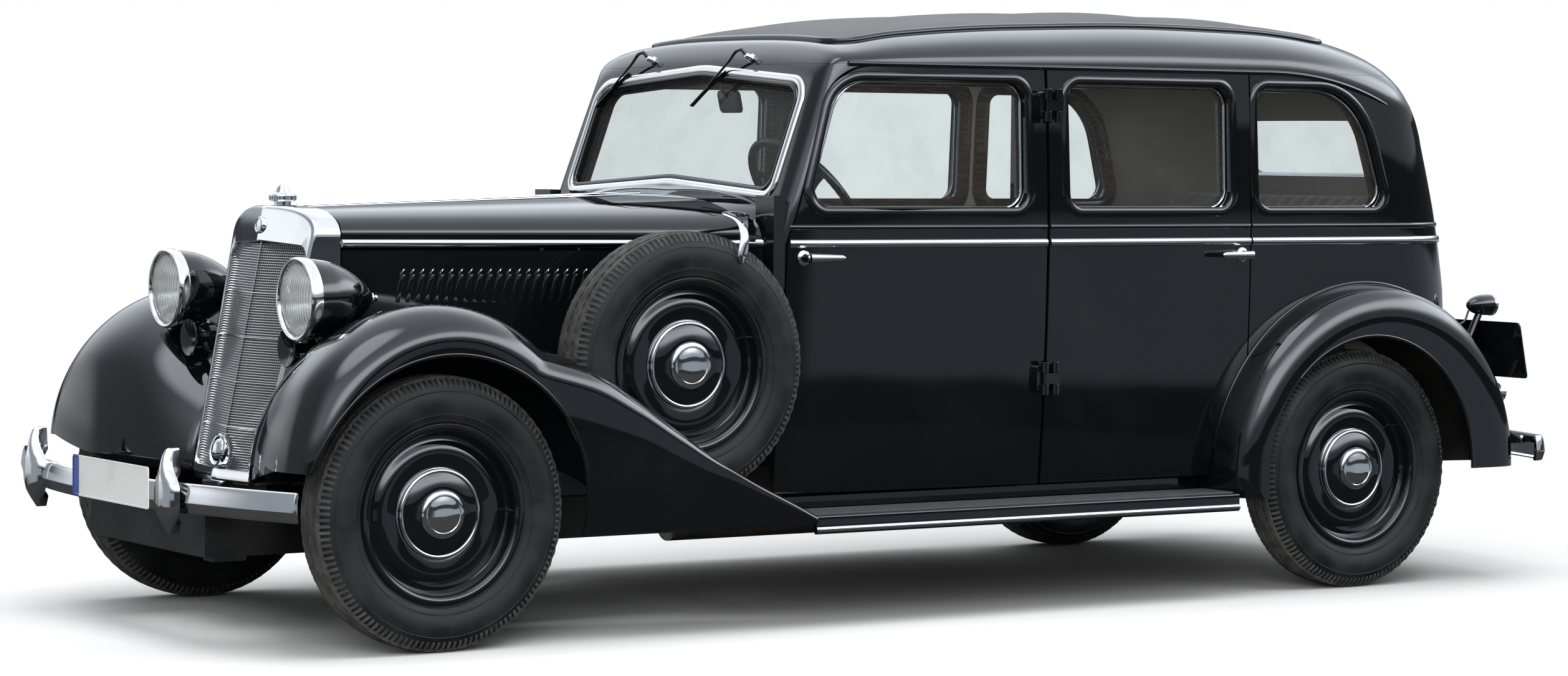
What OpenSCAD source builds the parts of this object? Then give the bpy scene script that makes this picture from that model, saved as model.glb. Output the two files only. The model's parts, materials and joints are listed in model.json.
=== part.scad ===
// Pre-war four-door limousine, in millimetres.
// Front towards -X, left side towards -Y, up is +Z; stands on Z = 0.

/* [Overall] */
// Distance between the front and rear axles
wheelbase = 3050; // [2950:10:3200]
// From the front axle to the foremost face of the bumper guards
front_overhang = 660; // [650:5:720]
// From the rear axle to the back face of the rear bumper
rear_overhang = 855; // [840:5:900]
// Front wheels' centre planes in from the fenders' outer edges
front_wheel_in = 115; // [110:1:122]
// Rear wheels' centre planes in from the fenders' outer edges
rear_wheel_in = 130; // [124:1:136]

/* [Wheels] */
// Outer radius of a tyre
tyre_r = 350; // [335:1:352]
// Width of a tyre
tyre_w = 150; // [140:1:152]
// Radius of the rim flange
rim_r = 230; // [220:1:236]
// Radius of the hub cap
hubcap_r = 114; // [100:1:125]
// Radius of a wheel spindle
spindle_r = 22; // [18:1:26]
// Radius of a brake drum
drum_r = 150; // [130:1:165]
// Steering pivot measured in from the wheel's centre plane
kingpin_inset = 100; // [95:1:110]
// Radius of the steering pivot pin
kingpin_r = 16; // [12:1:18]

/* [Cab] */
// Front face of the cab behind the front axle, below the windscreen
cab_front_x = 1092; // [1080:2:1110]
// Back of the cab behind the rear axle
cab_tail = 585; // [565:5:640]
// Half of the cab's width at the belt line
cab_half_w = 700; // [690:2:715]
// Lower edge of the cab
cab_sill_z = 300; // [295:1:310]
// Height of the belt line
belt_z = 1020; // [1010:2:1035]
// Height of the gutter above the doors
drip_z = 1508; // [1495:1:1520]
// Rise of the roof's highest point above the gutter
roof_rise = 168; // [150:1:200]
// Thickness of the doors and walls
wall = 45; // [40:1:50]
// Backward lean of the windscreen in degrees
screen_lean = 20; // [17:0.5:22]
// Forward lean of the back panel in degrees
back_lean = 14; // [10:0.5:16]
// Corner radius of the back of the cab in plan
cab_rear_r = 350; // [320:5:360]
// Gap round a door
door_gap = 8; // [7:0.5:10]
// Height of the doors' lower edge
door_bottom_z = 345; // [340:1:352]
// Front edge of the front doors behind the front axle
door_front_x = 1104; // [1100:1:1112]
// Share of the doors' run that the front doors take
door_mid_share = 0.533; // [0.52:0.001:0.545]
// Rear edge of the rear doors ahead of the rear axle
door_rear_lead = 384; // [370:2:400]
// Lower edge of the side windows
window_low_z = 1116; // [1108:1:1126]
// Step from the gutter down to the side windows
window_head = 44; // [38:1:58]
// Thickness of the window panes
glass_t = 6; // [5:0.5:8]

/* [Bonnet] */
// Front edge of the bonnet ahead of the front axle
bonnet_lead = 40; // [30:2:50]
// Rear edge of the bonnet behind the front axle
bonnet_rear_x = 1020; // [1000:2:1026]
// Half of the bonnet's width at its front edge
bonnet_front_w = 265; // [255:1:275]
// Step from the cab's half-width in to the bonnet's rear edge
bonnet_inset = 144; // [134:2:160]
// Height of the bonnet's ridge at its front edge
bonnet_front_z = 1112; // [1100:1:1118]
// Height of the bonnet's ridge at its rear edge
bonnet_rear_z = 1148; // [1135:1:1155]
// Height of the bonnet's lower edge
bonnet_low_z = 1008; // [1000:1:1012]
// Thickness of the bonnet's sheet
sheet = 8; // [6:0.5:10]
// Number of louvres in a bonnet side
louvre_count = 22; // [12:1:26]

/* [Fenders] */
// Radius of the front fender's crown
front_crown_r = 436; // [430:1:446]
// Height of the centre of that crown
front_crown_z = 440; // [436:1:448]
// How far the fenders stand out beyond the cab's half-width
fender_out = 115; // [106:1:122]
// Radius of the front wheel opening
front_arch_r = 405; // [402:1:412]
// Rear end of the front fender behind the front axle
front_tail_x = 1095; // [1090:1:1100]
// Height of the lower edge of the front fender's tail
tail_low_z = 281; // [276:1:288]
// Radius of the rear fender where it meets the body
rear_fender_r = 548; // [540:1:554]
// Centre of the rear fender behind the rear axle
rear_fender_x = 55; // [48:1:60]
// Height of the centre of the rear fender
rear_fender_z = 347; // [342:1:352]
// Radius of the rear wheel opening
rear_arch_r = 395; // [388:1:402]

/* [Front end] */
// Backward lean of the radiator in degrees
radiator_lean = 11.6; // [9:0.2:13]
// Half-width of the radiator shell
radiator_w = 262; // [250:1:264]
// Radius of a headlamp
lamp_r = 106; // [96:1:112]
// Sideways place of the headlamps
lamp_y = 400; // [390:1:410]
// Height of the headlamps
lamp_z = 881; // [870:1:892]
// Height of the bumpers' centre line
bumper_z = 392; // [385:1:400]
// Height of a bumper bar
bumper_h = 76; // [70:1:82]
// Half-width of the front bumper
bumper_half_w = 860; // [840:2:868]

/* [Hidden] */
// Choice of node drawn

// Clearances and overruns
overall_length = front_overhang + wheelbase + rear_overhang;
axle_x = front_overhang - overall_length / 2;
fit = 0.3;
overrun = 20;
far = overall_length;
bearing_play = 0.5;
$fn = 48;

// Widths that follow the cab
fender_w = cab_half_w + fender_out;
front_track = 2 * (fender_w - front_wheel_in);
rear_track = 2 * (fender_w - rear_wheel_in);
bonnet_rear_w = cab_half_w - bonnet_inset;

// Helpers for outlines and lofts
function unit2(v) = v / norm(v);
function clamp(v) = max(0, min(1, v));
function mix(a, b, t) = a + (b - a) * t;
function corner(s, r) = s >= r ? 0 : r - sqrt(r * r - (r - s) * (r - s));

// Arc of one corner p of an outline between its neighbours q and o
function fillet(p, q, o, r, n) = r == 0 ? [p] : let(
    u = unit2(q - p),
    w = unit2(o - p),
    half = acos(u * w) / 2,
    c = p + unit2(u + w) * r / sin(half),
    s = p + u * r / tan(half) - c,
    e = p + w * r / tan(half) - c,
    a = atan2(s[1], s[0]),
    d = atan2(e[1], e[0]) - a,
    turn = d > 180 ? d - 360 : d < -180 ? d + 360 : d)
    [for (k = [0:n]) c + r * [cos(a + turn * k / n), sin(a + turn * k / n)]];

// Outline with rounded corners from rows of place and radius
function rounded(rows, n = 5) = [for (i = [0:len(rows) - 1]) let(
    m = len(rows),
    p = rows[i],
    q = rows[(i + m - 1) % m],
    o = rows[(i + 1) % m])
    each fillet([p[0], p[1]], [q[0], q[1]], [o[0], o[1]], p[2], n)];

// Closed solid through sections of equal point count, capped by strips between mirrored points
module loft(sections) {
    n = len(sections[0]);
    m = len(sections);
    h = (n - 1) / 2;
    polyhedron(points = [for (s = sections) each s], faces = concat(
        [for (i = [0:m - 2], j = [0:n - 2]) each [
            [i * n + j, i * n + j + 1, (i + 1) * n + j + 1],
            [i * n + j, (i + 1) * n + j + 1, (i + 1) * n + j]]],
        [for (i = [0:m - 2]) each [
            [i * n + n - 1, i * n, (i + 1) * n],
            [i * n + n - 1, (i + 1) * n, (i + 1) * n + n - 1]]],
        [for (j = [0:h - 1]) each (j == h - 1
            ? [[j, n - 1 - j, j + 1]]
            : [[j, n - 1 - j, n - 2 - j], [j, n - 2 - j, j + 1]])],
        [for (j = [0:h - 1], b = [(m - 1) * n]) each (j == h - 1
            ? [[b + j, b + j + 1, b + n - 1 - j]]
            : [[b + j, b + n - 2 - j, b + n - 1 - j], [b + j, b + j + 1, b + n - 2 - j]])]));
}

// Closed sheet between an outer and an inner grid of points
module sheet_between(outer, inner) {
    m = len(outer);
    n = len(outer[0]);
    b = m * n;
    polyhedron(points = concat([for (s = outer) each s], [for (s = inner) each s]), faces = concat(
        [for (i = [0:m - 2], j = [0:n - 2]) each [
            [i * n + j, i * n + j + 1, (i + 1) * n + j + 1],
            [i * n + j, (i + 1) * n + j + 1, (i + 1) * n + j],
            [b + i * n + j, b + (i + 1) * n + j + 1, b + i * n + j + 1],
            [b + i * n + j, b + (i + 1) * n + j, b + (i + 1) * n + j + 1]]],
        [for (i = [0:m - 2], e = [0, n - 1]) each (e == 0
            ? [[i * n, (i + 1) * n, b + (i + 1) * n], [i * n, b + (i + 1) * n, b + i * n]]
            : [[i * n + e, b + (i + 1) * n + e, (i + 1) * n + e],
               [i * n + e, b + i * n + e, b + (i + 1) * n + e]])],
        [for (j = [0:n - 2], e = [0, m - 1]) each (e == 0
            ? [[j, b + j + 1, j + 1], [j, b + j, b + j + 1]]
            : [[e * n + j, e * n + j + 1, b + e * n + j + 1],
               [e * n + j, b + e * n + j + 1, b + e * n + j]])]));
}

// Plate in the plane of the car's side, from y0 to y1
module side_plate(points, y0, y1) {
    translate([0, y1, 0])
        rotate([90, 0, 0])
            linear_extrude(height = y1 - y0)
                polygon(points);
}

// Box from its lowest to its highest corner
module box(a, b) {
    translate(a)
        cube(b - a);
}

// Copy on both sides of the car
module both() {
    children();
    mirror([0, 1, 0])
        children();
}

// Body of revolution about a sideways axis, profile rows of radius and outward distance
module turned(points) {
    rotate([90, 0, 0])
        rotate_extrude($fn = 96)
            polygon(points);
}

// Cab shape
roof_z = drip_z + roof_rise;
window_high_z = drip_z - window_head;
upper_h = drip_z - belt_z;
window_h = window_high_z - window_low_z;
cab_back_x = wheelbase + cab_tail;
cab_len = cab_back_x - cab_front_x;
cab_front_r = 45;
roof_front_r = 70;
roof_rear_r = 250;
rear_drop_share = 0.533;
rear_drop = rear_drop_share * upper_h;
rear_ease = 120;
screen_low_z = 1100;
back_bend_z = 850;
front_steps = 3;
rear_steps = 5;
crown_steps = 6;
crown_power = 0.8;
crown_soften = 0.2;
door_rear_x = wheelbase - door_rear_lead;
door_mid_x = mix(door_front_x, door_rear_x, door_mid_share);
// Share of the length, share of the half-width
plan_shares = [[0, 0.895], [0.04, 0.928], [0.16, 0.972], [0.33, 1], [0.62, 1], [0.85, 0.99], [1, 0.975]];
cowl_rear_w = cab_half_w * plan_shares[0][1];
// Share of the length, share of the roof's rise above the gutter
roof_shares = [[0, 0.37], [0.055, 0.48], [0.15, 0.69], [0.34, 0.9], [0.52, 1], [0.66, 0.96], [0.78, 0.87],
    [0.88, 0.73], [1, 0.5]];
// Stations between the rounded ends as shares of the length
station_shares = [0.055, 0.1, 0.16, 0.24, 0.33, 0.45, 0.6, 0.72, 0.8];
// Share of the height below the belt, share of the half-width
low_shares = [[0, 0.945], [0.12, 0.957], [0.4, 0.978], [0.75, 0.995], [1, 1]];
// Share of the height above the belt, share of the half-width
high_shares = [[0.22, 0.998], [0.6, 0.986], [1, 0.965]];
// Share of the length over which the ends' lean fades
lean_fade_share = 0.35;

cab_stations = concat(
    [for (k = [0:front_steps]) cab_front_r * (1 - cos(90 * k / front_steps))],
    [for (s = station_shares) s * cab_len],
    [for (k = [0:rear_steps]) cab_len - cab_rear_r * (1 - cos(90 - 90 * k / rear_steps))]);
station_count = len(cab_stations);

function top_free(s) = drip_z + (roof_z - drip_z) * lookup(s / cab_len, roof_shares);
function top_round(s) = top_free(s) - corner(s, roof_front_r) - corner(cab_len - s, roof_rear_r);
function front_fade(s) = pow(clamp(1 - s / (lean_fade_share * cab_len)), 2);
function rear_fade(s) = pow(clamp(1 - (cab_len - s) / (lean_fade_share * cab_len)), 2);
function ease(v) = clamp(v) * clamp(v) * (3 - 2 * clamp(v));
function drip_at(s) = belt_z + (drip_z - belt_z) * (top_round(s) - belt_z) / (top_free(s) - belt_z)
    - rear_drop * rear_fade(s) * ease((cab_len - s) / rear_ease);
function lean_x(s, z) = front_fade(s) * tan(screen_lean) * max(0, z - screen_low_z)
    - rear_fade(s) * tan(back_lean) * max(0, z - back_bend_z);
function side_w(s, z) = cab_half_w * lookup(s / cab_len, plan_shares) - corner(cab_len - s, cab_rear_r)
    - corner(s, cab_front_r) * clamp((z - belt_z) / (window_low_z - belt_z));

// Half of one cross-section, from the sill to the middle of the roof, t inside the skin
function cab_half(s, t) = let(
    top = top_round(s) - t,
    drip = drip_at(s) - t / 2,
    power = crown_power + crown_soften * rear_fade(s),
    wd = side_w(s, drip) * high_shares[2][1] - t)
    concat(
        [for (r = low_shares) let(z = mix(cab_sill_z - t, belt_z, r[0])) [side_w(s, z) * r[1] - t, z]],
        [for (r = high_shares) let(z = mix(belt_z, drip, r[0])) [side_w(s, z) * r[1] - t, z]],
        [for (k = [1:crown_steps]) let(a = 90 * k / crown_steps)
            [k == crown_steps ? 0 : wd * pow(cos(a), power),
                drip + (top - drip) * pow(sin(a), power)]]);

function cab_section(s, t) = let(
    h = cab_half(s, t),
    u = t + s * (cab_len - 2 * t) / cab_len,
    n = len(h))
    concat(
        [for (p = h) [cab_front_x + u + lean_x(s, p[1]), -p[0], p[1]]],
        [for (k = [n - 2:-1:0]) [cab_front_x + u + lean_x(s, h[k][1]), h[k][0], h[k][1]]]);

module cab_solid(t, first, last) {
    loft([for (i = [first:last]) cab_section(cab_stations[i], t)]);
}

// Wall of the cab between two stations
module cab_shell(first, last) {
    difference() {
        cab_solid(0, first, last);
        cab_solid(wall, max(first - 1, 0), min(last + 1, station_count - 1));
    }
}

// Outlines of the doors: free edge, hinge edge and the fender's cut
post_foot_x = 18;
post_head_x = 172;
post_head_r = 150;
door_top_z = drip_z - door_gap + 2 * fit;
edge_bevel = 8;
door_reach = 2.4 * wall;
hinge_gap = 5;
function front_free_rows(g) = [
    [door_front_x - g, door_bottom_z - g, 0],
    [far, door_bottom_z - g, 0],
    [far, door_top_z + g, 0],
    [door_front_x + post_head_x - g, door_top_z + g, post_head_r],
    [door_front_x + post_foot_x - g, belt_z, 0]];

// Solid that a left front door fills, g larger all round
module front_door_zone(g) {
    intersection() {
        translate([door_front_x, -cab_half_w, 0])
            rotate([0, 0, edge_bevel])
                translate([-door_front_x, cab_half_w, 0])
                    side_plate(rounded(front_free_rows(g)), -cab_half_w - 4 * wall, -cab_half_w + door_reach);
        box([0, -far, 0], [door_mid_x - hinge_gap + g, 0, far]);
    }
}

module rear_door_zone(g) {
    difference() {
        intersection() {
            translate([door_rear_x, -cab_half_w, 0])
                rotate([0, 0, -edge_bevel])
                    translate([-door_rear_x, cab_half_w, 0])
                        side_plate([
                            [0, door_bottom_z - g],
                            [door_rear_x + g, door_bottom_z - g],
                            [door_rear_x + g, door_top_z + g],
                            [0, door_top_z + g]], -cab_half_w - 4 * wall, -cab_half_w + door_reach);
            box([door_mid_x + hinge_gap - g, -far, 0], [far, 0, far]);
        }
        fender_cut(door_gap - g);
    }
}

// Round hole in the body's side that a rear fender seats in
module fender_cut(g) {
    translate([wheelbase + rear_fender_x, 0, rear_fender_z])
        rotate([90, 0, 0])
            cylinder(r = rear_fender_r + fit + g, h = far, $fn = 96);
}

// Side windows, inset by g
window_r_share = 0.158;
window_r = window_r_share * window_h;
window_front_x = 60;
window_front_top_x = 168;
window_front_share = 0.345;
window_front_r = window_front_share * window_h;
window_post = 72;
quarter_lead = 28;
quarter_len = 505;
quarter_top_len = 400;
quarter_r_share = 0.632;
quarter_r = quarter_r_share * window_h;
function front_window(g) = rounded([
    [door_front_x + window_front_x + g, window_low_z + g, window_r],
    [door_mid_x - window_post - g, window_low_z + g, window_r],
    [door_mid_x - window_post - g, window_high_z - g, window_r],
    [door_front_x + window_front_top_x + g, window_high_z - g, window_front_r]]);
function rear_window(g) = rounded([
    [door_mid_x + window_post - fit + g, window_low_z + g, window_r],
    [door_rear_x - window_post - g, window_low_z + g, window_r],
    [door_rear_x - window_post - g, window_high_z - g, window_r],
    [door_mid_x + window_post - fit + g, window_high_z - g, window_r]]);
function quarter_window(g) = rounded([
    [door_rear_x + quarter_lead + g, window_low_z + g, window_r],
    [door_rear_x + quarter_lead + quarter_len - g, window_low_z + g, window_r],
    [door_rear_x + quarter_lead + quarter_top_len - g, window_high_z - g, quarter_r],
    [door_rear_x + quarter_lead + g, window_high_z - g, window_r]]);

module window_cut(points) {
    side_plate(points, -cab_half_w - 2 * wall, -cab_half_w + 4 * wall);
}

// Pane in a side wall, standing in the middle of its thickness
pane_lean = 2.2;
pane_in = 27;
module side_pane(points, reach) {
    intersection() {
        side_plate(points, -far, 0);
        translate([0, -cab_half_w + reach, belt_z])
            rotate([-pane_lean, 0, 0])
                translate([0, pane_in - glass_t / 2, -far / 2])
                    cube([far, glass_t, far]);
    }
}

// Windscreen in the plane of the cab's front face
screen_post = 91.5;
screen_w = cowl_rear_w - screen_post;
screen_foot_z = 1160;
screen_dip = 32;
screen_head_in = 21;
screen_head_z = drip_z - screen_head_in;
screen_head_drop = 38;
screen_h = screen_head_z - screen_head_drop - screen_foot_z;
screen_r_share = 0.242;
screen_r = screen_r_share * screen_h;
screen_foot_share = 0.138;
screen_foot_r = screen_foot_share * screen_h;
function screen_v(z) = (z - screen_low_z) / cos(screen_lean);
function screen_rows(g) = rounded([
    [-screen_w + g, screen_v(screen_foot_z) + g, screen_foot_r],
    [0, screen_v(screen_foot_z + screen_dip) + g, screen_w],
    [screen_w - g, screen_v(screen_foot_z) + g, screen_foot_r],
    [screen_w - g, screen_v(screen_head_z - screen_head_drop) - g, screen_r],
    [0, screen_v(screen_head_z) - g, screen_w],
    [-screen_w + g, screen_v(screen_head_z - screen_head_drop) - g, screen_r]]);
module screen_plate(points, x0, x1) {
    translate([cab_front_x, 0, screen_low_z])
        rotate([0, screen_lean, 0])
            translate([x0, 0, 0])
                rotate([90, 0, 90])
                    linear_extrude(height = x1 - x0)
                        polygon(points);
}

// Window in the back panel
back_window_in = 15;
back_window_w = cab_half_w - cab_rear_r - back_window_in;
back_low_share = 0.4;
back_window_low_z = belt_z + back_low_share * upper_h;
back_high_share = 0.758;
back_window_high_z = belt_z + back_high_share * upper_h;
back_r_share = 0.343;
back_window_r = back_r_share * (back_window_high_z - back_window_low_z);
function back_v(z) = (z - back_bend_z) / cos(back_lean);
function back_rows(g) = rounded([
    [-back_window_w + g, back_v(back_window_low_z) + g, back_window_r],
    [back_window_w - g, back_v(back_window_low_z) + g, back_window_r],
    [back_window_w - g, back_v(back_window_high_z) - g, back_window_r],
    [-back_window_w + g, back_v(back_window_high_z) - g, back_window_r]]);
module back_plate(points, x0, x1) {
    translate([cab_back_x, 0, back_bend_z])
        rotate([0, -back_lean, 0])
            translate([x0, 0, 0])
                rotate([90, 0, 90])
                    linear_extrude(height = x1 - x0)
                        polygon(points);
}

// Bonnet sections: half outline at a distance x behind the front axle, t inside the skin
bonnet_side_h = 30;
bonnet_steps = 6;
bonnet_power = 0.82;
bonnet_len = bonnet_rear_x + bonnet_lead;
hinge_rod_r = 5;
function bonnet_w(x) = mix(bonnet_front_w, bonnet_rear_w, (x + bonnet_lead) / bonnet_len);
function bonnet_top(x) = mix(bonnet_front_z, bonnet_rear_z, (x + bonnet_lead) / bonnet_len);
function bonnet_half(x, w, top, t, inner) = concat(
    [[x, -w + t, bonnet_low_z]],
    [for (k = [0:bonnet_steps]) let(a = 90 * k / bonnet_steps)
        [x, k == bonnet_steps ? -inner : -inner - (w - t - inner) * pow(cos(a), bonnet_power),
            mix(bonnet_low_z + bonnet_side_h, top - t, pow(sin(a), bonnet_power))]]);

// Frame under the body
frame_y = 300;
frame_t = 60;
frame_low_z = 227;
frame_h = 110;
frame_top_z = frame_low_z + frame_h;
frame_front_x = -470;
kick_lead = 520;
kick_foot = 330;
kick_rise = 240;
frame_tail = 510;
cross_w = 70;
spring_w = 60;
spring_t = 26;
spring_high_z = 462;
tower_in = 80;
jack_pad_len = 90;
jack_pad_t = 12;
jack_front_x = -400;
jack_rear_lead = 760;
module chassis_frame() {
    color("dimgray") {
        both()
            side_plate([
                [frame_front_x, frame_low_z],
                [wheelbase - kick_lead, frame_low_z],
                [wheelbase - kick_foot, frame_low_z + kick_rise],
                [wheelbase + frame_tail, frame_low_z + kick_rise],
                [wheelbase + frame_tail, frame_top_z + kick_rise],
                [wheelbase - kick_foot - cross_w / 2, frame_top_z + kick_rise],
                [wheelbase - kick_lead - cross_w / 2, frame_top_z],
                [frame_front_x, frame_top_z]], -frame_y - frame_t, -frame_y);
        for (x = [frame_front_x, -cross_w / 2, door_front_x, door_mid_x])
            box([x, -frame_y - overrun, frame_low_z], [x + cross_w, frame_y + overrun, frame_top_z - fit]);
        box([wheelbase + frame_tail - cross_w, -frame_y - overrun, frame_low_z + kick_rise],
            [wheelbase + frame_tail, frame_y + overrun, frame_top_z + kick_rise]);
        for (x = [jack_front_x, wheelbase - jack_rear_lead])
            both()
                box([x - jack_pad_len / 2, -frame_y - frame_t, frame_low_z - jack_pad_t],
                    [x + jack_pad_len / 2, -frame_y, frame_low_z + overrun]);
        both()
            box([-spring_w / 2, -frame_y - frame_t, frame_top_z - overrun],
                [spring_w / 2, -frame_y + tower_in, spring_high_z]);
        box([rad_foot_x + cross_w, -frame_y - overrun, frame_low_z],
            [rad_foot_x + 2 * cross_w, frame_y + overrun, frame_top_z - fit]);
        box([rad_foot_x + cross_w, -rad_foot_w + rad_foot_r, frame_top_z - overrun],
            [rad_foot_x + 2 * cross_w, rad_foot_w - rad_foot_r, rad_foot_z - fit]);
    }
}

// Engine and gearbox as one plain block
engine_front_x = 60;
engine_len = 760;
engine_w = 190;
engine_high_z = 930;
gearbox_w = 120;
gearbox_high_z = 520;
module engine() {
    color("gray") {
        box([engine_front_x, -engine_w, frame_top_z], [engine_front_x + engine_len, engine_w, engine_high_z]);
        box([engine_front_x + engine_len - overrun, -gearbox_w, frame_low_z + cross_w],
            [bonnet_rear_x, gearbox_w, gearbox_high_z]);
        both()
            box([engine_front_x + cross_w, -frame_y - overrun, frame_top_z],
                [engine_front_x + 2 * cross_w, -engine_w + overrun, frame_top_z + spring_t]);
    }
}

// Transverse springs that carry the front wheels, with the steering pins
kingpin_y = front_track / 2 - kingpin_inset;
spring_low_z = frame_low_z - spring_t - fit;
module front_suspension() {
    color("dimgray") {
        box([-spring_w / 2, -kingpin_y - overrun, spring_low_z],
            [spring_w / 2, kingpin_y + overrun, spring_low_z + spring_t]);
        box([-spring_w / 2, -kingpin_y - overrun, spring_high_z + fit],
            [spring_w / 2, kingpin_y + overrun, spring_high_z + fit + spring_t]);
        both()
            translate([0, -kingpin_y, spring_low_z + spring_t / 2])
                cylinder(r = kingpin_r, h = spring_high_z - spring_low_z);
    }
}

// Rear axle: final drive, half-shaft tubes, coil springs and the wheel spindles
axle_tube_r = 38;
final_drive_r = 135;
final_drive_w = 150;
coil_r = 55;
hub_in = 45;
hub_gap = 6;
spindle_reach = 10;
rear_wheel_y = rear_track / 2;
module rear_axle() {
    color("dimgray") {
        translate([wheelbase, -final_drive_w, tyre_r])
            rotate([-90, 0, 0])
                cylinder(r = final_drive_r, h = 2 * final_drive_w);
        translate([wheelbase, -rear_wheel_y + hub_in + hub_gap, tyre_r])
            rotate([-90, 0, 0])
                cylinder(r = axle_tube_r, h = 2 * (rear_wheel_y - hub_in - hub_gap));
        translate([wheelbase, -rear_wheel_y - spindle_reach, tyre_r])
            rotate([-90, 0, 0])
                cylinder(r = spindle_r, h = 2 * (rear_wheel_y + spindle_reach));
        both()
            translate([wheelbase, -frame_y - frame_t / 2, tyre_r])
                cylinder(r = coil_r, h = frame_low_z + kick_rise - tyre_r - fit);
        both()
            translate([wheelbase, -rear_wheel_y + hub_in + hub_gap, tyre_r])
                rotate([-90, 0, 0])
                    cylinder(r = drum_r, h = hub_gap);
    }
}

// Exhaust pipe and silencer along the right rail
pipe_r = 24;
pipe_y = 210;
pipe_z = 196;
silencer_r = 58;
silencer_len = 620;
silencer_x = 1250;
pipe_end = 300;
hanger_t = 8;
module exhaust() {
    color("gray") {
        translate([engine_front_x + engine_len, pipe_y, pipe_z])
            rotate([0, 90, 0])
                cylinder(r = pipe_r, h = wheelbase - kick_lead + pipe_end - engine_front_x - engine_len);
        translate([silencer_x, pipe_y, pipe_z])
            rotate([0, 90, 0])
                cylinder(r = silencer_r, h = silencer_len);
        box([silencer_x - cross_w, pipe_y - pipe_r, pipe_z],
            [silencer_x - cross_w + hanger_t, frame_y - fit, frame_low_z + 2 * pipe_r]);
        box([silencer_x + silencer_len + hanger_t, pipe_y - pipe_r, pipe_z],
            [silencer_x + silencer_len + hanger_t + hanger_t, frame_y - fit, frame_low_z + 2 * pipe_r]);
    }
}

// Fuel tank between the rear rails
tank_front = 190;
tank_w = 285;
tank_low_z = 350;
module fuel_tank() {
    color("dimgray") {
        box([wheelbase + tank_front, -tank_w, tank_low_z],
            [wheelbase + frame_tail - cross_w - fit, tank_w, frame_top_z + kick_rise - 2 * fit]);
        both()
            box([wheelbase + tank_front + cross_w, -frame_y + fit, frame_low_z + kick_rise + overrun],
                [wheelbase + tank_front + 2 * cross_w, -tank_w + overrun, frame_top_z + kick_rise - overrun]);
    }
}

// Floor with the dash wall in front and the step under the rear seat
floor_t = 18;
floor_in = 140;
floor_w = cab_half_w - floor_in;
sill_gap = 10;
sill_in = floor_w + sill_gap;
sill_w = 64;
dash_wall_gap = 12;
dash_wall_x = cab_front_x + wall + dash_wall_gap;
dash_wall_h = 700;
seat_step_lead = 570;
seat_step_x = wheelbase - seat_step_lead;
seat_step_z = frame_top_z + kick_rise + fit;
floor_end = 330;
module floor_pan() {
    color("darkslategray") {
        box([dash_wall_x, -floor_w, frame_top_z + fit], [seat_step_x, floor_w, frame_top_z + fit + floor_t]);
        box([seat_step_x - floor_t, -floor_w, frame_top_z + fit],
            [seat_step_x, floor_w, seat_step_z + floor_t]);
        box([seat_step_x - floor_t, -floor_w, seat_step_z],
            [wheelbase + floor_end, floor_w, seat_step_z + floor_t]);
        box([dash_wall_x, -floor_w + overrun, frame_top_z + fit],
            [dash_wall_x + floor_t, floor_w - overrun, frame_top_z + dash_wall_h]);
    }
}

// Cowl: scuttle ahead of the windscreen with the front pillars and the windscreen's surround
cowl_wall = 30;
cowl_low_z = 420;
cowl_top_z = 1172;
function cowl_half(x, w, top, t) = concat(
    [for (r = low_shares) [x, -(w * r[1] - t), mix(cab_sill_z - t, belt_z, r[0])]],
    [for (k = [1:bonnet_steps]) let(a = 90 * k / bonnet_steps)
        [x, k == bonnet_steps ? 0 : -(w - t) * pow(cos(a), bonnet_power),
            belt_z + (top - t - belt_z) * pow(sin(a), bonnet_power)]]);
function cowl_section(x, w, top, t) = let(h = cowl_half(x, w, top, t), n = len(h)) concat(
    [for (p = h) [p[0] + tan(screen_lean) * (x > bonnet_rear_x + overrun ? max(0, p[2] - screen_low_z) : 0),
        p[1], p[2]]],
    [for (k = [n - 2:-1:0]) let(p = h[k])
        [p[0] + tan(screen_lean) * (x > bonnet_rear_x + overrun ? max(0, p[2] - screen_low_z) : 0),
            -p[1], p[2]]]);
bonnet_gap = 6;
cowl_front_x = bonnet_rear_x + bonnet_gap;
module scuttle(t, reach) {
    loft([cowl_section(cowl_front_x - reach, bonnet_rear_w, bonnet_rear_z + fit, t),
        cowl_section(cab_front_x + fit + reach, cowl_rear_w, cowl_top_z, t)]);
}
module cowl() {
    color("black")
        difference() {
            union() {
                difference() {
                    scuttle(0, 0);
                    scuttle(cowl_wall, overrun);
                }
                intersection() {
                    cab_shell(0, front_steps + 3);
                    box([0, -far, 0], [far, far, drip_z - 2 * fit]);
                }
            }
            both()
                front_door_zone(door_gap);
            screen_plate(screen_rows(0), -4 * wall, 4 * wall);
            box([0, -far, 0], [far, far, cowl_low_z]);
            box([cowl_front_x - overrun, -cowl_rear_w + 2 * wall, 0],
                [cab_front_x + 2 * wall, cowl_rear_w - 2 * wall, screen_low_z - wall]);
        }
}

// Roof panel above the gutter
fabric_t = 14;
module roof_panel() {
    color("black")
        intersection() {
            cab_shell(0, station_count - 1);
            box([0, -far, drip_z], [far, far, far]);
        }
}

// Folding roof cloth laid over the roof panel
function fabric_row(s, t) = let(
    c = cab_section(s, -t),
    h = (len(c) - 1) / 2)
    [for (j = [h - crown_steps + 3:h + crown_steps - 3]) c[j]];
module roof_fabric() {
    color("dimgray")
        sheet_between(
            [for (i = [front_steps + 2:front_steps + 9]) fabric_row(cab_stations[i], fabric_t)],
            [for (i = [front_steps + 2:front_steps + 9]) fabric_row(cab_stations[i], 2 * fit)]);
}

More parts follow.
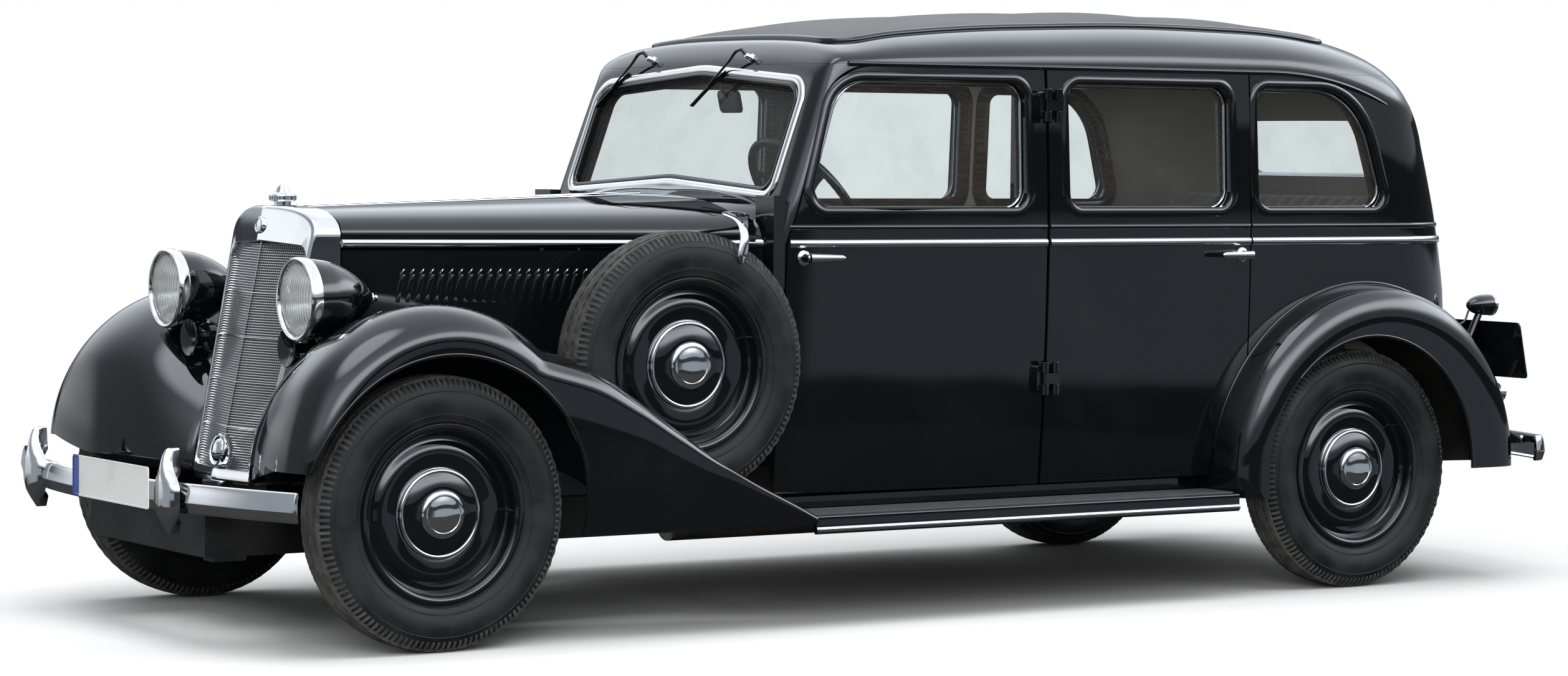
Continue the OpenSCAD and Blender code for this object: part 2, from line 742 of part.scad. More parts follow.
// Rear quarters and back panel
tail_low = 420;
rear_first = front_steps + 5;
module rear_body() {
    color("black")
        difference() {
            cab_shell(rear_first, station_count - 1);
            box([0, -far, drip_z - 2 * fit], [far, far, far]);
            both()
                rear_door_zone(door_gap);
            both()
                intersection() {
                    fender_cut(0);
                    box([0, -far, 0], [far, -sill_in, far]);
                }
            both()
                window_cut(quarter_window(0));
            back_plate(back_rows(0), -4 * wall, 4 * wall);
            box([0, -far, 0], [far, far, tail_low]);
            box([0, -far, 0], [door_rear_x, far, far]);
        }
}

// Centre posts with the hinge pins, and the sills
post_w = 64;
post_y = cab_half_w * low_shares[0][1] - wall - door_gap;
hinge_off = 18;
hinge_stand = 14;
hinge_y = cab_half_w + hinge_stand;
hinge_pin_r = 6;
hinge_play = 1;
hinge_r = 12;
hinge_h = 30;
hinge_low_in = 297;
hinge_high_in = 106;
hinge_zs = [door_bottom_z + hinge_low_in, drip_z - hinge_high_in];
tongue_t = 4;
module door_posts() {
    color("black")
        both() {
            box([door_front_x, -sill_in - sill_w, board_top_z - board_t + fit],
                [door_rear_x - 3 * wall, -floor_w - fit, frame_top_z]);
            box([door_mid_x - post_w / 2, -post_y, frame_top_z - overrun],
                [door_mid_x + post_w / 2, -floor_w - fit, drip_z - fit]);
            for (z = hinge_zs) {
                box([door_mid_x - tongue_t / 2, -hinge_y - hinge_pin_r, z - hinge_h / 2],
                    [door_mid_x + tongue_t / 2, -floor_w - 2 * fit, z + hinge_h / 2]);
                box([door_mid_x - hinge_off, -hinge_y - hinge_pin_r, z - hinge_h / 2],
                    [door_mid_x + hinge_off, -hinge_y + hinge_pin_r, z + hinge_h / 2]);
                for (x = [-hinge_off, hinge_off])
                    translate([door_mid_x + x, -hinge_y, z - 3 * hinge_h / 2])
                        cylinder(r = hinge_pin_r, h = 3 * hinge_h);
            }
        }
}

// Windscreen, quarter windows and rear window
quarter_reach = 4;
module fixed_windows() {
    color("lightblue") {
        screen_plate(screen_rows(fit), wall / 2, wall / 2 + glass_t);
        both()
            side_pane(quarter_window(fit), quarter_reach);
        back_plate(back_rows(fit), -2 * wall / 3, -2 * wall / 3 + glass_t);
    }
}

// Bonnet sides with their louvres
side_low_z = 560;
louvre_x = 105;
louvre_len = 520;
louvre_low_z = 860;
louvre_high_z = 945;
louvre_t = 9;
louvre_w = 12;
bonnet_taper = atan((bonnet_rear_w - bonnet_front_w) / bonnet_len);
module bonnet_side() {
    translate([-bonnet_lead, -bonnet_front_w, 0])
        rotate([0, 0, -bonnet_taper]) {
            box([0, 0, side_low_z], [(bonnet_len - fit) / cos(bonnet_taper), sheet, bonnet_low_z - door_gap]);
            for (k = [0:louvre_count - 1])
                translate([bonnet_lead + louvre_x + k * louvre_len / (louvre_count - 1), 0, louvre_low_z])
                    rotate([0, 0, -bonnet_taper])
                        box([0, -louvre_t, 0], [louvre_w, sheet / 2, louvre_high_z - louvre_low_z]);
        }
}
module bonnet_sides() {
    color("black")
        both() {
            bonnet_side();
            box([engine_front_x + engine_len - cross_w, -bonnet_w(engine_front_x + engine_len - cross_w),
                    frame_top_z + fit],
                [engine_front_x + engine_len - cross_w + sheet, -frame_y, side_low_z + overrun]);
        }
}

// Hinge rod on the bonnet's centre line
hinge_tilt = atan((bonnet_rear_z - bonnet_front_z) / bonnet_len);
module bonnet_hinge() {
    color("silver")
        translate([-bonnet_lead + 2 * fit, 0, bonnet_front_z])
            rotate([0, 90 - hinge_tilt, 0])
                cylinder(r = hinge_rod_r, h = (bonnet_len + bonnet_gap - 3 * fit) / cos(hinge_tilt),
                    $fn = 24);
}

// One half of the bonnet, left
hinge_clear = hinge_rod_r + 2 * fit;
module bonnet_half_left() {
    xs = [-bonnet_lead + fit, bonnet_rear_x];
    color("black")
        sheet_between(
            [for (x = xs) bonnet_half(x, bonnet_w(x), bonnet_top(x), 0, hinge_clear)],
            [for (x = xs) bonnet_half(x, bonnet_w(x), bonnet_top(x), sheet, hinge_clear)]);
}

// Radiator shell and grille: an upright outline cut off in front by two leaning faces
rad_foot_x = -285;
rad_foot_z = 385;
rad_foot_w = 215;
rad_head_w = 150;
rad_shoulder = 95;
rad_round = 90;
rad_rim = 24;
rad_vee = 46;
rad_foot_r = 30;
grille_back = 34;
grille_t = 22;
rad_step = 2;
rad_head_z = bonnet_front_z + rad_step;
function rad_rows(g) = rounded([
    [-rad_foot_w + g, rad_foot_z + g, rad_foot_r],
    [rad_foot_w - g, rad_foot_z + g, rad_foot_r],
    [radiator_w - g, rad_head_z - rad_shoulder - g, rad_round],
    [rad_head_w - g, rad_head_z - rad_foot_r / 2 - g, rad_round],
    [0, rad_head_z - g, 2 * rad_round],
    [-rad_head_w + g, rad_head_z - rad_foot_r / 2 - g, rad_round],
    [-radiator_w + g, rad_head_z - rad_shoulder - g, rad_round]], 6);
module rad_vee_plan(back, front) {
    translate([rad_foot_x, 0, rad_foot_z])
        rotate([0, radiator_lean, 0])
            translate([0, 0, -rad_head_z])
                linear_extrude(height = 3 * rad_head_z)
                    polygon([
                        [front, 0], [front + rad_vee, radiator_w + overrun], [back, radiator_w + overrun],
                        [back, -radiator_w - overrun], [front + rad_vee, -radiator_w - overrun]]);
}
module rad_extrude(points, x0, x1) {
    translate([x0, 0, 0])
        rotate([90, 0, 90])
            linear_extrude(height = x1 - x0)
                polygon(points);
}
module rad_body(g, x1) {
    intersection() {
        rad_extrude(rad_rows(g), rad_foot_x - overrun, x1);
        linear_extrude(height = 2 * rad_head_z)
            polygon([
                [rad_foot_x - 2 * overrun, bonnet_w(rad_foot_x - 2 * overrun) - g],
                [overrun, bonnet_w(overrun) - g],
                [overrun, -bonnet_w(overrun) + g],
                [rad_foot_x - 2 * overrun, -bonnet_w(rad_foot_x - 2 * overrun) + g]]);
    }
}
module radiator_shell() {
    color("silver")
        difference() {
            intersection() {
                rad_body(0, -bonnet_lead);
                rad_vee_plan(far, 0);
            }
            rad_body(rad_rim, 0);
        }
}
module radiator_grille() {
    color("dimgray")
        difference() {
            intersection() {
                rad_body(rad_rim + fit, -bonnet_lead);
                rad_vee_plan(far, grille_back);
            }
            rad_vee_plan(2 * far, grille_back + grille_t);
        }
}

// Plain filler cap on the radiator
cap_r = 34;
cap_h = 30;
cap_x = -80;
cap_neck_r = 20;
cap_top_z = 1190;
module radiator_cap() {
    color("silver")
        difference() {
            union() {
                translate([cap_x, 0, bonnet_front_z - cap_h])
                    cylinder(r = cap_neck_r, h = 2 * cap_h);
                translate([cap_x, 0, bonnet_front_z + cap_h / 2])
                    cylinder(r = cap_r, h = cap_h / 2);
                translate([cap_x, 0, bonnet_front_z + cap_h])
                    cylinder(r1 = cap_r / 2, r2 = cap_r / 4, h = cap_top_z - bonnet_front_z - cap_h);
            }
            rad_extrude(rad_rows(-fit), rad_foot_x - overrun, overrun);
        }
}

// Front fenders: crown over the wheel and tail down to the running board
arc_steps = 9;
arc_from = 176;
arc_to = 48;
tail_end_z = 306;
inner_steps = 6;
outer_steps = 4;
crown_in = 125;
crown_y = fender_w - crown_in;
tail_crown_in = 33;
tail_crown_y = fender_w - tail_crown_in;
fender_in = 8;
shoulder = 90;
tail_shoulder = 14;
skirt_drop = 190;
inner_power = 2.2;
foot_turn = 13;
foot_fade_share = 0.35;
tail_in = 20.5;
tail_in_y = cowl_rear_w - tail_in;
// Share of the tail's length, share of its fall
tail_shares = [[0.164, 0.104], [0.311, 0.275], [0.459, 0.466], [0.612, 0.649], [0.765, 0.797], [0.92, 0.928],
    [1, 1]];
// Share of the way round the crown, share of the crown's radius that the inner edge drops
drop_shares = [[0, 0.44], [0.3, 0.5], [0.6, 0.52], [1, 0.5], [1.35, 0.5], [2, 0.08]];
arc_end = [front_crown_r * cos(arc_to), front_crown_z + front_crown_r * sin(arc_to)];
// Row: place x, place z, angle of the section, way along
fender_path = concat(
    [for (k = [0:arc_steps]) let(a = mix(arc_from, arc_to, k / arc_steps))
        [front_crown_r * cos(a), front_crown_z + front_crown_r * sin(a), a, k / arc_steps]],
    [for (r = tail_shares) [mix(arc_end[0], front_tail_x, r[0]), mix(arc_end[1], tail_end_z, r[1]),
        mix(arc_to, 90, clamp(3 * r[0])), 1 + r[0]]]);
function fender_point(p, y, n, turn) = p[3] > 1
    ? [p[0] + cos(p[2]) * n, y, p[1] + sin(p[2]) * n]
    : [(front_crown_r + n) * cos(p[2] + turn), y, front_crown_z + (front_crown_r + n) * sin(p[2] + turn)];
function fender_row(p, t) = let(
    way = clamp(p[3] - 1),
    yc = mix(crown_y, tail_crown_y, clamp(2 * way)),
    drop = front_crown_r * lookup(p[3], drop_shares),
    low = fender_point(p, 0, -drop, 0),
    yi = max(bonnet_w(low[0]) + fender_in, mix(0, tail_in_y, way)),
    sh = mix(shoulder, tail_shoulder, clamp(1.5 * way)),
    foot = foot_turn * clamp(1 - p[3] / foot_fade_share),
    skirt = p[3] > 1 ? (p[1] - tail_low_z) / sin(p[2]) : skirt_drop)
    concat(
        [for (k = [0:inner_steps - 1]) let(f = 1 - k / inner_steps)
            fender_point(p, -mix(yc, yi, f), -drop * pow(f, inner_power) - t, foot * f)],
        [for (k = [0:outer_steps]) let(a = 90 * k / outer_steps)
            fender_point(p, -yc - (fender_w - yc) * sin(a) + t * sin(a), -sh * (1 - cos(a)) - t * cos(a), 0)],
        [fender_point(p, -fender_w + t, -skirt, 0)]);
spare_x = 735;
spare_z = 708;
spare_play = 6;
spare_tuck = 7.5;
spare_y = cowl_rear_w + tyre_w / 2 - spare_tuck;
stalk_x = -120;
stalk_r = 16;
stalk_y = 372;
module front_fender() {
    difference() {
        sheet_between([for (p = fender_path) fender_row(p, 0)], [for (p = fender_path) fender_row(p, sheet)]);
        translate([0, -crown_y - overrun, tyre_r])
            rotate([90, 0, 0])
                cylinder(r = front_arch_r, h = far, $fn = 96);
        translate([spare_x, -spare_y + tyre_w / 2 + spare_play, spare_z])
            rotate([90, 0, 0])
                cylinder(r = tyre_r + spare_play, h = tyre_w + 2 * spare_play, $fn = 96);
        translate([stalk_x, -stalk_y, 0])
            cylinder(r = stalk_r + fit, h = lamp_z, $fn = 24);
    }
}
module front_fenders() {
    color("black")
        both()
            front_fender();
}

// Rear fenders: bodies of revolution with a round wheel opening
rear_inner = 115;
rear_inner_y = cab_half_w - rear_inner;
// Share of the width outside the body, share of the radius
rear_shares = [[0, 1], [0.35, 0.99], [0.6, 0.975], [0.78, 0.95], [0.9, 0.91], [0.97, 0.86], [1, 0.8],
    [1, 0.6]];
rear_body_in = 10;
rear_body_y = cab_half_w - rear_body_in;
rear_tail_z = 342;
rear_foot_z = 285;
function rear_rows() = concat(
    [[rear_fender_r - sheet, rear_inner_y], [rear_fender_r, rear_inner_y]],
    [for (r = rear_shares) [rear_fender_r * r[1], mix(rear_body_y, fender_w, r[0])]],
    [for (k = [len(rear_shares) - 1:-1:0]) let(r = rear_shares[k])
        [rear_fender_r * r[1] - (k == len(rear_shares) - 1 ? 0 : sheet),
            mix(rear_body_y, fender_w, r[0]) - sheet]]);
module rear_fender() {
    difference() {
        translate([wheelbase + rear_fender_x, 0, rear_fender_z])
            turned(rear_rows());
        translate([wheelbase, -rear_body_y - overrun, tyre_r])
            rotate([90, 0, 0])
                cylinder(r = rear_arch_r, h = far, $fn = 96);
        box([wheelbase, -far, -far], [2 * far, 0, rear_tail_z]);
        box([0, -far, -far], [wheelbase + overrun, 0, rear_foot_z]);
    }
}
module rear_fenders() {
    color("black")
        both()
            rear_fender();
}

// Running boards between the fenders
board_t = 22;
board_tuck = 60;
board_in = cab_half_w - board_tuck;
board_top_z = 306;
board_edge_in = 9;
board_w = fender_w - board_edge_in;
board_play = 6;
board_end_x = wheelbase + rear_fender_x - rear_fender_r - board_play;
bracket_t = 20;
module running_boards() {
    color("dimgray")
        both() {
            box([front_tail_x + fit, -board_w, board_top_z - board_t], [board_end_x, -board_in, board_top_z]);
            for (x = [door_front_x + cross_w, door_mid_x, door_rear_x - 3 * cross_w])
                box([x, -board_in - overrun, board_top_z - board_t - bracket_t],
                    [x + cross_w / 2, -frame_y - frame_t - fit, board_top_z - board_t]);
        }
}

// Headlamps on stalks that stand on the frame
lamp_front_x = -232;
lamp_len = 215;
lamp_rim = 14;
lens_in = 6;
lens_bulge = 20;
lens_mid_share = 0.7;
// Share of the lamp's length, share of its radius
lamp_shares = [[0, 1], [0.12, 1], [0.3, 0.96], [0.5, 0.84], [0.7, 0.64], [0.87, 0.38], [0.97, 0.15], [1, 0]];
module headlamp() {
    translate([lamp_front_x, -lamp_y, lamp_z])
        rotate([0, 90, 0])
            rotate_extrude($fn = 64)
                polygon(concat(
                    [[0, lamp_rim], [lamp_r - lens_in, lamp_rim], [lamp_r - lens_in, 0]],
                    [for (r = lamp_shares) [lamp_r * r[1], lamp_len * r[0]]]));
    translate([stalk_x, -stalk_y, frame_top_z + stalk_r])
        cylinder(r = stalk_r, h = lamp_z - frame_top_z - stalk_r - lamp_r / 2, $fn = 24);
    box([stalk_x - stalk_r, -stalk_y - stalk_r, frame_top_z],
        [stalk_x + stalk_r, -frame_y, frame_top_z + 2 * stalk_r]);
}
module headlamps() {
    color("black")
        both()
            headlamp();
}
module headlamp_lenses() {
    color("white")
        both()
            translate([lamp_front_x, -lamp_y, lamp_z])
                rotate([0, 90, 0])
                    rotate_extrude($fn = 64)
                        polygon([[0, lamp_rim - fit], [lamp_r - lens_in - fit, lamp_rim - fit],
                            [lamp_r - lens_in - fit, 0], [lamp_r / 2, -lens_bulge * lens_mid_share],
                            [0, -lens_bulge]]);
}

// Horns beside the lamp stalks
horn_r = 50;
horn_len = 60;
horn_y = 300;
horn_z = 752;
horn_x = -215;
module horns() {
    color("black")
        both() {
            translate([horn_x, -horn_y, horn_z])
                rotate([0, 90, 0])
                    cylinder(r = horn_r, h = horn_len, $fn = 48);
            difference() {
                box([horn_x + horn_len / 2, -stalk_y, horn_z - stalk_r / 2],
                    [stalk_x + stalk_r / 2, -horn_y, horn_z + stalk_r / 2]);
                translate([stalk_x, -stalk_y, 0])
                    cylinder(r = stalk_r + fit, h = far, $fn = 24);
            }
        }
}

// Front bumper: arched bar, guards and the irons to the frame
bumper_t = 22;
bumper_sag = 171;
bumper_back = 22;
bumper_bow_r = (bumper_half_w * bumper_half_w + bumper_sag * bumper_sag) / (2 * bumper_sag);
guard_y = 425;
guard_w = 46;
guard_low_z = 305;
guard_high_z = 512;
guard_depth = bumper_back + bumper_t + bumper_bow_r - sqrt(bumper_bow_r * bumper_bow_r - guard_y * guard_y);
guard_r = 24;
iron_w = 46;
iron_t = 14;
module bumper_bar(half_w) {
    rotate([0, 0, 180 - asin(half_w / bumper_bow_r)])
        rotate_extrude(angle = 2 * asin(half_w / bumper_bow_r), $fn = 360)
            polygon(rounded([
                [bumper_bow_r - bumper_t, -bumper_h / 2, bumper_t / 4],
                [bumper_bow_r, -bumper_h / 2, bumper_t / 2],
                [bumper_bow_r, bumper_h / 2, bumper_t / 2],
                [bumper_bow_r - bumper_t, bumper_h / 2, bumper_t / 4]], 4));
}
module guard() {
    side_plate(rounded([
        [-front_overhang, guard_low_z, guard_r],
        [-front_overhang + guard_depth, guard_low_z, guard_r],
        [-front_overhang + guard_depth, guard_high_z, guard_r],
        [-front_overhang, guard_high_z, guard_r]]), -guard_y - guard_w / 2, -guard_y + guard_w / 2);
}
module front_bumper() {
    color("silver") {
        translate([-front_overhang + bumper_back + bumper_bow_r, 0, bumper_z])
            bumper_bar(bumper_half_w);
        both() {
            guard();
            box([-front_overhang + bumper_back + bumper_t, -guard_y - iron_w / 2, frame_top_z + fit],
                [frame_front_x + cross_w, -guard_y - iron_w / 2 + iron_t, frame_top_z + iron_w]);
            box([frame_front_x, -guard_y - iron_w / 2, frame_top_z + fit],
                [frame_front_x + cross_w, -frame_y, frame_top_z + iron_w / 2]);
        }
    }
}

// Rear bumper: the same bow turned to the back, with curled ends
rear_bumper_half_w = 780;
curl_r = 60;
curl_turn = 75;
curl_lap = 1;
module rear_bumper() {
    bow_x = wheelbase + rear_overhang - bumper_bow_r;
    a = asin(rear_bumper_half_w / bumper_bow_r);
    iron_y = frame_y + frame_t / 2;
    iron_end_x = bow_x + sqrt(bumper_bow_r * bumper_bow_r - iron_y * iron_y) - bumper_t / 2;
    iron_x = wheelbase + frame_tail - cross_w;
    color("silver") {
        translate([bow_x, 0, bumper_z])
            mirror([1, 0, 0])
                bumper_bar(rear_bumper_half_w);
        both()
            translate([bow_x + (bumper_bow_r - curl_r) * cos(a), -(bumper_bow_r - curl_r) * sin(a), bumper_z])
                rotate([0, 0, -a - curl_turn])
                    rotate_extrude(angle = curl_turn + curl_lap, $fn = 96)
                        polygon(rounded([
                            [curl_r - bumper_t, -bumper_h / 2, bumper_t / 4],
                            [curl_r, -bumper_h / 2, bumper_t / 2],
                            [curl_r, bumper_h / 2, bumper_t / 2],
                            [curl_r - bumper_t, bumper_h / 2, bumper_t / 4]], 4));
        both() {
            box([iron_x, -iron_y - iron_t / 2, bumper_z - iron_w / 2],
                [iron_x + cross_w, -iron_y + iron_t / 2, frame_low_z + kick_rise - fit]);
            box([iron_x, -iron_y - iron_t / 2, bumper_z - iron_w / 2],
                [iron_end_x, -iron_y + iron_t / 2, tail_low - fit]);
        }
    }
}

// Rear lamps on posts above the rear fenders
tail_lamp_lap = 43;
tail_lamp_x = rear_fender_x + rear_fender_r - tail_lamp_lap;
tail_lamp_in = 100;
tail_lamp_y = cab_half_w - tail_lamp_in;
tail_lamp_drop = 77;
tail_lamp_z = rear_fender_z + rear_fender_r - tail_lamp_drop;
tail_lamp_r = 32;
tail_lamp_len = 110;
tail_post_r = 9;
tail_post_turn = -152;
// Share of the lamp's length, share of its radius
torpedo_shares = [[0, 0], [0.05, 0.3], [0.25, 0.75], [0.5, 0.95], [0.75, 1], [0.95, 0.95], [1, 0.8]];
module tail_lamp() {
    translate([wheelbase + tail_lamp_x, -tail_lamp_y, tail_lamp_z])
        rotate([0, 90, 0])
            rotate_extrude($fn = 48)
                polygon(concat([for (r = torpedo_shares) [tail_lamp_r * r[1], tail_lamp_len * r[0]]],
                    [[0, tail_lamp_len]]));
    difference() {
        translate([wheelbase + tail_lamp_x + tail_lamp_len / 2, -tail_lamp_y, tail_lamp_z])
            rotate([0, tail_post_turn, 0])
                cylinder(r = tail_post_r, h = 3 * tail_lamp_len, $fn = 24);
        translate([wheelbase + rear_fender_x, 0, rear_fender_z])
            rotate([90, 0, 0])
                cylinder(r = rear_fender_r + fit, h = far, $fn = 96);
    }
}
module tail_lamps() {
    color("black")
        both()
            tail_lamp();
}

// Tyre and wheel, turned about the wheel's own axis, outside towards -Y
bead_r = 216;
bead_h = 54;
flange_t = 8;
shoulder_r = 336;
shoulder_h = 60;
tread_h = 46;
belly_r = 285;
rim_in_r = 206;
disc_h = 26;
disc_t = 8;
ring_r = 166;
cap_ring_in_r = 95;
cap_dish_h = 34;
cap_boss_r = 64;
cap_boss_h = 56;
hub_r = 52;
bead_lip = 2;
spindle_gap = 2;
module tyre() {
    color("dimgray")
        turned([
            [bead_r + fit, -bead_h], [rim_r + fit + bead_lip, -bead_h],
            [belly_r, -tyre_w / 2], [shoulder_r, -shoulder_h],
            [tyre_r, -tread_h], [tyre_r, tread_h], [shoulder_r, shoulder_h], [belly_r, tyre_w / 2],
            [rim_r + fit + bead_lip, bead_h], [bead_r + fit, bead_h]]);
}
module wheel(bored) {
    color("black")
        difference() {
            turned([
                [0, bored ? -hub_in : -hub_in / 2], [bored ? drum_r : hub_r, bored ? -hub_in : -hub_in / 2],
                [bored ? drum_r : hub_r, disc_h - disc_t],
                [ring_r, disc_h], [rim_in_r, disc_h - 2 * disc_t], [rim_in_r, -bead_h - fit],
                [rim_r - flange_t, -bead_h - fit - flange_t], [rim_r, -bead_h - fit - flange_t],
                [rim_r, -bead_h - fit], [bead_r, -bead_h - fit], [bead_r, bead_h + fit],
                [rim_r, bead_h + fit], [rim_r, bead_h + fit + flange_t],
                [rim_r - flange_t, bead_h + fit + flange_t],
                [rim_in_r, bead_h + fit], [rim_in_r, disc_h], [ring_r, disc_h + disc_t],
                [hubcap_r + disc_t, disc_h + disc_t / 2], [hubcap_r, cap_dish_h + disc_t],
                [(hubcap_r + cap_ring_in_r) / 2, cap_dish_h + 2 * disc_t],
                [cap_ring_in_r, cap_dish_h + disc_t],
                [cap_boss_r, cap_dish_h], [cap_boss_r * 0.9, cap_boss_h - disc_t / 2],
                [cap_boss_r / 2, cap_boss_h], [0, cap_boss_h]]);
            if (bored)
                translate([0, hub_in + overrun, 0])
                    rotate([90, 0, 0])
                        cylinder(r = spindle_r + bearing_play,
                            h = hub_in + overrun + spindle_reach + spindle_gap);
        }
}

// Steering knuckle, left
sleeve_r = 34;
sleeve_h = 96;
module knuckle() {
    color("gray")
        difference() {
            union() {
                translate([0, -kingpin_y, tyre_r - sleeve_h])
                    cylinder(r = sleeve_r, h = 2 * sleeve_h);
                translate([0, -kingpin_y, tyre_r])
                    rotate([90, 0, 0])
                        cylinder(r = spindle_r, h = kingpin_inset + spindle_reach);
                translate([0, -front_track / 2 + hub_in + hub_gap, tyre_r])
                    rotate([-90, 0, 0])
                        cylinder(r = drum_r, h = hub_gap);
                translate([0, -kingpin_y, tyre_r])
                    rotate([90, 0, 0])
                        cylinder(r = sleeve_r, h = kingpin_inset - hub_in - hub_gap);
            }
            translate([0, -kingpin_y, 0])
                cylinder(r = kingpin_r + bearing_play, h = far);
        }
}

module front_left() {
    translate([0, -front_track / 2, tyre_r])
        children();
}
module rear_left() {
    translate([wheelbase, -rear_track / 2, tyre_r])
        children();
}
module to_right() {
    mirror([0, 1, 0])
        children();
}
module spare_place() {
    both()
        translate([spare_x, -spare_y, spare_z])
            children();
}

// Spare wheels in the wells of the front fenders, each held by a post to the frame
spare_post_r = 20;
module spare_wheels() {
    spare_place()
        wheel(false);
    color("black")
        both() {
            difference() {
                translate([spare_x, -spare_y, spare_z])
                    rotate([-90, 0, 0])
                        cylinder(r = spare_post_r, h = spare_y - bonnet_w(spare_x) + overrun);
                translate([-bonnet_lead, -bonnet_front_w, 0])
                    rotate([0, 0, -bonnet_taper])
                        box([0, -fit, 0], [far, far, far]);
            }
        }
}

// Seats: cushions and backs, front bench and rear bench
seat_in = 20;
seat_w = floor_w - seat_in;
front_seat_x = 1360;
front_seat_len = 420;
seat_top_z = 650;
back_t = 140;
front_back_z = 1130;
back_rake = 12;
seat_r = 50;
rear_seat_lead = 310;
rear_seat_x = wheelbase - rear_seat_lead;
rear_seat_len = 500;
rear_seat_z = 770;
rear_back_z = 1180;
rear_seat_in = 55;
rear_seat_w = floor_w - rear_seat_in;
module bench(x, length, low, cushion, top, w) {
    side_plate(rounded([
        [x, low, seat_r / 2], [x + length, low, seat_r / 2],
        [x + length + back_t + tan(back_rake) * (top - low) / 2, top, seat_r],
        [x + length + tan(back_rake) * (top - low) / 2, top, seat_r],
        [x + length - overrun, cushion, seat_r / 2], [x, cushion, seat_r]]), -w, w);
}
module front_seat() {
    color("tan")
        bench(front_seat_x, front_seat_len, frame_top_z + floor_t + fit, seat_top_z, front_back_z, seat_w);
}
module rear_seat() {
    color("tan")
        bench(rear_seat_x, rear_seat_len, seat_step_z + floor_t + fit, rear_seat_z, rear_back_z, rear_seat_w);
}

// Dashboard with the steering column
dash_low_z = 900;
dash_high_z = 1110;
dash_t = 40;
dash_in = 15;
dash_w = floor_w - dash_in;
steer_in = 240;
steer_y = floor_w - steer_in;
steer_x = 1365;
steer_z = 1127;
steer_tilt = 52;
steer_r = 215;
grip_r = 13;
column_r = 22;
column_len = 480;
steer_pin_r = 10;
boss_lip = 4;
module dashboard() {
    color("saddlebrown") {
        box([dash_wall_x + floor_t + fit, -dash_w, dash_low_z],
            [dash_wall_x + floor_t + fit + dash_t, dash_w, dash_high_z]);
        difference() {
            translate([steer_x, -steer_y, steer_z])
                rotate([0, steer_tilt, 0])
                    translate([0, 0, -column_len - hub_gap]) {
                        cylinder(r = column_r, h = column_len);
                        cylinder(r = steer_pin_r, h = column_len + hub_gap + 2 * grip_r);
                    }
            box([0, -far, 0], [dash_wall_x + floor_t + fit, far, far]);
        }
    }
}
module steering_wheel() {
    color("black")
        translate([steer_x, -steer_y, steer_z])
            rotate([0, steer_tilt, 0])
                difference() {
                    union() {
                        rotate_extrude($fn = 64)
                            translate([steer_r - grip_r, grip_r])
                                circle(r = grip_r, $fn = 24);
                        cylinder(r = 2 * column_r, h = 2 * grip_r + boss_lip);
                        for (a = [0, 120, 240])
                            rotate([0, 0, a])
                                translate([0, -grip_r, grip_r / 2])
                                    cube([steer_r - grip_r, 2 * grip_r, grip_r]);
                    }
                    translate([0, 0, -overrun])
                        cylinder(r = steer_pin_r + bearing_play, h = overrun + 2 * grip_r + boss_lip / 2);
                }
}

// Direction arms in their housings on the front pillars
traffic_w = 20;
traffic_len = 36;
traffic_low_z = 900;
traffic_high_z = 1150;
module trafficators() {
    color("black")
        both()
            difference() {
                box([cab_front_x - fit - traffic_len, -cowl_rear_w - traffic_w, traffic_low_z],
                    [cab_front_x - fit, -bonnet_rear_w, traffic_high_z]);
                scuttle(-fit, 0);
            }
}

// Doors with their handles and hinge knuckles
handle_z = 982;
handle_len = 110;
handle_r = 9;
handle_out = 48;
front_handle_in = 52;
rear_handle_in = 30;
module hinge_knuckles(dx, inward) {
    for (z = hinge_zs, u = [-1, 1])
        difference() {
            union() {
                translate([door_mid_x + dx, -hinge_y, z + u * (hinge_h + hinge_play) - hinge_h / 2])
                    cylinder(r = hinge_r, h = hinge_h);
                translate([door_mid_x + dx, -hinge_y, z + u * (hinge_h + hinge_play) - hinge_h / 2])
                    box([inward < 0 ? -hinge_r : 0, 0, 0],
                        [inward < 0 ? 0 : hinge_r, wall + hinge_y - cab_half_w, hinge_h]);
            }
            translate([door_mid_x + dx, -hinge_y, 0])
                cylinder(r = hinge_pin_r + bearing_play, h = far);
        }
}
module handle(x, way) {
    translate([x, -side_w(x - cab_front_x, handle_z) - handle_out, handle_z]) {
        rotate([0, 90, 0])
            translate([0, 0, way < 0 ? -handle_len : 0])
                cylinder(r = handle_r, h = handle_len, $fn = 24);
        rotate([-90, 0, 0])
            cylinder(r = handle_r, h = handle_out + wall, $fn = 24);
    }
}
module door_front() {
    color("black") {
        difference() {
            intersection() {
                cab_shell(0, front_steps + 6);
                front_door_zone(0);
            }
            window_cut(front_window(0));
        }
        handle(door_front_x + front_handle_in, 1);
        hinge_knuckles(-hinge_off, -1);
    }
}
module door_rear() {
    color("black") {
        difference() {
            intersection() {
                cab_shell(front_steps + 4, front_steps + 9);
                rear_door_zone(0);
            }
            window_cut(rear_window(0));
        }
        handle(door_rear_x - rear_handle_in, -1);
        hinge_knuckles(hinge_off, 1);
    }
}
rear_reach = 1;
pane_turn = 2.6;
module glass_front() {
    color("lightblue")
        intersection() {
            side_plate(front_window(fit), -far, 0);
            translate([door_mid_x, -cab_half_w, belt_z])
                rotate([-pane_lean, 0, -pane_turn])
                    translate([-far / 2, pane_in - glass_t / 2, -far / 2])
                        cube([far, glass_t, far]);
        }
}
module glass_rear() {
    color("lightblue")
        side_pane(rear_window(fit), rear_reach);
}

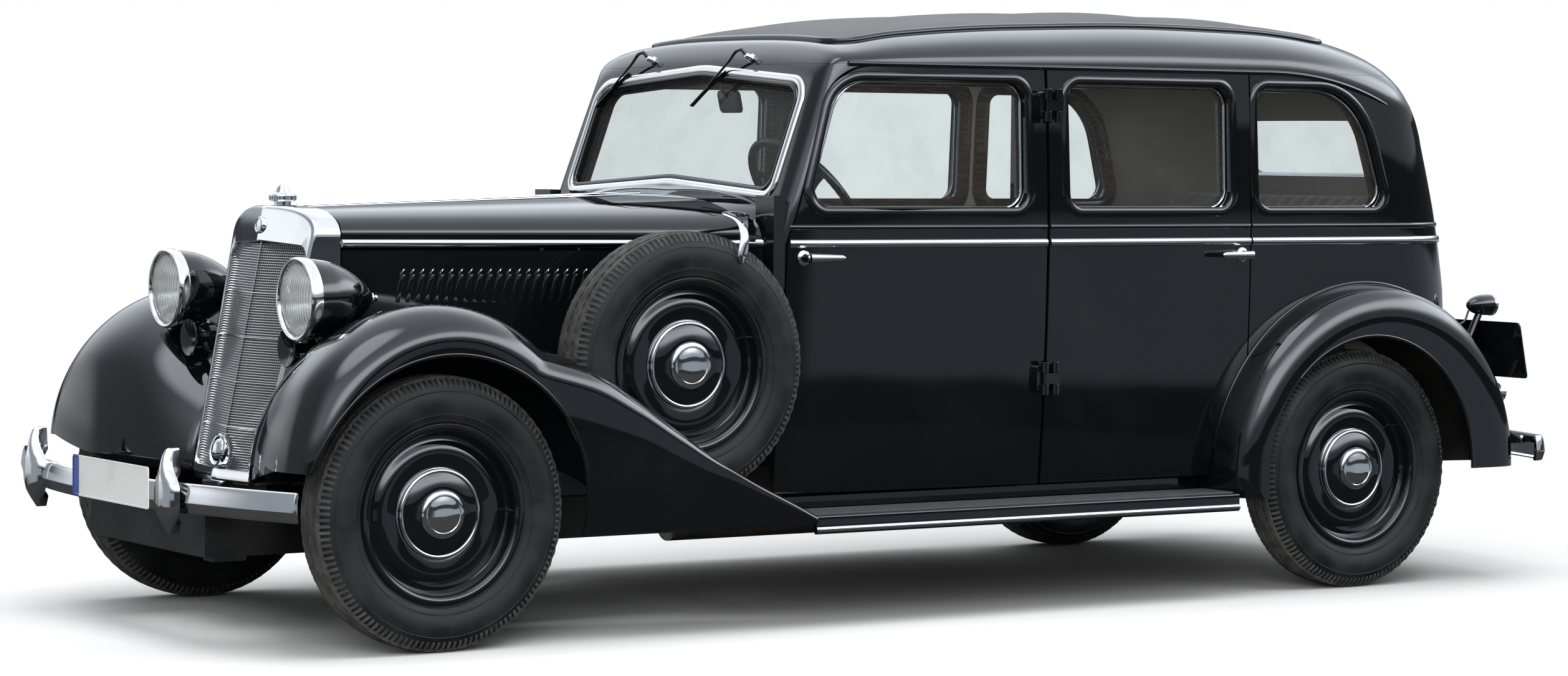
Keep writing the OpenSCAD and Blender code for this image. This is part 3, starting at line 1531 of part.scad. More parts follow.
translate([axle_x, 0, 0]) {
    chassis_frame();
    engine();
    front_suspension();
    rear_axle();
    exhaust();
    fuel_tank();
    floor_pan();  // floor
    cowl();
    roof_panel();
    roof_fabric();
    rear_body();
    door_posts();
    fixed_windows();
    bonnet_sides();
    bonnet_hinge();
    radiator_shell();
    radiator_grille();
    radiator_cap();
    front_fenders();
    rear_fenders();
    running_boards();
    headlamps();
    headlamp_lenses();
    horns();
    front_bumper();
    rear_bumper();
    tail_lamps();
    spare_place() tyre();  // spare_tyres
    spare_wheels();
    front_seat();
    rear_seat();
    dashboard();
    trafficators();
    bonnet_half_left();  // bonnet_left
    to_right() bonnet_half_left();  // bonnet_right
    door_front();  // door_front_left
    to_right() door_front();  // door_front_right
    door_rear();  // door_rear_left
    to_right() door_rear();  // door_rear_right
    glass_front();  // glass_front_left
    to_right() glass_front();  // glass_front_right
    glass_rear();  // glass_rear_left
    to_right() glass_rear();  // glass_rear_right
    knuckle();  // knuckle_left
    to_right() knuckle();  // knuckle_right
    front_left() tyre();  // tyre_front_left
    front_left() wheel(true);  // wheel_front_left
    to_right() front_left() tyre();  // tyre_front_right
    to_right() front_left() wheel(true);  // wheel_front_right
    rear_left() tyre();  // tyre_rear_left
    rear_left() wheel(true);  // wheel_rear_left
    to_right() rear_left() tyre();  // tyre_rear_right
    to_right() rear_left() wheel(true);  // wheel_rear_right
    steering_wheel();
}
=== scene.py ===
"""Looks of a pre-war four-door limousine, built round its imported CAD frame."""
import json
from math import acos, asin, atan, atan2, ceil, copysign, cos, degrees, hypot, pi, radians, sin, sqrt, tan

import bmesh
import bpy
import numpy as np
from mathutils import Matrix, Vector
from mathutils.bvhtree import BVHTree

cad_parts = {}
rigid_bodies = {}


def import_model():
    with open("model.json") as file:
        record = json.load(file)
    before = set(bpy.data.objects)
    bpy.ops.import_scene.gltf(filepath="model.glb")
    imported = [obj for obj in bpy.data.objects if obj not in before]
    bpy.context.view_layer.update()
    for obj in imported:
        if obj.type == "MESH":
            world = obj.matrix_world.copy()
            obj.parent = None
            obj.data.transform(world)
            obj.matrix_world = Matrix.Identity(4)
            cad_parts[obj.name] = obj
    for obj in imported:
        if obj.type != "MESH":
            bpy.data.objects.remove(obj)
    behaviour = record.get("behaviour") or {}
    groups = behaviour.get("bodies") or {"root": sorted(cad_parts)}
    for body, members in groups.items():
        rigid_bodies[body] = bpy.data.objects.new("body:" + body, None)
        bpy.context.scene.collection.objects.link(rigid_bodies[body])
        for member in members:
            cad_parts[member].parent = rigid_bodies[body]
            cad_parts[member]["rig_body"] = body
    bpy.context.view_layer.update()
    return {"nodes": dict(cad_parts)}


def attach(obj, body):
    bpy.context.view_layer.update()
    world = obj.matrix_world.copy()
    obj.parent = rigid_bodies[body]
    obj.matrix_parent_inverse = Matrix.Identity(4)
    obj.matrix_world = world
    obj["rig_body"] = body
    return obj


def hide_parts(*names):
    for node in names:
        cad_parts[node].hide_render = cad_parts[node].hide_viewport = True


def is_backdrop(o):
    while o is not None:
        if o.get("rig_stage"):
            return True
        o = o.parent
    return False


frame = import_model()

# Camera: stands ahead of the car's left side at eye height, fitted to the photo
# with the wheel circles and the wheelbase.
CAMERA_AT = Vector((-6.2665, -9.395, 1.274))
CAMERA_YAW, CAMERA_PITCH, CAMERA_ROLL = (radians(a) for a in (56.7514, -2.7319, 0.503))
SENSOR, FOCAL_LENGTH, SHIFT_UP = 36, 89.54, -0.0016
view_dir = Vector((cos(CAMERA_YAW) * cos(CAMERA_PITCH), sin(CAMERA_YAW) * cos(CAMERA_PITCH), sin(CAMERA_PITCH)))
flat_right = view_dir.cross(Vector((0, 0, 1))).normalized()
flat_up = flat_right.cross(view_dir)
cam_right = flat_right * cos(CAMERA_ROLL) + flat_up * sin(CAMERA_ROLL)
cam_up = flat_up * cos(CAMERA_ROLL) - flat_right * sin(CAMERA_ROLL)
camera = bpy.data.objects.new("camera", bpy.data.cameras.new("camera"))
camera.data.sensor_width = SENSOR
camera.data.lens = FOCAL_LENGTH
camera.data.shift_y = SHIFT_UP
camera.data.clip_end = 200
camera.matrix_world = Matrix((cam_right, cam_up, -view_dir)).transposed().to_4x4()
camera.location = CAMERA_AT
scene = bpy.context.scene
scene.collection.objects.link(camera)
scene.camera = camera
scene.view_settings.view_transform = "Standard"


class Wire:
    """A shader socket that takes sums and products, so that node maths reads as a formula."""

    def __init__(self, tree, socket):
        self.tree, self.socket = tree, socket

    def node(self, kind, settings=(), inputs=(), out=0):
        """One output of a new shader node, or of a Geometry one by its full type, with settings and inputs."""
        made = self.tree.nodes.new(kind if kind.startswith("Geometry") else "ShaderNode" + kind)
        for key, value in dict(settings).items():
            setattr(made, key, value)
        for key, value in dict(inputs).items():
            if isinstance(value, Wire):
                self.tree.links.new(value.socket, made.inputs[key])
            else:
                made.inputs[key].default_value = value
        return Wire(self.tree, made.outputs[out])

    def maths(self, operation, *values):
        return self.node("Math", {"operation": operation}, dict(enumerate(values)))

    def __add__(self, other):
        return self.maths("ADD", self, other)

    def __sub__(self, other):
        return self.maths("SUBTRACT", self, other)

    def __rsub__(self, other):
        return self.maths("SUBTRACT", other, self)

    def __mul__(self, other):
        return self.maths("MULTIPLY", self, other)

    __radd__, __rmul__ = __add__, __mul__

    def range(self, low, high):
        """Smooth step from low to high."""
        return self.node("MapRange", {"interpolation_type": "SMOOTHSTEP"}, {"Value": self, "From Min": low,
            "From Max": high})

    def blend(self, first, second):
        """Colour between first and second, by this factor."""
        pair = [c if isinstance(c, Wire) else (*c, 1) for c in (first, second)]
        return self.node("Mix", {"data_type": "RGBA"}, {0: self, 6: pair[0], 7: pair[1]}, 2)

    def noise(self, scale, detail=3.0, roughness=0.55):
        return self.node("TexNoise", (), {"Vector": self, "Scale": scale, "Detail": detail,
            "Roughness": roughness})

    def parts(self):
        """The three components of a vector."""
        return [self.node("SeparateXYZ", (), {0: self}, k) for k in range(3)]


def tree_of(owner):
    """Empties an owner's shader tree and returns a wire to build on."""
    owner.use_nodes = True
    owner.node_tree.nodes.clear()
    return Wire(owner.node_tree, None)


def put_out(start, shader, kind="ShaderNodeOutputMaterial"):
    start.tree.links.new(shader.socket, start.tree.nodes.new(kind).inputs["Surface"])


# Sky: white to camera and transmission rays, an overcast dome for the light, and for glossy rays dark
# ground, a tree line, a bright sky with two brighter patches and a pale wall ahead.
world = bpy.data.worlds.new("sky")
scene.world = world
start = tree_of(world)
way = start.node("TexCoord", (), (), "Generated")
height = way.parts()[2]


def towards(x, y, z):
    """Cosine between the ray and a direction."""
    return way.node("VectorMath", {"operation": "DOT_PRODUCT"}, {0: way, 1: Vector((x, y, z)).normalized()}, 1)


dome = height.range(-0.05, 0.12).blend((0.012, 0.012, 0.013), (0.05, 0.051, 0.053))
dome = height.range(0.10, 0.52).blend(dome, (0.36, 0.365, 0.37))
dome = height.range(0.45, 0.95).blend(dome, (0.98, 0.99, 1.0))
skyline = height + way.noise(5.0, 3.0) * 0.012
room = skyline.range(-0.146, -0.138).blend((0.035, 0.036, 0.038), (0.315, 0.36, 0.405))
abeam = towards(-0.15, -0.98, 0.0).range(0.90, 0.97)
room = abeam.blend(room, (0.046, 0.05, 0.057))
room = skyline.range(0.004, 0.022).blend(room, (0.04, 0.045, 0.052))
room = skyline.range(0.108, 0.125).blend(room, (0.39, 0.43, 0.47))
room = height.range(0.18, 0.36).blend(room, (1.52, 1.63, 1.77))
room = height.range(0.62, 0.86).blend(room, (1.13, 1.22, 1.33))
room = towards(-0.88, 0.38, 0.25).range(0.5, 0.88).blend(room, (0.335, 0.37, 0.41))
cloud = towards(0.547, -0.835, 0.0).range(0.25, 0.6) * (height.range(0.26, 0.40) - height.range(0.50, 0.66))
room = cloud.blend(room, (4.9, 5.25, 5.7))
wall = height.range(0.03, 0.2).blend((0.74, 0.79, 0.85), (1.14, 1.19, 1.24))
room = (towards(-0.57, 0.82, 0.08).range(0.88, 0.97) * height.range(-0.14, -0.05)).blend(room, wall)
room = towards(-0.25, -0.13, 0.95).range(0.92, 0.975).blend(room, (4.0, 4.3, 4.7))
in_gloss = start.node("LightPath", (), (), "Is Glossy Ray")
seen = start.node("LightPath", (), (), "Is Camera Ray")
through = start.node("LightPath", (), (), "Is Transmission Ray")
backdrop = seen.maths("MAXIMUM", seen, through).blend(in_gloss.blend(dome, room), (1.0, 1.0, 1.0))
put_out(start, start.node("Background", (), {"Color": backdrop, "Strength": 1.0}), "ShaderNodeOutputWorld")

# Lamps: one large soft panel overhead for the shadow under the car, a fill from the camera's side for
# the upright faces and a weak one inside the cab; glossy rays don't see them.
for lamp_name, spot, aim, size, watts in (("overhead_panel", (-0.3, -0.6, 6.0), (0.0, 0.0, 0.0), 6.0, 330.0),
        ("side_fill", (-5.5, -6.5, 3.2), (0.0, 0.0, 0.7), 5.0, 300.0), ("cab_fill", (0.75, 0.0, 1.52),
        (0.75, 0.0, 0.0), 0.9, 5.0)):
    lamp = bpy.data.objects.new(lamp_name, bpy.data.lights.new(lamp_name, "AREA"))
    lamp.data.size = size
    lamp.data.energy = watts
    lamp.location = spot
    lamp.rotation_euler = (Vector(aim) - Vector(spot)).to_track_quat("-Z", "Y").to_euler()
    lamp.visible_glossy = False
    scene.collection.objects.link(lamp)

# Floor: a pale studio sheet that keeps the car's shadow and fades to the backdrop's white; glossy rays
# see it dark.
FLOOR_RADIUS, FADE = 3.4, (2.2, 3.2)
floor_mesh = bpy.data.meshes.new("studio_floor")
shape = bmesh.new()
bmesh.ops.create_circle(shape, cap_ends=True, segments=96, radius=FLOOR_RADIUS)
shape.to_mesh(floor_mesh)
shape.free()
studio_floor = bpy.data.objects.new("studio_floor", floor_mesh)
scene.collection.objects.link(studio_floor)
paper = bpy.data.materials.new("studio_paper")
start = tree_of(paper)
place = start.node("TexCoord", (), (), "Object")
reach = place.node("VectorMath", {"operation": "LENGTH"}, {0: place}, 1)
grain = place.noise(60.0).range(0.3, 0.7)
in_mirrors = start.node("LightPath", (), (), "Is Glossy Ray")
sheet_of_paper = start.node("BsdfDiffuse", (),
    {"Color": in_mirrors.blend(grain.blend((0.90, 0.90, 0.90), (0.93, 0.93, 0.93)), (0.045, 0.045, 0.047))})
white = start.node("Emission", (), {"Color": (1, 1, 1, 1), "Strength": 1.0})
looked_at = start.node("LightPath", (), (), "Is Camera Ray")
put_out(start, start.node("MixShader", (), {0: looked_at * reach.range(*FADE), 1: sheet_of_paper, 2: white}))
floor_mesh.materials.append(paper)
studio_floor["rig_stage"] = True


def surface(name, look):
    """A material whose look(place), from object coordinates, gives a Principled shader's inputs."""
    made = bpy.data.materials.new(name)
    start = tree_of(made)
    place = start.node("TexCoord", (), (), "Object")
    put_out(start, start.node("BsdfPrincipled", (), look(place)))
    return made


def bump(height, strength, depth=0.001):
    """Normal from a height in depths."""
    return height.node("Bump", (), {"Height": height, "Strength": strength, "Distance": depth})


# Chassis: pressed and boxed steel frame, springs and axle in brushed satin black, with road dust in
# patches and a dull, scuffed sheen. The CAD solids are kept.
def satin_black(place):
    dirt = place.noise(5.0, 8.0).range(0.42, 0.72)
    scuff = place.noise(90.0, 4.0)
    return {"Base Color": dirt.blend((0.007, 0.007, 0.007), (0.020, 0.018, 0.016)),
            "Roughness": dirt * 0.3 + scuff * 0.15 + 0.5, "Normal": bump(scuff, 0.25)}


chassis_black = surface("chassis_black", satin_black)


def keep_nodes(material, *names):
    """Gives CAD nodes that stay in view their material."""
    for name in names:
        data = frame["nodes"][name].data
        data.materials.clear()
        data.materials.append(material)


keep_nodes(chassis_black, "chassis_frame", "front_suspension", "rear_axle", "fuel_tank", "knuckle_left",
           "knuckle_right")


# Engine and gearbox: one plain block at their place, painted grey casting.
def cast_grey(place):
    sand = place.noise(160.0, 5.0)
    oil = place.noise(7.0, 6.0).range(0.5, 0.75)
    return {"Base Color": oil.blend((0.16, 0.165, 0.17), (0.045, 0.04, 0.035)), "Roughness": sand * 0.25 + 0.42,
            "Metallic": 0.2, "Normal": bump(sand, 0.5)}


keep_nodes(surface("cast_grey", cast_grey), "engine")


# Exhaust: drawn steel pipe and rolled silencer, heat-stained and rust-speckled.
def stained_steel(place):
    rust = place.noise(14.0, 8.0).range(0.45, 0.7)
    return {"Base Color": rust.blend((0.22, 0.21, 0.2), (0.16, 0.075, 0.035)), "Roughness": rust * 0.35 + 0.4,
            "Metallic": 0.7 - rust * 0.55, "Normal": bump(place.noise(120.0, 4.0), 0.3)}


keep_nodes(surface("exhaust_steel", stained_steel), "exhaust")


# Floor: a dark looped carpet, on the CAD solid.
def carpet(place):
    loops = place.noise(700.0, 2.0)
    tread = place.noise(4.0, 3.0).range(0.35, 0.7)
    return {"Base Color": (loops * 0.6 + tread * 0.4).blend((0.022, 0.02, 0.018), (0.07, 0.062, 0.052)),
            "Roughness": loops * 0.1 + 0.88, "Normal": bump(loops, 0.8, 0.002)}


keep_nodes(surface("floor_carpet", carpet), "floor")

MM = 0.001
AXLE_X = -1622.5


class Shape:
    """Faces gathered in millimetres, x behind the front axle, before they become one piece."""

    def __init__(self):
        self.points, self.faces, self.kinds, self.count = [], [], [], 0

    def add(self, points, faces, kind=0, both=False):
        points = np.asarray(points, float).reshape(-1, 3)
        self.points.append(points)
        self.faces += [[int(i) + self.count for i in face] for face in faces]
        self.kinds += [kind] * len(faces)
        self.count += len(points)
        if both:
            self.add(points * (1, -1, 1), [face[::-1] for face in faces], kind)
        return self

    def object(self, name, materials, sharp=35.0):
        """One closed mesh with its faces outwards, smooth up to an angle in degrees."""
        places = (np.concatenate(self.points) + (AXLE_X, 0, 0)) * MM
        mesh = bpy.data.meshes.new(name)
        mesh.from_pydata(places.tolist(), [], self.faces)
        mesh.polygons.foreach_set("material_index", self.kinds)
        work = bmesh.new()
        work.from_mesh(mesh)
        bmesh.ops.remove_doubles(work, verts=work.verts, dist=0.02 * MM)
        bmesh.ops.dissolve_degenerate(work, edges=work.edges, dist=0.001 * MM)
        bmesh.ops.recalc_face_normals(work, faces=work.faces)
        work.to_mesh(mesh)
        work.free()
        for material in materials:
            mesh.materials.append(material)
        mesh.shade_smooth()
        mesh.set_sharp_from_angle(angle=radians(sharp))
        made = bpy.data.objects.new(name, mesh)
        scene.collection.objects.link(made)
        return made


def ready(piece, body, slot, *nodes):
    """Hangs a finished piece on its body and hides the CAD nodes it stands for; slot is not used."""
    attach(piece, body)
    if nodes:
        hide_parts(*nodes)
    return piece


def grid(rows, wrap=False, ends=False):
    """Points and quads of a grid of rows; wrap joins the last column to the first, ends caps both rows."""
    rows = np.asarray(rows, float)
    m, n = rows.shape[:2]
    last = n if wrap else n - 1
    faces = [[i * n + j, i * n + (j + 1) % n, (i + 1) * n + (j + 1) % n, (i + 1) * n + j] for i in range(m - 1)
             for j in range(last)]
    if ends:
        faces += [list(range(n))[::-1], list(range((m - 1) * n, m * n))]
    return rows.reshape(-1, 3), faces


def capped(rows):
    """Closed bar through rows that go round, with both ends capped."""
    return grid(rows, wrap=True, ends=True)


def smooth(rows):
    """Monotone cubic curve through rows of place and value."""
    x, y = np.array(rows, float).T
    h = np.diff(x)
    d = np.diff(y) / h
    m = np.concatenate([d[:1], np.zeros(len(d) - 1), d[-1:]])
    same = d[:-1] * d[1:] > 0
    m[1:-1][same] = 2 * d[:-1][same] * d[1:][same] / (d[:-1] + d[1:])[same]

    def at(t):
        t = np.clip(t, x[0], x[-1])
        k = np.clip(np.searchsorted(x, t, side="right") - 1, 0, len(h) - 1)
        u = (t - x[k]) / h[k]
        return ((1 + 2 * u) * (1 - u) ** 2 * y[k] + u * (1 - u) ** 2 * h[k] * m[k]
                + u * u * (3 - 2 * u) * y[k + 1] + u * u * (u - 1) * h[k] * m[k + 1])
    return at

# Cab: steel skin over a wood frame, black stoving enamel outside and grey-beige cloth inside.
# One smooth shape gives the roof, cowl posts, rear body and doors, which are cut from it.
CAB_FRONT_X, CAB_LEN, CAB_W = 1092.0, 2543.0, 700.0
SILL_Z, BELT_Z, DRIP_Z, ROOF_Z, WINDOW_LOW_Z = 300.0, 1020.0, 1508.0, 1676.0, 1116.0
SCREEN_TILT, BACK_TILT = radians(20), radians(14)
SCREEN_LEAN, BACK_LEAN = tan(SCREEN_TILT), tan(BACK_TILT)
WALL = 45.0
SCREEN_LOW_Z, SCREEN_SOFT, BACK_BEND_Z = 1100.0, 12, 850.0
FRONT_ROUND, BACK_ROUND, HEAD_ROUND, TAIL_ROUND = 45.0, 350.0, 70.0, 250.0
plan_share = smooth([[0, .895], [.04, .928], [.16, .972], [.33, 1], [.62, 1], [.85, .99], [1, .975]])
roof_share = smooth([[0, .37], [.055, .48], [.15, .69], [.34, .9], [.52, 1], [.66, .96], [.78, .87], [.88, .73],
    [1, .5]])
low_share = smooth([[0, .945], [.12, .957], [.4, .978], [.75, .995], [1, 1]])
high_share = smooth([[0, 1], [.22, .998], [.6, .986], [1, .965]])


def corner(s, r):
    """How far a quarter-round corner of radius r lies inside its square, s from the end."""
    s = np.clip(s, 0, r)
    return r - np.sqrt(r * r - (r - s) ** 2)


def soft_rise(v, round_off=50.0):
    """Rise above zero with a rounded start."""
    return (v + np.sqrt(v * v + round_off ** 2)) / 2


def cab_section(s, t, low=15, high=13, crown=20):
    """Cross-section at s behind the cab's front, t inside the skin, left sill to right sill."""
    free = DRIP_Z + (ROOF_Z - DRIP_Z) * roof_share(s / CAB_LEN)
    fade_front = np.clip(1 - s / (0.35 * CAB_LEN), 0, 1) ** 2
    fade_back = np.clip(1 - (CAB_LEN - s) / (0.35 * CAB_LEN), 0, 1) ** 2
    ease = np.clip((CAB_LEN - s) / 120.0, 0, 1)
    drop = 260.0 * fade_back * ease * ease * (3 - 2 * ease)
    top = free - corner(s, HEAD_ROUND) - corner(CAB_LEN - s, TAIL_ROUND)
    drip = BELT_Z + (DRIP_Z - BELT_Z) * (top - BELT_Z) / (free - BELT_Z) - drop - t / 2
    top = top - t
    power = 0.8 + 0.2 * fade_back

    def side(z):
        return (CAB_W * plan_share(s / CAB_LEN) - corner(CAB_LEN - s, BACK_ROUND) - corner(s,
            FRONT_ROUND) * np.clip((z - BELT_Z) / (WINDOW_LOW_Z - BELT_Z), 0, 1))

    a = np.linspace(0, 1, low)[:-1]
    z_low = SILL_Z - t + (BELT_Z - SILL_Z + t) * a
    b = np.linspace(0, 1, high)
    z_high = BELT_Z + (drip - BELT_Z) * b
    c = np.radians(np.linspace(0, 90, crown))[1:]
    w_drip = side(drip) * high_share(1.0) - t
    y = np.concatenate([side(z_low) * low_share(a) - t, side(z_high) * high_share(b) - t,
        w_drip * np.cos(c) ** power])
    z = np.concatenate([z_low, z_high, drip + (top - drip) * np.sin(c) ** power])
    y[-1] = 0
    x = (CAB_FRONT_X + t + s * (CAB_LEN - 2 * t) / CAB_LEN + fade_front * SCREEN_LEAN * soft_rise(z
        - SCREEN_LOW_Z, SCREEN_SOFT) - fade_back * BACK_LEAN * soft_rise(z - BACK_BEND_Z))
    left = np.stack([x, -y, z], 1)
    return np.concatenate([left, left[-2::-1] * (1, -1, 1)])


def closed_loft(sections):
    """Solid through equal sections, capped by strips between mirrored points."""
    points, faces = grid(sections)
    n, m = len(sections[0]), len(sections)
    half = (n - 1) // 2
    faces += [[i * n + n - 1, i * n, (i + 1) * n, (i + 1) * n + n - 1] for i in range(m - 1)]
    for base in (0, (m - 1) * n):
        cap = [[base + j, base + n - 1 - j, base + n - 2 - j, base + j + 1] for j in range(half - 1)]
        cap.append([base + half - 1, base + half + 1, base + half])
        faces += cap if base == 0 else [face[::-1] for face in cap]
    return points, faces


def cab_stations():
    ends = np.radians(np.linspace(0, 90, 8))
    back = np.radians(np.linspace(90, 0, 18))
    return np.concatenate([FRONT_ROUND * (1 - np.cos(ends)), np.linspace(62, CAB_LEN - 372, 64),
        CAB_LEN - BACK_ROUND * (1 - np.cos(back))])


def cab_solid(t):
    return closed_loft([cab_section(s, t) for s in cab_stations()])


def gloss_black(place):
    """Hand-rubbed black enamel: deep gloss, a trace of ripple, and faint dust in patches."""
    dust = place.noise(3.0, 8.0).range(0.48, 0.78)
    speck = place.noise(650.0, 1.0).range(0.66, 0.74)
    ripple = place.noise(140.0, 2.0)
    return {"Base Color": (dust * 0.5 + speck * 0.3).blend((0.0038, 0.0044, 0.0054), (0.0100, 0.0108, 0.0120)),
            "Roughness": dust * 0.03 + speck * 0.04 + 0.028, "Specular IOR Level": 0.5, "Coat Weight": 0.35,
            "Coat Roughness": 0.03, "Normal": bump(ripple, 0.012)}


def trim_cloth(place):
    """Grey-beige wool cloth of the lining, with a fine twill."""
    x, y, z = place.parts()
    twill = ((x + y + z) * 5200.0).maths("SINE", (x + y + z) * 5200.0)
    nap = place.noise(260.0, 3.0)
    return {"Base Color": (nap * 0.8 + twill * 0.1).blend((0.20, 0.185, 0.16), (0.31, 0.29, 0.255)),
            "Roughness": nap * 0.1 + 0.85, "Sheen Weight": 0.25, "Normal": bump(twill * 0.4 + nap, 0.35)}


black_paint = surface("black_paint", gloss_black)
lining = surface("lining_cloth", trim_cloth)
CAB_LOOK = [black_paint, lining]
cab_outer = Shape().add(*cab_solid(0.0)).object("cab_outer_former", CAB_LOOK)
cab_inner = Shape().add(*cab_solid(WALL), kind=1).object("cab_inner_former", CAB_LOOK)


class Skin:
    """Smooth surface of a former: nearest normals, and points straight in from one side."""

    def __init__(self, former):
        mesh = former.data
        mesh.calc_loop_triangles()
        self.points = [v.co.copy() for v in mesh.vertices]
        self.normals = [Vector(n.vector) for n in mesh.vertex_normals]
        self.triangles = [tuple(t.vertices) for t in mesh.loop_triangles]
        self.tree = BVHTree.FromPolygons(self.points, self.triangles)

    def normal(self, place):
        """Distance to the surface and its smooth normal there."""
        spot, flat, index, gap = self.tree.find_nearest(place)
        a, b, c = self.triangles[index]
        pa, pb, pc = self.points[a], self.points[b], self.points[c]
        v0, v1, v2 = pb - pa, pc - pa, spot - pa
        d00, d01, d11, d20, d21 = v0.dot(v0), v0.dot(v1), v1.dot(v1), v2.dot(v0), v2.dot(v1)
        share = d00 * d11 - d01 * d01 or 1e-12
        v, w = (d11 * d20 - d01 * d21) / share, (d00 * d21 - d01 * d20) / share
        mean = self.normals[a] * (1 - v - w) + self.normals[b] * v + self.normals[c] * w
        return gap, mean.normalized() if mean.dot(flat) > 0.5 else flat

    def hit(self, x, y, z, way):
        """Point and normal in millimetres where a ray along way from that point meets the surface."""
        origin = Vector(((x + AXLE_X) * MM, y * MM, z * MM))
        spot = self.tree.ray_cast(origin, Vector(way))[0]
        if spot is None:
            spot = self.tree.find_nearest(origin)[0]
        return np.array(spot) / MM - (AXLE_X, 0, 0), np.array(self.normal(spot)[1])

    def from_left(self, x, z):
        """Point and normal met by a level ray from well out on the car's left."""
        return self.hit(x, -3000, z, (0, 1, 0))

    def from_above(self, x, y):
        """Point and normal met by a ray straight down."""
        return self.hit(x, y, 4000, (0, 0, -1))


cab_skin, lining_skin = Skin(cab_outer), Skin(cab_inner)


def cut_from(former, steps, name, skins=()):
    """Copy of a former after boolean steps of (operation, tool), shaded by the skins it came from."""
    made = former.copy()
    made.data = former.data.copy()
    made.name = made.data.name = name
    scene.collection.objects.link(made)
    for operation, tool in steps:
        step = made.modifiers.new("step", "BOOLEAN")
        step.operation, step.object, step.solver = operation, tool, "MANIFOLD"
    bpy.context.view_layer.update()
    shown = made.evaluated_get(bpy.context.evaluated_depsgraph_get())
    mesh = bpy.data.meshes.new_from_object(shown)
    made.modifiers.clear()
    made.data = mesh
    mesh.name = name
    shade_from(made, skins)
    return made


def shade_from(piece, skins, near=0.0012, like=0.86):
    """Smooth normals from the uncut skins on faces that lie on them; cut faces stay flat."""
    mesh = piece.data
    mesh.shade_smooth()
    mesh.set_sharp_from_angle(angle=radians(32))
    found = [[skin.normal(v.co) for v in mesh.vertices] for skin in skins]
    corners = [Vector(n.vector) for n in mesh.corner_normals]
    for face in mesh.polygons:
        for loop in face.loop_indices:
            v = mesh.loops[loop].vertex_index
            for rows in found:
                gap, normal = rows[v]
                if gap < near and abs(normal.dot(face.normal)) > like:
                    corners[loop] = normal if normal.dot(face.normal) > 0 else -normal
                    break
    mesh.normals_split_custom_set(corners)


def prism(outline, low, high, axes):
    """Tool for a cut: an outline of pairs, drawn out from low to high; axes maps (u, v, depth) to x, y, z."""
    rows = [[axes(u, v, d) for u, v in outline] for d in (low, high)]
    return Shape().add(*capped(rows)).object("cutter", [black_paint])


def slab(low, high):
    """Box-shaped tool for a cut."""
    return prism([(low[0], low[2]), (high[0], low[2]), (high[0], high[2]), (low[0], high[2])], low[1], high[1],
                 lambda u, v, d: (u, d, v))


def rounded(rows, steps=10):
    """Outline with rounded corners from rows of place and radius."""
    outline = []
    for k, (x, y, r) in enumerate(rows):
        p = np.array([x, y], float)
        if r == 0:
            outline.append(p)
            continue
        u, w = (np.array(rows[(k + d) % len(rows)][:2], float) - p for d in (-1, 1))
        u, w = u / np.linalg.norm(u), w / np.linalg.norm(w)
        half = acos(np.clip(u @ w, -1, 1)) / 2
        c = p + (u + w) / np.linalg.norm(u + w) * r / sin(half)
        a, b = (atan2(*(p + d * r / tan(half) - c)[::-1]) for d in (u, w))
        turn = (b - a + pi) % (2 * pi) - pi
        outline += [c + r * np.array([cos(a + turn * t), sin(a + turn * t)]) for t in np.linspace(0, 1,
            steps + 1)]
    return outline


def sweep(path, outs, profile, closed=False):
    """Bar along a path: profile rows of (out, side), out along the given normals."""
    path, outs = np.asarray(path, float), np.asarray(outs, float)
    ahead = np.roll(path, -1, 0) - np.roll(path, 1, 0)
    if not closed:
        ahead[0], ahead[-1] = path[1] - path[0], path[-1] - path[-2]
    ahead /= np.linalg.norm(ahead, axis=1)[:, None]
    side = np.cross(ahead, outs)
    side /= np.linalg.norm(side, axis=1)[:, None]
    rows = [[p + a * o + b * q for a, b in profile] for p, o, q in zip(path, outs, side)]
    return grid(rows + rows[:1] if closed else rows, wrap=True, ends=not closed)


def half_round(width, height, sink=1.5, steps=8):
    """Profile of a half-round moulding that sits sink deep in its panel."""
    a = np.linspace(0, pi, steps + 1)
    return [(-sink, width / 2)] + [(height * sin(t), width / 2 * cos(t)) for t in a] + [(-sink, -width / 2)]


def upright(u, v, d):
    return u, d, v


# Door and window outlines, in the plane of the car's side.
DOOR_FRONT_X, DOOR_REAR_X, DOOR_LOW_Z, DOOR_TOP_Z = 1104.0, 2666.0, 345.0, 1500.6
DOOR_MID_X = DOOR_FRONT_X + 0.533 * (DOOR_REAR_X - DOOR_FRONT_X)
WINDOW_HIGH_Z = 1464.0
FENDER_X, FENDER_Z, FENDER_R = 3105.0, 347.0, 548.0


def turned_about(x, angle):
    """Axes of an outline in the car's side, turned about an upright line at x on the left skin."""
    c, s = cos(radians(angle)), sin(radians(angle))
    return lambda u, v, d: (x + (u - x) * c - (d + CAB_W) * s, -CAB_W + (u - x) * s + (d + CAB_W) * c, v)


def front_door_tool(g):
    outline = rounded([[DOOR_FRONT_X - g, DOOR_LOW_Z - g, 0], [2600, DOOR_LOW_Z - g, 0],
        [2600, DOOR_TOP_Z + g, 0], [DOOR_FRONT_X + 172 - g, DOOR_TOP_Z + g, 150],
        [DOOR_FRONT_X + 18 - g, BELT_Z, 0]])
    return prism(outline, -CAB_W - 180, -CAB_W + 108, turned_about(DOOR_FRONT_X, 8))


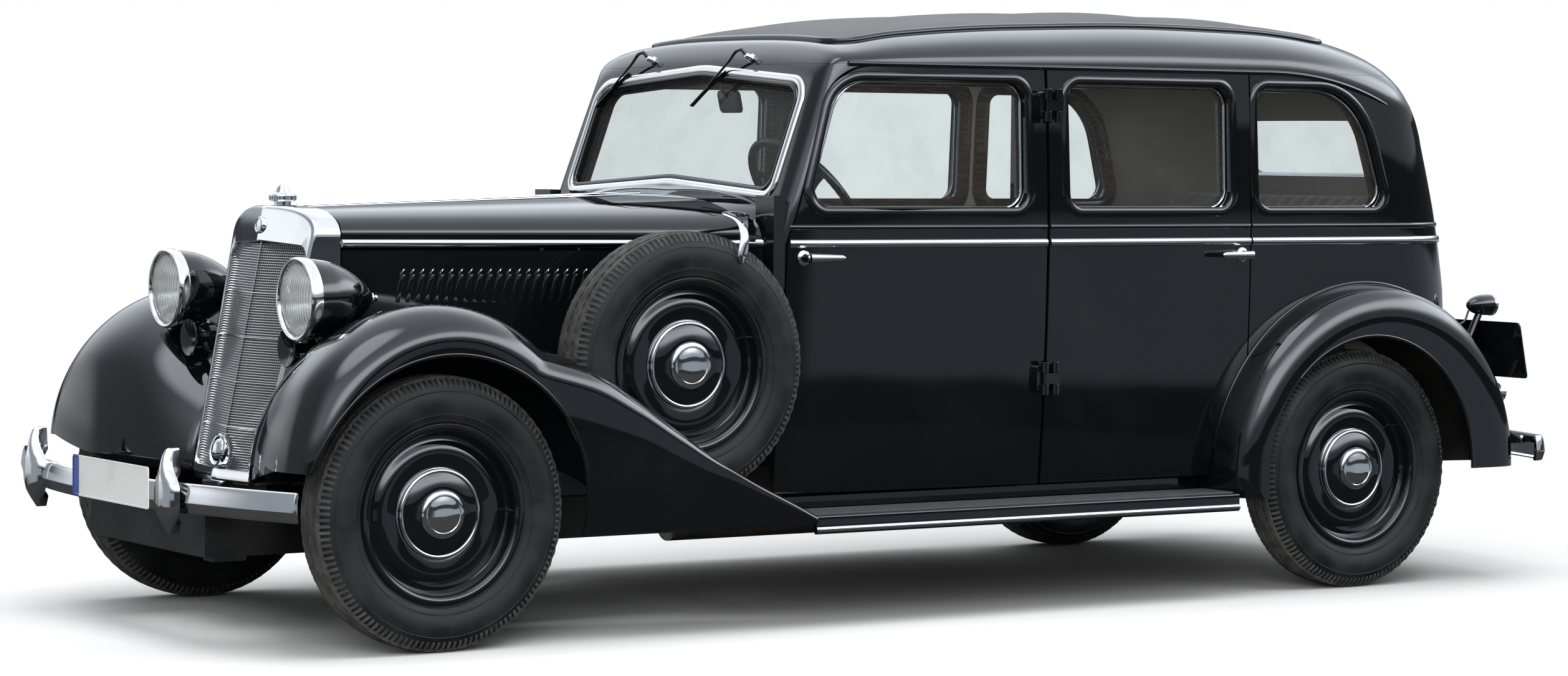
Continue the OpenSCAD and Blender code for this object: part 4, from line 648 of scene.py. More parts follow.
def rear_door_tool(g):
    outline = [(1400, DOOR_LOW_Z - g), (DOOR_REAR_X + g, DOOR_LOW_Z - g), (DOOR_REAR_X + g, DOOR_TOP_Z + g),
               (1400, DOOR_TOP_Z + g)]
    return prism(outline, -CAB_W - 180, -CAB_W + 108, turned_about(DOOR_REAR_X, -8))


def around(count):
    """Equal angles round a full turn."""
    return np.linspace(0, 2 * pi, count, endpoint=False)


def disc_tool(x, z, r, low, high):
    ring = [(x + r * cos(a), z + r * sin(a)) for a in around(160)]
    return prism(ring, low, high, upright)


def front_window(g):
    return rounded([[DOOR_FRONT_X + 60 + g, WINDOW_LOW_Z + g, 55], [DOOR_MID_X - 72 - g, WINDOW_LOW_Z + g, 55],
                    [DOOR_MID_X - 72 - g, WINDOW_HIGH_Z - g, 55], [DOOR_FRONT_X + 168 + g, WINDOW_HIGH_Z - g,
        120]])


def rear_window(g):
    return rounded([[DOOR_MID_X + 72 + g, WINDOW_LOW_Z + g, 55], [DOOR_REAR_X - 72 - g, WINDOW_LOW_Z + g, 55],
                    [DOOR_REAR_X - 72 - g, WINDOW_HIGH_Z - g, 55], [DOOR_MID_X + 72 + g, WINDOW_HIGH_Z - g,
        55]])


def quarter_window(g):
    return rounded([[DOOR_REAR_X + 28 + g, WINDOW_LOW_Z + g, 55], [DOOR_REAR_X + 533 - g, WINDOW_LOW_Z + g, 55],
                    [DOOR_REAR_X + 428 - g, WINDOW_HIGH_Z - g, 220], [DOOR_REAR_X + 28 + g, WINDOW_HIGH_Z - g,
        55]])


def mirrored(piece, name, skins):
    """The same piece on the right side of the car."""
    made = piece.copy()
    made.data = piece.data.copy()
    made.name = made.data.name = name
    scene.collection.objects.link(made)
    made.data.transform(Matrix.Diagonal((1, -1, 1, 1)))
    made.data.flip_normals()
    shade_from(made, skins)
    return made

# Roof: pressed steel panel above the gutter, welded to the posts; the lining hangs under it.
BIG = 6000.0
roof_band = slab((-BIG, -BIG, DRIP_Z), (BIG, BIG, BIG))
roof = cut_from(cab_outer, [("DIFFERENCE", cab_inner), ("INTERSECT", roof_band)], "roof_skin",
                [cab_skin, lining_skin])
ready(roof, "car", "black_paint", "roof_panel")

# Gutter: a rolled lip that runs back above the doors and fades out on the rear corners.
GUTTER_POINT = 26
gutter = Shape()
gutter_at = np.array([cab_section(s, 0.0)[GUTTER_POINT] for s in np.linspace(95, CAB_LEN - 330, 70)])
gutter_out = np.array([cab_skin.normal(Vector((p + (AXLE_X, 0, 0)) * MM))[1] for p in gutter_at])
gutter_at -= gutter_out * 11 * np.clip(np.linspace(-5, 1, 70), 0, 1)[:, None] ** 2
gutter.add(*sweep(gutter_at, gutter_out, half_round(15, 9)), both=True)
ready(gutter.object("roof_gutter", [black_paint]), "car", "black_paint")


def sheet_between(outer, inner):
    """Closed sheet between two grids of points."""
    outer, inner = np.asarray(outer, float), np.asarray(inner, float)
    m, n = outer.shape[:2]
    ring = ([(0, j) for j in range(n)] + [(i, n - 1) for i in range(1, m)] + [(m - 1, j)
        for j in range(n - 2, -1, -1)] + [(i, 0) for i in range(m - 2, 0, -1)])
    ids = [i * n + j for i, j in ring]
    faces = grid(outer)[1]
    faces = faces + [[v + m * n for v in face[::-1]] for face in faces]
    faces += [[b, a, a + m * n, b + m * n] for a, b in zip(ids, ids[1:] + ids[:1])]
    return np.concatenate([outer.reshape(-1, 3), inner.reshape(-1, 3)]), faces


# Cowl: scuttle between bonnet and windscreen, and the front posts with the windscreen's header.
COWL_LOW_Z, COWL_FRONT_X, BONNET_REAR_W, BONNET_REAR_Z = 420.0, 1026.0, 556.0, 1148.0
COWL_REAR_W = CAB_W * 0.895
COWL_TOP_Z, CROWN_POWER = 1172.0, 0.82


def cowl_row(share, t, low=16, crown=26):
    """Left half of the scuttle's section and its mirror, share of the way back to the windscreen."""
    w = BONNET_REAR_W + (COWL_REAR_W - BONNET_REAR_W) * share
    top = BONNET_REAR_Z + (COWL_TOP_Z - BONNET_REAR_Z) * share
    z = np.linspace(COWL_LOW_Z, BELT_Z, low)[:-1]
    a = np.radians(np.linspace(0, 90, crown))
    y = np.concatenate([w * low_share((z - SILL_Z) / (BELT_Z - SILL_Z)) - t,
        (w - t) * np.cos(a) ** CROWN_POWER])
    z = np.concatenate([z, BELT_Z + (top - t - BELT_Z) * np.sin(a) ** CROWN_POWER])
    y[-1] = 0
    x = COWL_FRONT_X + (CAB_FRONT_X - COWL_FRONT_X) * share + share * SCREEN_LEAN * soft_rise(z - SCREEN_LOW_Z,
        SCREEN_SOFT)
    left = np.stack([x, -y, z], 1)
    return np.concatenate([left, left[-2::-1] * (1, -1, 1)])


cowl_steps = np.linspace(0, 1, 9)
scuttle = Shape().add(*sheet_between([cowl_row(f, 0.0) for f in cowl_steps],
    [cowl_row(f, 26.0) for f in cowl_steps]))
scuttle = scuttle.object("cowl_scuttle", [black_paint])
ready(scuttle, "car", "black_paint")
scuttle_skin = Skin(scuttle)


def screen_rows(g, steps=12):
    """Windscreen opening in the cab's front: rows of sideways place and height along the glass."""
    half, foot, dip, head, drop = COWL_REAR_W - 91.5, 1160.0, 32.0, 1487.0, 38.0
    up = 1 / cos(SCREEN_TILT)
    v = [(z - SCREEN_LOW_Z) * up for z in (foot, foot + dip, head - drop, head)]
    return rounded([[-half + g, v[0] + g, 40], [0, v[1] + g, half], [half - g, v[0] + g, 40],
                    [half - g, v[2] - g, 70], [0, v[3] - g, half], [-half + g, v[2] - g, 70]], steps)


def screen_axes(u, v, d):
    """Sideways place, height along the glass and depth behind the cab's front face to x, y, z."""
    c, s = cos(SCREEN_TILT), sin(SCREEN_TILT)
    return CAB_FRONT_X + d * c + v * s, u, SCREEN_LOW_Z - d * s + v * c


GAP = 5.0
front_tools = [front_door_tool(GAP)]
front_tools.append(mirrored(front_tools[0], "cutter_right", []))
screen_tool = prism(screen_rows(0.0), -180, 180, screen_axes)
post_band = slab((-BIG, -BIG, COWL_LOW_Z), (1501, BIG, DRIP_Z - 0.6))
dash_hole = slab((900, -COWL_REAR_W + 90, 0), (CAB_FRONT_X + 90, COWL_REAR_W - 90, SCREEN_LOW_Z - WALL))
posts = cut_from(cab_outer, [("DIFFERENCE", cab_inner), ("INTERSECT", post_band),
    ("DIFFERENCE", front_tools[0]), ("DIFFERENCE", front_tools[1]), ("DIFFERENCE", screen_tool),
    ("DIFFERENCE", dash_hole)], "front_posts", [cab_skin, lining_skin])
ready(posts, "car", "black_paint", "cowl")

# Rear body: quarters and back in one pressing, with the two quarter windows and the back window.
BACK_X, TAIL_LOW_Z = 3635.0, 420.0


def back_rows(g):
    up = 1 / cos(BACK_TILT)
    low, high = ((z - BACK_BEND_Z) * up for z in (1215.0, 1390.0))
    return rounded([[-335 + g, low + g, 60], [335 - g, low + g, 60], [335 - g, high - g, 60],
                    [-335 + g, high - g, 60]])


def back_axes(u, v, d):
    c, s = cos(BACK_TILT), sin(BACK_TILT)
    return BACK_X + d * c - v * s, u, BACK_BEND_Z + d * s + v * c


CUT_OUT_Y, CUT_IN_Y = 790, 520
rear_tools = [rear_door_tool(GAP)]
rear_tools.append(mirrored(rear_tools[0], "cutter_right", []))
quarter_tools = [prism(quarter_window(0.0), s * CUT_OUT_Y, s * CUT_IN_Y, upright) for s in (-1, 1)]
fender_tools = [disc_tool(FENDER_X, FENDER_Z, FENDER_R - 1.0, s * BIG, s * 570) for s in (-1, 1)]
back_tool = prism(back_rows(0.0), -180, 180, back_axes)
tail_band = slab((DOOR_REAR_X - 20, -BIG, TAIL_LOW_Z), (BIG, BIG, DRIP_Z - 0.6))
steps = [("DIFFERENCE", cab_inner), ("INTERSECT", tail_band)]
steps += [("DIFFERENCE", tool) for tool in rear_tools + quarter_tools + fender_tools + [back_tool]]
rear_body = cut_from(cab_outer, steps, "rear_body_skin", [cab_skin, lining_skin])
for face in rear_body.data.polygons:
    if face.center.z < BACK_BEND_Z * MM:
        face.material_index = 0
ready(rear_body, "car", "black_paint", "rear_body")


# Mouldings: a chromed brass belt strip with a painted half-round above it, and a painted bead
# pressed round each window, all following the skin.
def chrome_plate(place):
    """Bright chrome plate with polish haze and faint water marks."""
    haze = place.noise(6.0, 6.0).range(0.4, 0.75)
    hair = place.noise(420.0, 2.0)
    return {"Base Color": haze.blend((0.78, 0.79, 0.80), (0.68, 0.685, 0.69)), "Metallic": 1.0,
            "Roughness": haze * 0.06 + hair * 0.03 + 0.035, "Normal": bump(hair, 0.01)}


chrome = surface("chrome_plate", chrome_plate)


def varnished_wood(place):
    """Brown burr-edged window wood under varnish, with grain along the piece."""
    x, y, z = place.parts()
    bend = place.noise(5.0, 4.0)
    grain = place.node("TexNoise", (),
        {"Vector": place.node("CombineXYZ", (), {0: x * 6.0, 1: y * 60.0 + bend * 2.0,
        2: z * 60.0 + bend * 2.0}), "Scale": 2.0, "Detail": 8.0}).range(0.3, 0.72)
    return {"Base Color": grain.blend((0.024, 0.012, 0.007), (0.062, 0.031, 0.016)),
            "Roughness": grain * 0.12 + 0.2, "Coat Weight": 0.5, "Normal": bump(grain, 0.05)}


wood = surface("window_wood", varnished_wood)
TRIM = [chrome, black_paint, wood]
CHROME, PAINT, WOOD = 0, 1, 2


CREASE_Z, BELT_BAR, CREASE_BAR = 1064.0, half_round(23, 7), half_round(15, 4.5)


def along_side(skin, x0, x1, z, steps):
    """Path on the left side at one height."""
    hits = [skin.from_left(x, z) for x in np.linspace(x0, x1, steps)]
    return [h[0] for h in hits], [h[1] for h in hits]


def belt(shape, skin, x0, x1, steps, both=False, crease=True):
    """Chrome strip at the belt, and the painted moulding above it."""
    shape.add(*sweep(*along_side(skin, x0, x1, BELT_Z, steps), BELT_BAR), CHROME, both)
    if crease:
        shape.add(*sweep(*along_side(skin, x0, x1, CREASE_Z, steps), CREASE_BAR), PAINT, both)


def window_trim(shape, outline, pane, both=False):
    """Bead outside, bright edge at the glass and wood frame inside, round one side window."""
    ring = [cab_skin.from_left(x, z) for x, z in outline(-11.0)]
    shape.add(*sweep([r[0] for r in ring], [r[1] for r in ring], half_round(28, 7), True), PAINT, both)
    ring = [pane.from_left(x, z) for x, z in outline(3.0)]
    shape.add(*sweep([r[0] for r in ring], [(0, -1, 0)] * len(ring), half_round(7, 6, 0.5, 5), True), CHROME,
              both)
    ring = [cab_skin.from_left(x, z) for x, z in outline(-16.0)]
    frame_bar = [(-3, -24), (9, -24), (14, -17), (16, 0), (14, 17), (9, 24), (-3, 24)]
    shape.add(*sweep([p - out * WALL for p, out in ring], [-out for p, out in ring], frame_bar, True), WOOD,
              both)


rear_trim = Shape()
belt(rear_trim, cab_skin, DOOR_REAR_X + 6, 3300, 16, True)
for z, kind, moulding in ((BELT_Z, CHROME, BELT_BAR), (CREASE_Z, PAINT, CREASE_BAR)):
    angles = np.radians(np.linspace(90, -90, 60))
    path, outs = [], []
    for a in angles:
        spot, out = cab_skin.hit(3300 + 900 * cos(a), -300 * sin(a) - 900 * sin(a), z,
            (-cos(a), 0.95 * sin(a), 0))
        path.append(spot)
        outs.append(out)
    rear_trim.add(*sweep(path, outs, moulding), kind)
window_trim(rear_trim, quarter_window, Skin(frame["nodes"]["fixed_windows"]), True)
ready(rear_trim.object("rear_body_trim", TRIM), "car", "bright_metal")

cowl_trim = Shape()
belt(cowl_trim, scuttle_skin, COWL_FRONT_X + 1, CAB_FRONT_X + 4, 6, True, False)
ready(cowl_trim.object("cowl_trim", TRIM), "car", "bright_metal")

# Doors: four steel-skinned doors hung on the centre posts, front ones opening at their front edge.
# Each carries its belt mouldings, window frame, lever handle and two exposed hinges.
HANDLE_Z, HANDLE_OUT = 982.0, 48.0
HINGE_ZS, HINGE_Y, HINGE_OFF, HINGE_H = (642.0, 1402.0), 714.0, 18.0, 30.0


def lathe(profile, steps, origin, axis, face):
    """Body of revolution: profile rows of (radius, distance along axis); face is a vector across the axis."""
    axis, face = np.asarray(axis, float), np.asarray(face, float)
    third = np.cross(axis, face)
    turn = around(steps)
    rows = [[np.asarray(origin) + axis * h + r * (face * cos(a) + third * sin(a)) for a in turn]
            for r, h in profile]
    return capped(rows)


def lever_handle(shape, x, way, side):
    """Lever on a round escutcheon, tapering towards its free end."""
    spot = cab_skin.from_left(x, HANDLE_Z)[0]
    y = spot[1]
    escutcheon = [(0, -2), (21, -2), (21, 3), (18, 6), (13, 8), (11, 20), (10, HANDLE_OUT - 10),
                  (0.5, HANDLE_OUT - 4)]
    points, faces = lathe(escutcheon, 28, (x, y, HANDLE_Z), (0, -1, 0), (1, 0, 0))
    shape.add(points * (1, side, 1), faces, CHROME)
    rows = []
    for t in np.linspace(0, 1, 14):
        r = 10.5 - 3.5 * t if t < 0.93 else 4.0 * (1.02 - t) / 0.09 + 2.2
        bow = 5.0 * sin(pi * t)
        a = around(16)
        rows.append([(x + way * (112 * t - 6), y - HANDLE_OUT + 4 + bow + 0.7 * r * cos(k),
                      HANDLE_Z + r * 1.15 * sin(k)) for k in a])
    points, faces = capped(rows)
    shape.add(points * (1, side, 1), faces, CHROME)


def across_car(outline, ys):
    """Bar with an outline in the car's side, drawn through places across the car."""
    return capped([[(x, y, z) for x, z in outline] for y in ys])


def door_hinges(shape, dx, side):
    """Knuckles above and below the post's tongue, with their straps on the door."""
    way = 1 if dx > 0 else -1
    for z in HINGE_ZS:
        for u in (-1, 1):
            low = z + u * (HINGE_H + 1) - HINGE_H / 2
            barrel = [(6.6, 0), (10, 0), (12, 1.5), (12, HINGE_H - 1.5), (10, HINGE_H), (6.6, HINGE_H)]
            points, faces = lathe(barrel, 24, (DOOR_MID_X + dx, -HINGE_Y, low), (0, 0, 1), (1, 0, 0))
            shape.add(points * (1, side, 1), faces, PAINT)
        strap = rounded([[DOOR_MID_X + dx + way * 4, z - 38, 0], [DOOR_MID_X + dx + way * 22, z - 34, 8],
            [DOOR_MID_X + dx + way * 22, z + 34, 8], [DOOR_MID_X + dx + way * 4, z + 38, 0]])
        points, faces = across_car(strap, (-CAB_W - 7, -CAB_W + 20))
        shape.add(points * (1, side, 1), faces, PAINT)


door_cuts = {"front": (front_door_tool(0.0), slab((0, -BIG, -BIG), (DOOR_MID_X - 5, 0, BIG)), front_window,
    None), "rear": (rear_door_tool(0.0), slab((DOOR_MID_X + 5, -BIG, -BIG), (BIG, 0, BIG)), rear_window,
    disc_tool(FENDER_X, FENDER_Z, FENDER_R + 6.0, -BIG, BIG))}
for end, (zone, half, outline, fender_hole) in door_cuts.items():
    window_tool = prism(outline(0.0), -CUT_OUT_Y, -CUT_IN_Y, upright)
    steps = [("DIFFERENCE", cab_inner), ("INTERSECT", zone), ("INTERSECT", half), ("DIFFERENCE", window_tool)]
    if fender_hole:
        steps.append(("DIFFERENCE", fender_hole))
    left = cut_from(cab_outer, steps, f"door_{end}_left_skin", [cab_skin, lining_skin])
    right = mirrored(left, f"door_{end}_right_skin", [cab_skin, lining_skin])
    pane = Skin(frame["nodes"][f"glass_{end}_left"])
    x0, x1 = (DOOR_FRONT_X + 14, DOOR_MID_X - 6) if end == "front" else (DOOR_MID_X + 6, DOOR_REAR_X - 1)
    for side, hand, skin_piece in ((1, "left", left), (-1, "right", right)):
        body = f"door_{end}_{hand}"
        ready(skin_piece, body, "black_paint", body)
        trim = Shape()
        belt(trim, cab_skin, x0, x1, 24)
        window_trim(trim, outline, pane)
        trim.points = [p * (1, side, 1) for p in trim.points]
        handle_x, points_to = (DOOR_FRONT_X + 52, 1) if end == "front" else (DOOR_REAR_X - 30, -1)
        lever_handle(trim, handle_x, points_to, side)
        door_hinges(trim, -points_to * HINGE_OFF, side)
        ready(trim.object(f"door_{end}_{hand}_trim", TRIM), body, "bright_metal")


# Panes: drawn sheet glass, slightly green, with a thin film of dust and wipe marks.
def pane_look(name, tint):
    made = bpy.data.materials.new(name)
    start = tree_of(made)
    place = start.node("TexCoord", (), (), "Object")
    smear = place.noise(7.0, 5.0).range(0.4, 0.8)
    clear = start.node("BsdfTransparent", (), {"Color": smear.blend(tint, tuple(0.97 * c for c in tint))})
    gloss = start.node("BsdfPrincipled", (), {"Base Color": (0.02, 0.022, 0.022, 1),
        "Roughness": smear * 0.03 + 0.012, "Specular IOR Level": 1.0})
    edge = start.node("Fresnel", (), {"IOR": 1.45})
    outside = 1.0 - start.node("NewGeometry", (), (), "Backfacing")
    dust = start.node("BsdfDiffuse", (), {"Color": smear.blend((0.62, 0.66, 0.66), (0.74, 0.78, 0.78))})
    clear = start.node("MixShader", (), {0: outside * (smear * 0.02 + 0.03), 1: clear, 2: dust})
    put_out(start, start.node("MixShader", (), {0: outside * (edge * 1.8 + smear * 0.012), 1: clear, 2: gloss}))
    return made


window_glass = pane_look("window_glass", (0.945, 0.968, 0.970))
keep_nodes(window_glass, "fixed_windows", "glass_front_left", "glass_front_right", "glass_rear_left",
           "glass_rear_right")
keep_nodes(black_paint, "door_posts", "trafficators")

# Bonnet: two steel lids hinged on a bright rod along the ridge, each with the chrome strip that carries
# on the cab's belt line near its lower edge.
BONNET_FRONT_X, BONNET_REAR_X, BONNET_LOW_Z = -40.0, 1020.0, 1008.0
BONNET_FRONT_W, BONNET_FRONT_Z = 265.0, 1112.0


def bonnet_at(x):
    """Half-width and ridge height of the bonnet at x."""
    share = (x - BONNET_FRONT_X) / (BONNET_REAR_X - BONNET_FRONT_X)
    return (BONNET_FRONT_W + (BONNET_REAR_W - BONNET_FRONT_W) * share,
            BONNET_FRONT_Z + (BONNET_REAR_Z - BONNET_FRONT_Z) * share)


def bonnet_row(x, t, hinge=6.0, steps=40):
    w, top = bonnet_at(x)
    a = np.radians(np.linspace(0, 90, steps))
    y = -hinge - (w - t - hinge) * np.cos(a) ** CROWN_POWER
    z = BONNET_LOW_Z + 30 + (top - t - BONNET_LOW_Z - 30) * np.sin(a) ** CROWN_POWER
    y[-1] = -hinge
    low = np.linspace(BONNET_LOW_Z, BONNET_LOW_Z + 30, 4)[:-1]
    return np.stack([np.full(steps + 3, x), np.concatenate([np.full(3, t - w), y]), np.concatenate([low, z])],
                    1)


xs = np.linspace(BONNET_FRONT_X + 1, BONNET_REAR_X, 12)
for side, hand in ((1, "left"), (-1, "right")):
    lid = Shape().add(*sheet_between([bonnet_row(x, 0.0) for x in xs], [bonnet_row(x, 6.0) for x in xs]))
    strip = np.array([(x, -bonnet_at(x)[0], BELT_Z - 1) for x in xs])
    out = np.array([(0.265, -0.964, 0)] * len(xs))
    lid.add(*sweep(strip, out, half_round(21, 6)), 1)
    lid.points = [p * (1, side, 1) for p in lid.points]
    lid = lid.object(f"bonnet_{hand}_skin", [black_paint, chrome], 30)
    ready(lid, f"bonnet_{hand}", "black_paint", f"bonnet_{hand}")


# Repeats: one Geometry Nodes group lays out copies of a unit in rows or rings; louvres, grille wires,
# tread lugs, ribs and bolts all come from it.
def repeat_group():
    group = bpy.data.node_groups.new("repeat", "GeometryNodeTree")
    group.interface.new_socket("Unit", in_out="INPUT", socket_type="NodeSocketGeometry")
    for label, kind, value in (("Count", "NodeSocketInt", 1), ("Step", "NodeSocketVector", (0, 0, 0)),
            ("Turn", "NodeSocketVector", (0, 0, 0)), ("Grow", "NodeSocketVector", (0, 0, 0)),
            ("Origin", "NodeSocketVector", (0, 0, 0)), ("Material", "NodeSocketMaterial", None)):
        socket = group.interface.new_socket(label, in_out="INPUT", socket_type=kind)
        if value is not None:
            socket.default_value = value
    group.interface.new_socket("Row", in_out="OUTPUT", socket_type="NodeSocketGeometry")
    start = Wire(group, None)
    given = {s.name: Wire(group, s) for s in group.nodes.new("NodeGroupInput").outputs if s.name}
    index = start.node("GeometryNodeInputIndex")
    along = start.node("VectorMath", {"operation": "SCALE"}, {0: given["Step"], "Scale": index})
    place = start.node("VectorMath", {"operation": "ADD"}, {0: given["Origin"], 1: along})
    angle = start.node("VectorMath", {"operation": "SCALE"}, {0: given["Turn"], "Scale": index})
    more = start.node("VectorMath", {"operation": "SCALE"}, {0: given["Grow"], "Scale": index})
    size = start.node("VectorMath", {"operation": "ADD"}, {0: more, 1: (1, 1, 1)})
    points = start.node("GeometryNodePoints", (), {"Count": given["Count"], "Position": place})
    row = start.node("GeometryNodeInstanceOnPoints", (), {"Points": points, "Instance": given["Unit"],
        "Rotation": angle, "Scale": size})
    row = start.node("GeometryNodeRealizeInstances", (), {"Geometry": row})
    row = start.node("GeometryNodeSetMaterial", (), {"Geometry": row, "Material": given["Material"]})
    group.links.new(row.socket, group.nodes.new("NodeGroupOutput").inputs[0])
    return group


repeat_nodes = repeat_group()


def repeat(unit, count, origin, step=(0, 0, 0), turn=(0, 0, 0), grow=(0, 0, 0)):
    """Points and faces of count copies of a unit, in millimetres; each copy steps, turns in degrees and
    grows by a share."""
    mesh = bpy.data.meshes.new("unit")
    mesh.from_pydata((np.asarray(unit[0], float) * MM).tolist(), [],
        [[int(i) for i in face] for face in unit[1]])
    holder = bpy.data.objects.new("unit", mesh)
    scene.collection.objects.link(holder)
    stage = holder.modifiers.new("repeat", "NODES")
    stage.node_group = repeat_nodes
    for socket in repeat_nodes.interface.items_tree:
        if socket.in_out == "INPUT" and socket.name != "Unit":
            stage[socket.identifier] = {"Count": count, "Step": [v * MM for v in step],
                "Turn": [radians(v) for v in turn], "Origin": [v * MM for v in origin], "Grow": list(grow),
                "Material": black_paint}[socket.name]
    bpy.context.view_layer.update()
    made = bpy.data.meshes.new_from_object(holder.evaluated_get(bpy.context.evaluated_depsgraph_get()))
    points = np.array([v.co for v in made.vertices]) / MM
    faces = [list(p.vertices) for p in made.polygons]
    bpy.data.objects.remove(holder)
    return points, faces


# Bonnet sides: fixed panels under the lids, with a row of pressed louvres whose upper ends are chromed.
LOUVRE_X, LOUVRE_LEN, LOUVRE_LOW_Z, LOUVRE_HIGH_Z, LOUVRES = 102.0, 527.0, 862.0, 940.0, 22
slope = (BONNET_REAR_W - BONNET_FRONT_W) / (BONNET_REAR_X - BONNET_FRONT_X)
side_way = np.array([1, -slope, 0]) / hypot(1, slope)
side_out = np.array([-slope, -1, 0]) / hypot(1, slope)


def on_side(u, v, h):
    """Point on a bonnet side: u along from x = 0, height v, h out from the sheet."""
    return np.array([0, -bonnet_at(0.0)[0], 0]) + side_way * u + side_out * h + np.array([0, 0, v])


side_panel = Shape()
us = np.linspace((BONNET_FRONT_X + 1) / side_way[0], (BONNET_REAR_X - 1) / side_way[0], 10)
vs = np.linspace(560, 1001, 8)
side_panel.add(*sheet_between([[on_side(u, v, 0.0) for v in vs] for u in us], [[on_side(u, v, -7.0) for v in vs]
    for u in us]), both=True)
hood = []
for t in np.linspace(0, 1, 15):
    rise = sin(pi * t) ** 0.45 if 0 < t < 1 else 0.02
    v = LOUVRE_LOW_Z + (LOUVRE_HIGH_Z - LOUVRE_LOW_Z) * t
    lean = 16 * (t - 0.5)
    hood.append([on_side(lean + u, v, h * rise - 0.6 if h else -1.2) for u, h in ((0, 0), (3, 1.2), (7, 2.2),
        (11, 2.8), (14.5, 3.0), (15.5, 2.6), (15.2, 1.3), (15, 0))])
gap = side_way * LOUVRE_LEN / (LOUVRES - 1) / side_way[0]
first = side_way * LOUVRE_X / side_way[0]
side_panel.add(*repeat(capped(hood), LOUVRES, first, gap), both=True)
tip = []
for t in np.linspace(0, 1, 9):
    r = 3.6 * sin(pi * (0.08 + 0.84 * t)) ** 0.6
    a = around(10)
    tip.append([on_side(9 + 11 * t + 0.75 * r * cos(k), LOUVRE_HIGH_Z - 3 + 16 * t, 1.9 + 1.2 * r * sin(k))
                for k in a])
side_panel.add(*repeat(capped(tip), LOUVRES, first, gap), 1, True)
side_panel = side_panel.object("bonnet_side_skin", [black_paint, chrome], 40)
ready(side_panel, "car", "black_paint", "bonnet_sides")

ridge = Shape()
rod = np.array([(x, 0, bonnet_at(x)[1] + 0.5) for x in np.linspace(BONNET_FRONT_X + 1, BONNET_REAR_X + 5, 14)])
ridge.add(*sweep(rod, [(0, 0, 1)] * len(rod), [(-5, 0), (-3, 4.5), (1, 5), (4, 3.6), (5, 0), (4, -3.6), (1, -5),
    (-3, -4.5)]))
ready(ridge.object("bonnet_ridge_strip", [chrome]), "car", "bright_metal", "bonnet_hinge")

# Radiator: chromed shell folded from sheet brass, open in front, broad at its head and narrow at the
# sides, with a plain disc where a badge would sit, a plain boss at its foot and a plain filler cap.
RAD_X, RAD_FOOT_Z, RAD_HEAD_Z, RAD_LEAN = -285.0, 385.0, 1114.0, radians(11.6)
RAD_SHOULDER_Z, RAD_FOOT_HALF, RAD_VEE = 1034.0, 215.0, 46.0 / 282.0


def rad_front(y, z, back=0.0):
    """Place x of the shell's leaning, veed front at a sideways place and height."""
    return RAD_X + back + (RAD_VEE * abs(y) + (z - RAD_FOOT_Z) * sin(RAD_LEAN)) / cos(RAD_LEAN)


def rad_half(z):
    """Half-width of the shell's front at a height, where it meets the bonnet's taper."""
    y = RAD_FOOT_HALF
    for k in range(6):
        y = bonnet_at(rad_front(y, z))[0]
    return y


def spread(outline, most=24.0):
    """Outlines at several insets with points added along their long sides, as many on each."""
    base = np.asarray(outline(0.0), float)
    counts = [max(1, ceil(np.linalg.norm(q - p) / most)) for p, q in zip(base, np.roll(base, -1, 0))]

    def at(inset):
        points = np.asarray(outline(inset), float)
        return [p + (q - p) * k / n for p, q, n in zip(points, np.roll(points, -1, 0), counts)
                for k in range(n)]
    return at


@spread
def rad_outline(inset):
    """Outline of the shell's front, from its left foot round to its left shoulder."""
    w, top, low = rad_half(RAD_SHOULDER_Z) - inset, RAD_HEAD_Z - inset, RAD_FOOT_Z + inset
    arch = [(w * copysign(abs(cos(a)) ** 0.78, cos(a)),
             RAD_SHOULDER_Z + (top - RAD_SHOULDER_Z) * sin(a) ** 0.78)
            for a in np.radians(np.linspace(0, 180, 61))]
    foot = rad_half(RAD_FOOT_Z) - inset
    corners = rounded([[-foot, low, 26], [0, low, 0], [foot, low, 26], [w, RAD_SHOULDER_Z, 0],
        [-w, RAD_SHOULDER_Z, 0]], 6)
    return corners[:-2] + arch


@spread
def grille_edge(inset):
    """Opening for the grille: straight sides that follow the shell, and a slightly arched head."""
    low, high = RAD_FOOT_Z + 34 + inset, 1012 - inset
    foot, head = rad_half(low) - 13 - inset, rad_half(high) - 14 - inset
    return rounded([[-foot, low, 20], [0, low, 0], [foot, low, 20], [head, high, 34], [0, high + 12, 500],
                    [-head, high, 34]], 8)


def ring_between(first, second, middle=(0, 700)):
    """Strip of triangles between two rings of different count, both going round by angle."""
    a, b = (np.array(sorted(r, key=lambda p: atan2(p[2] - middle[1], p[1] - middle[0])))
            for r in (first, second))
    ta, tb = (np.arctan2(r[:, 2] - middle[1], r[:, 1] - middle[0]) for r in (a, b))
    n, m, i, j, faces = len(a), len(b), 0, 0, []
    while i < n or j < m:
        next_a = ta[i + 1] if i + 1 < n else (ta[0] + 2 * pi if i < n else 1e9)
        next_b = tb[j + 1] if j + 1 < m else (tb[0] + 2 * pi if j < m else 1e9)
        if next_a <= next_b:
            faces.append([i % n, (i + 1) % n, n + j % m])
            i += 1
        else:
            faces.append([i % n, n + (j + 1) % m, n + j % m])
            j += 1
    return np.concatenate([a, b]), faces


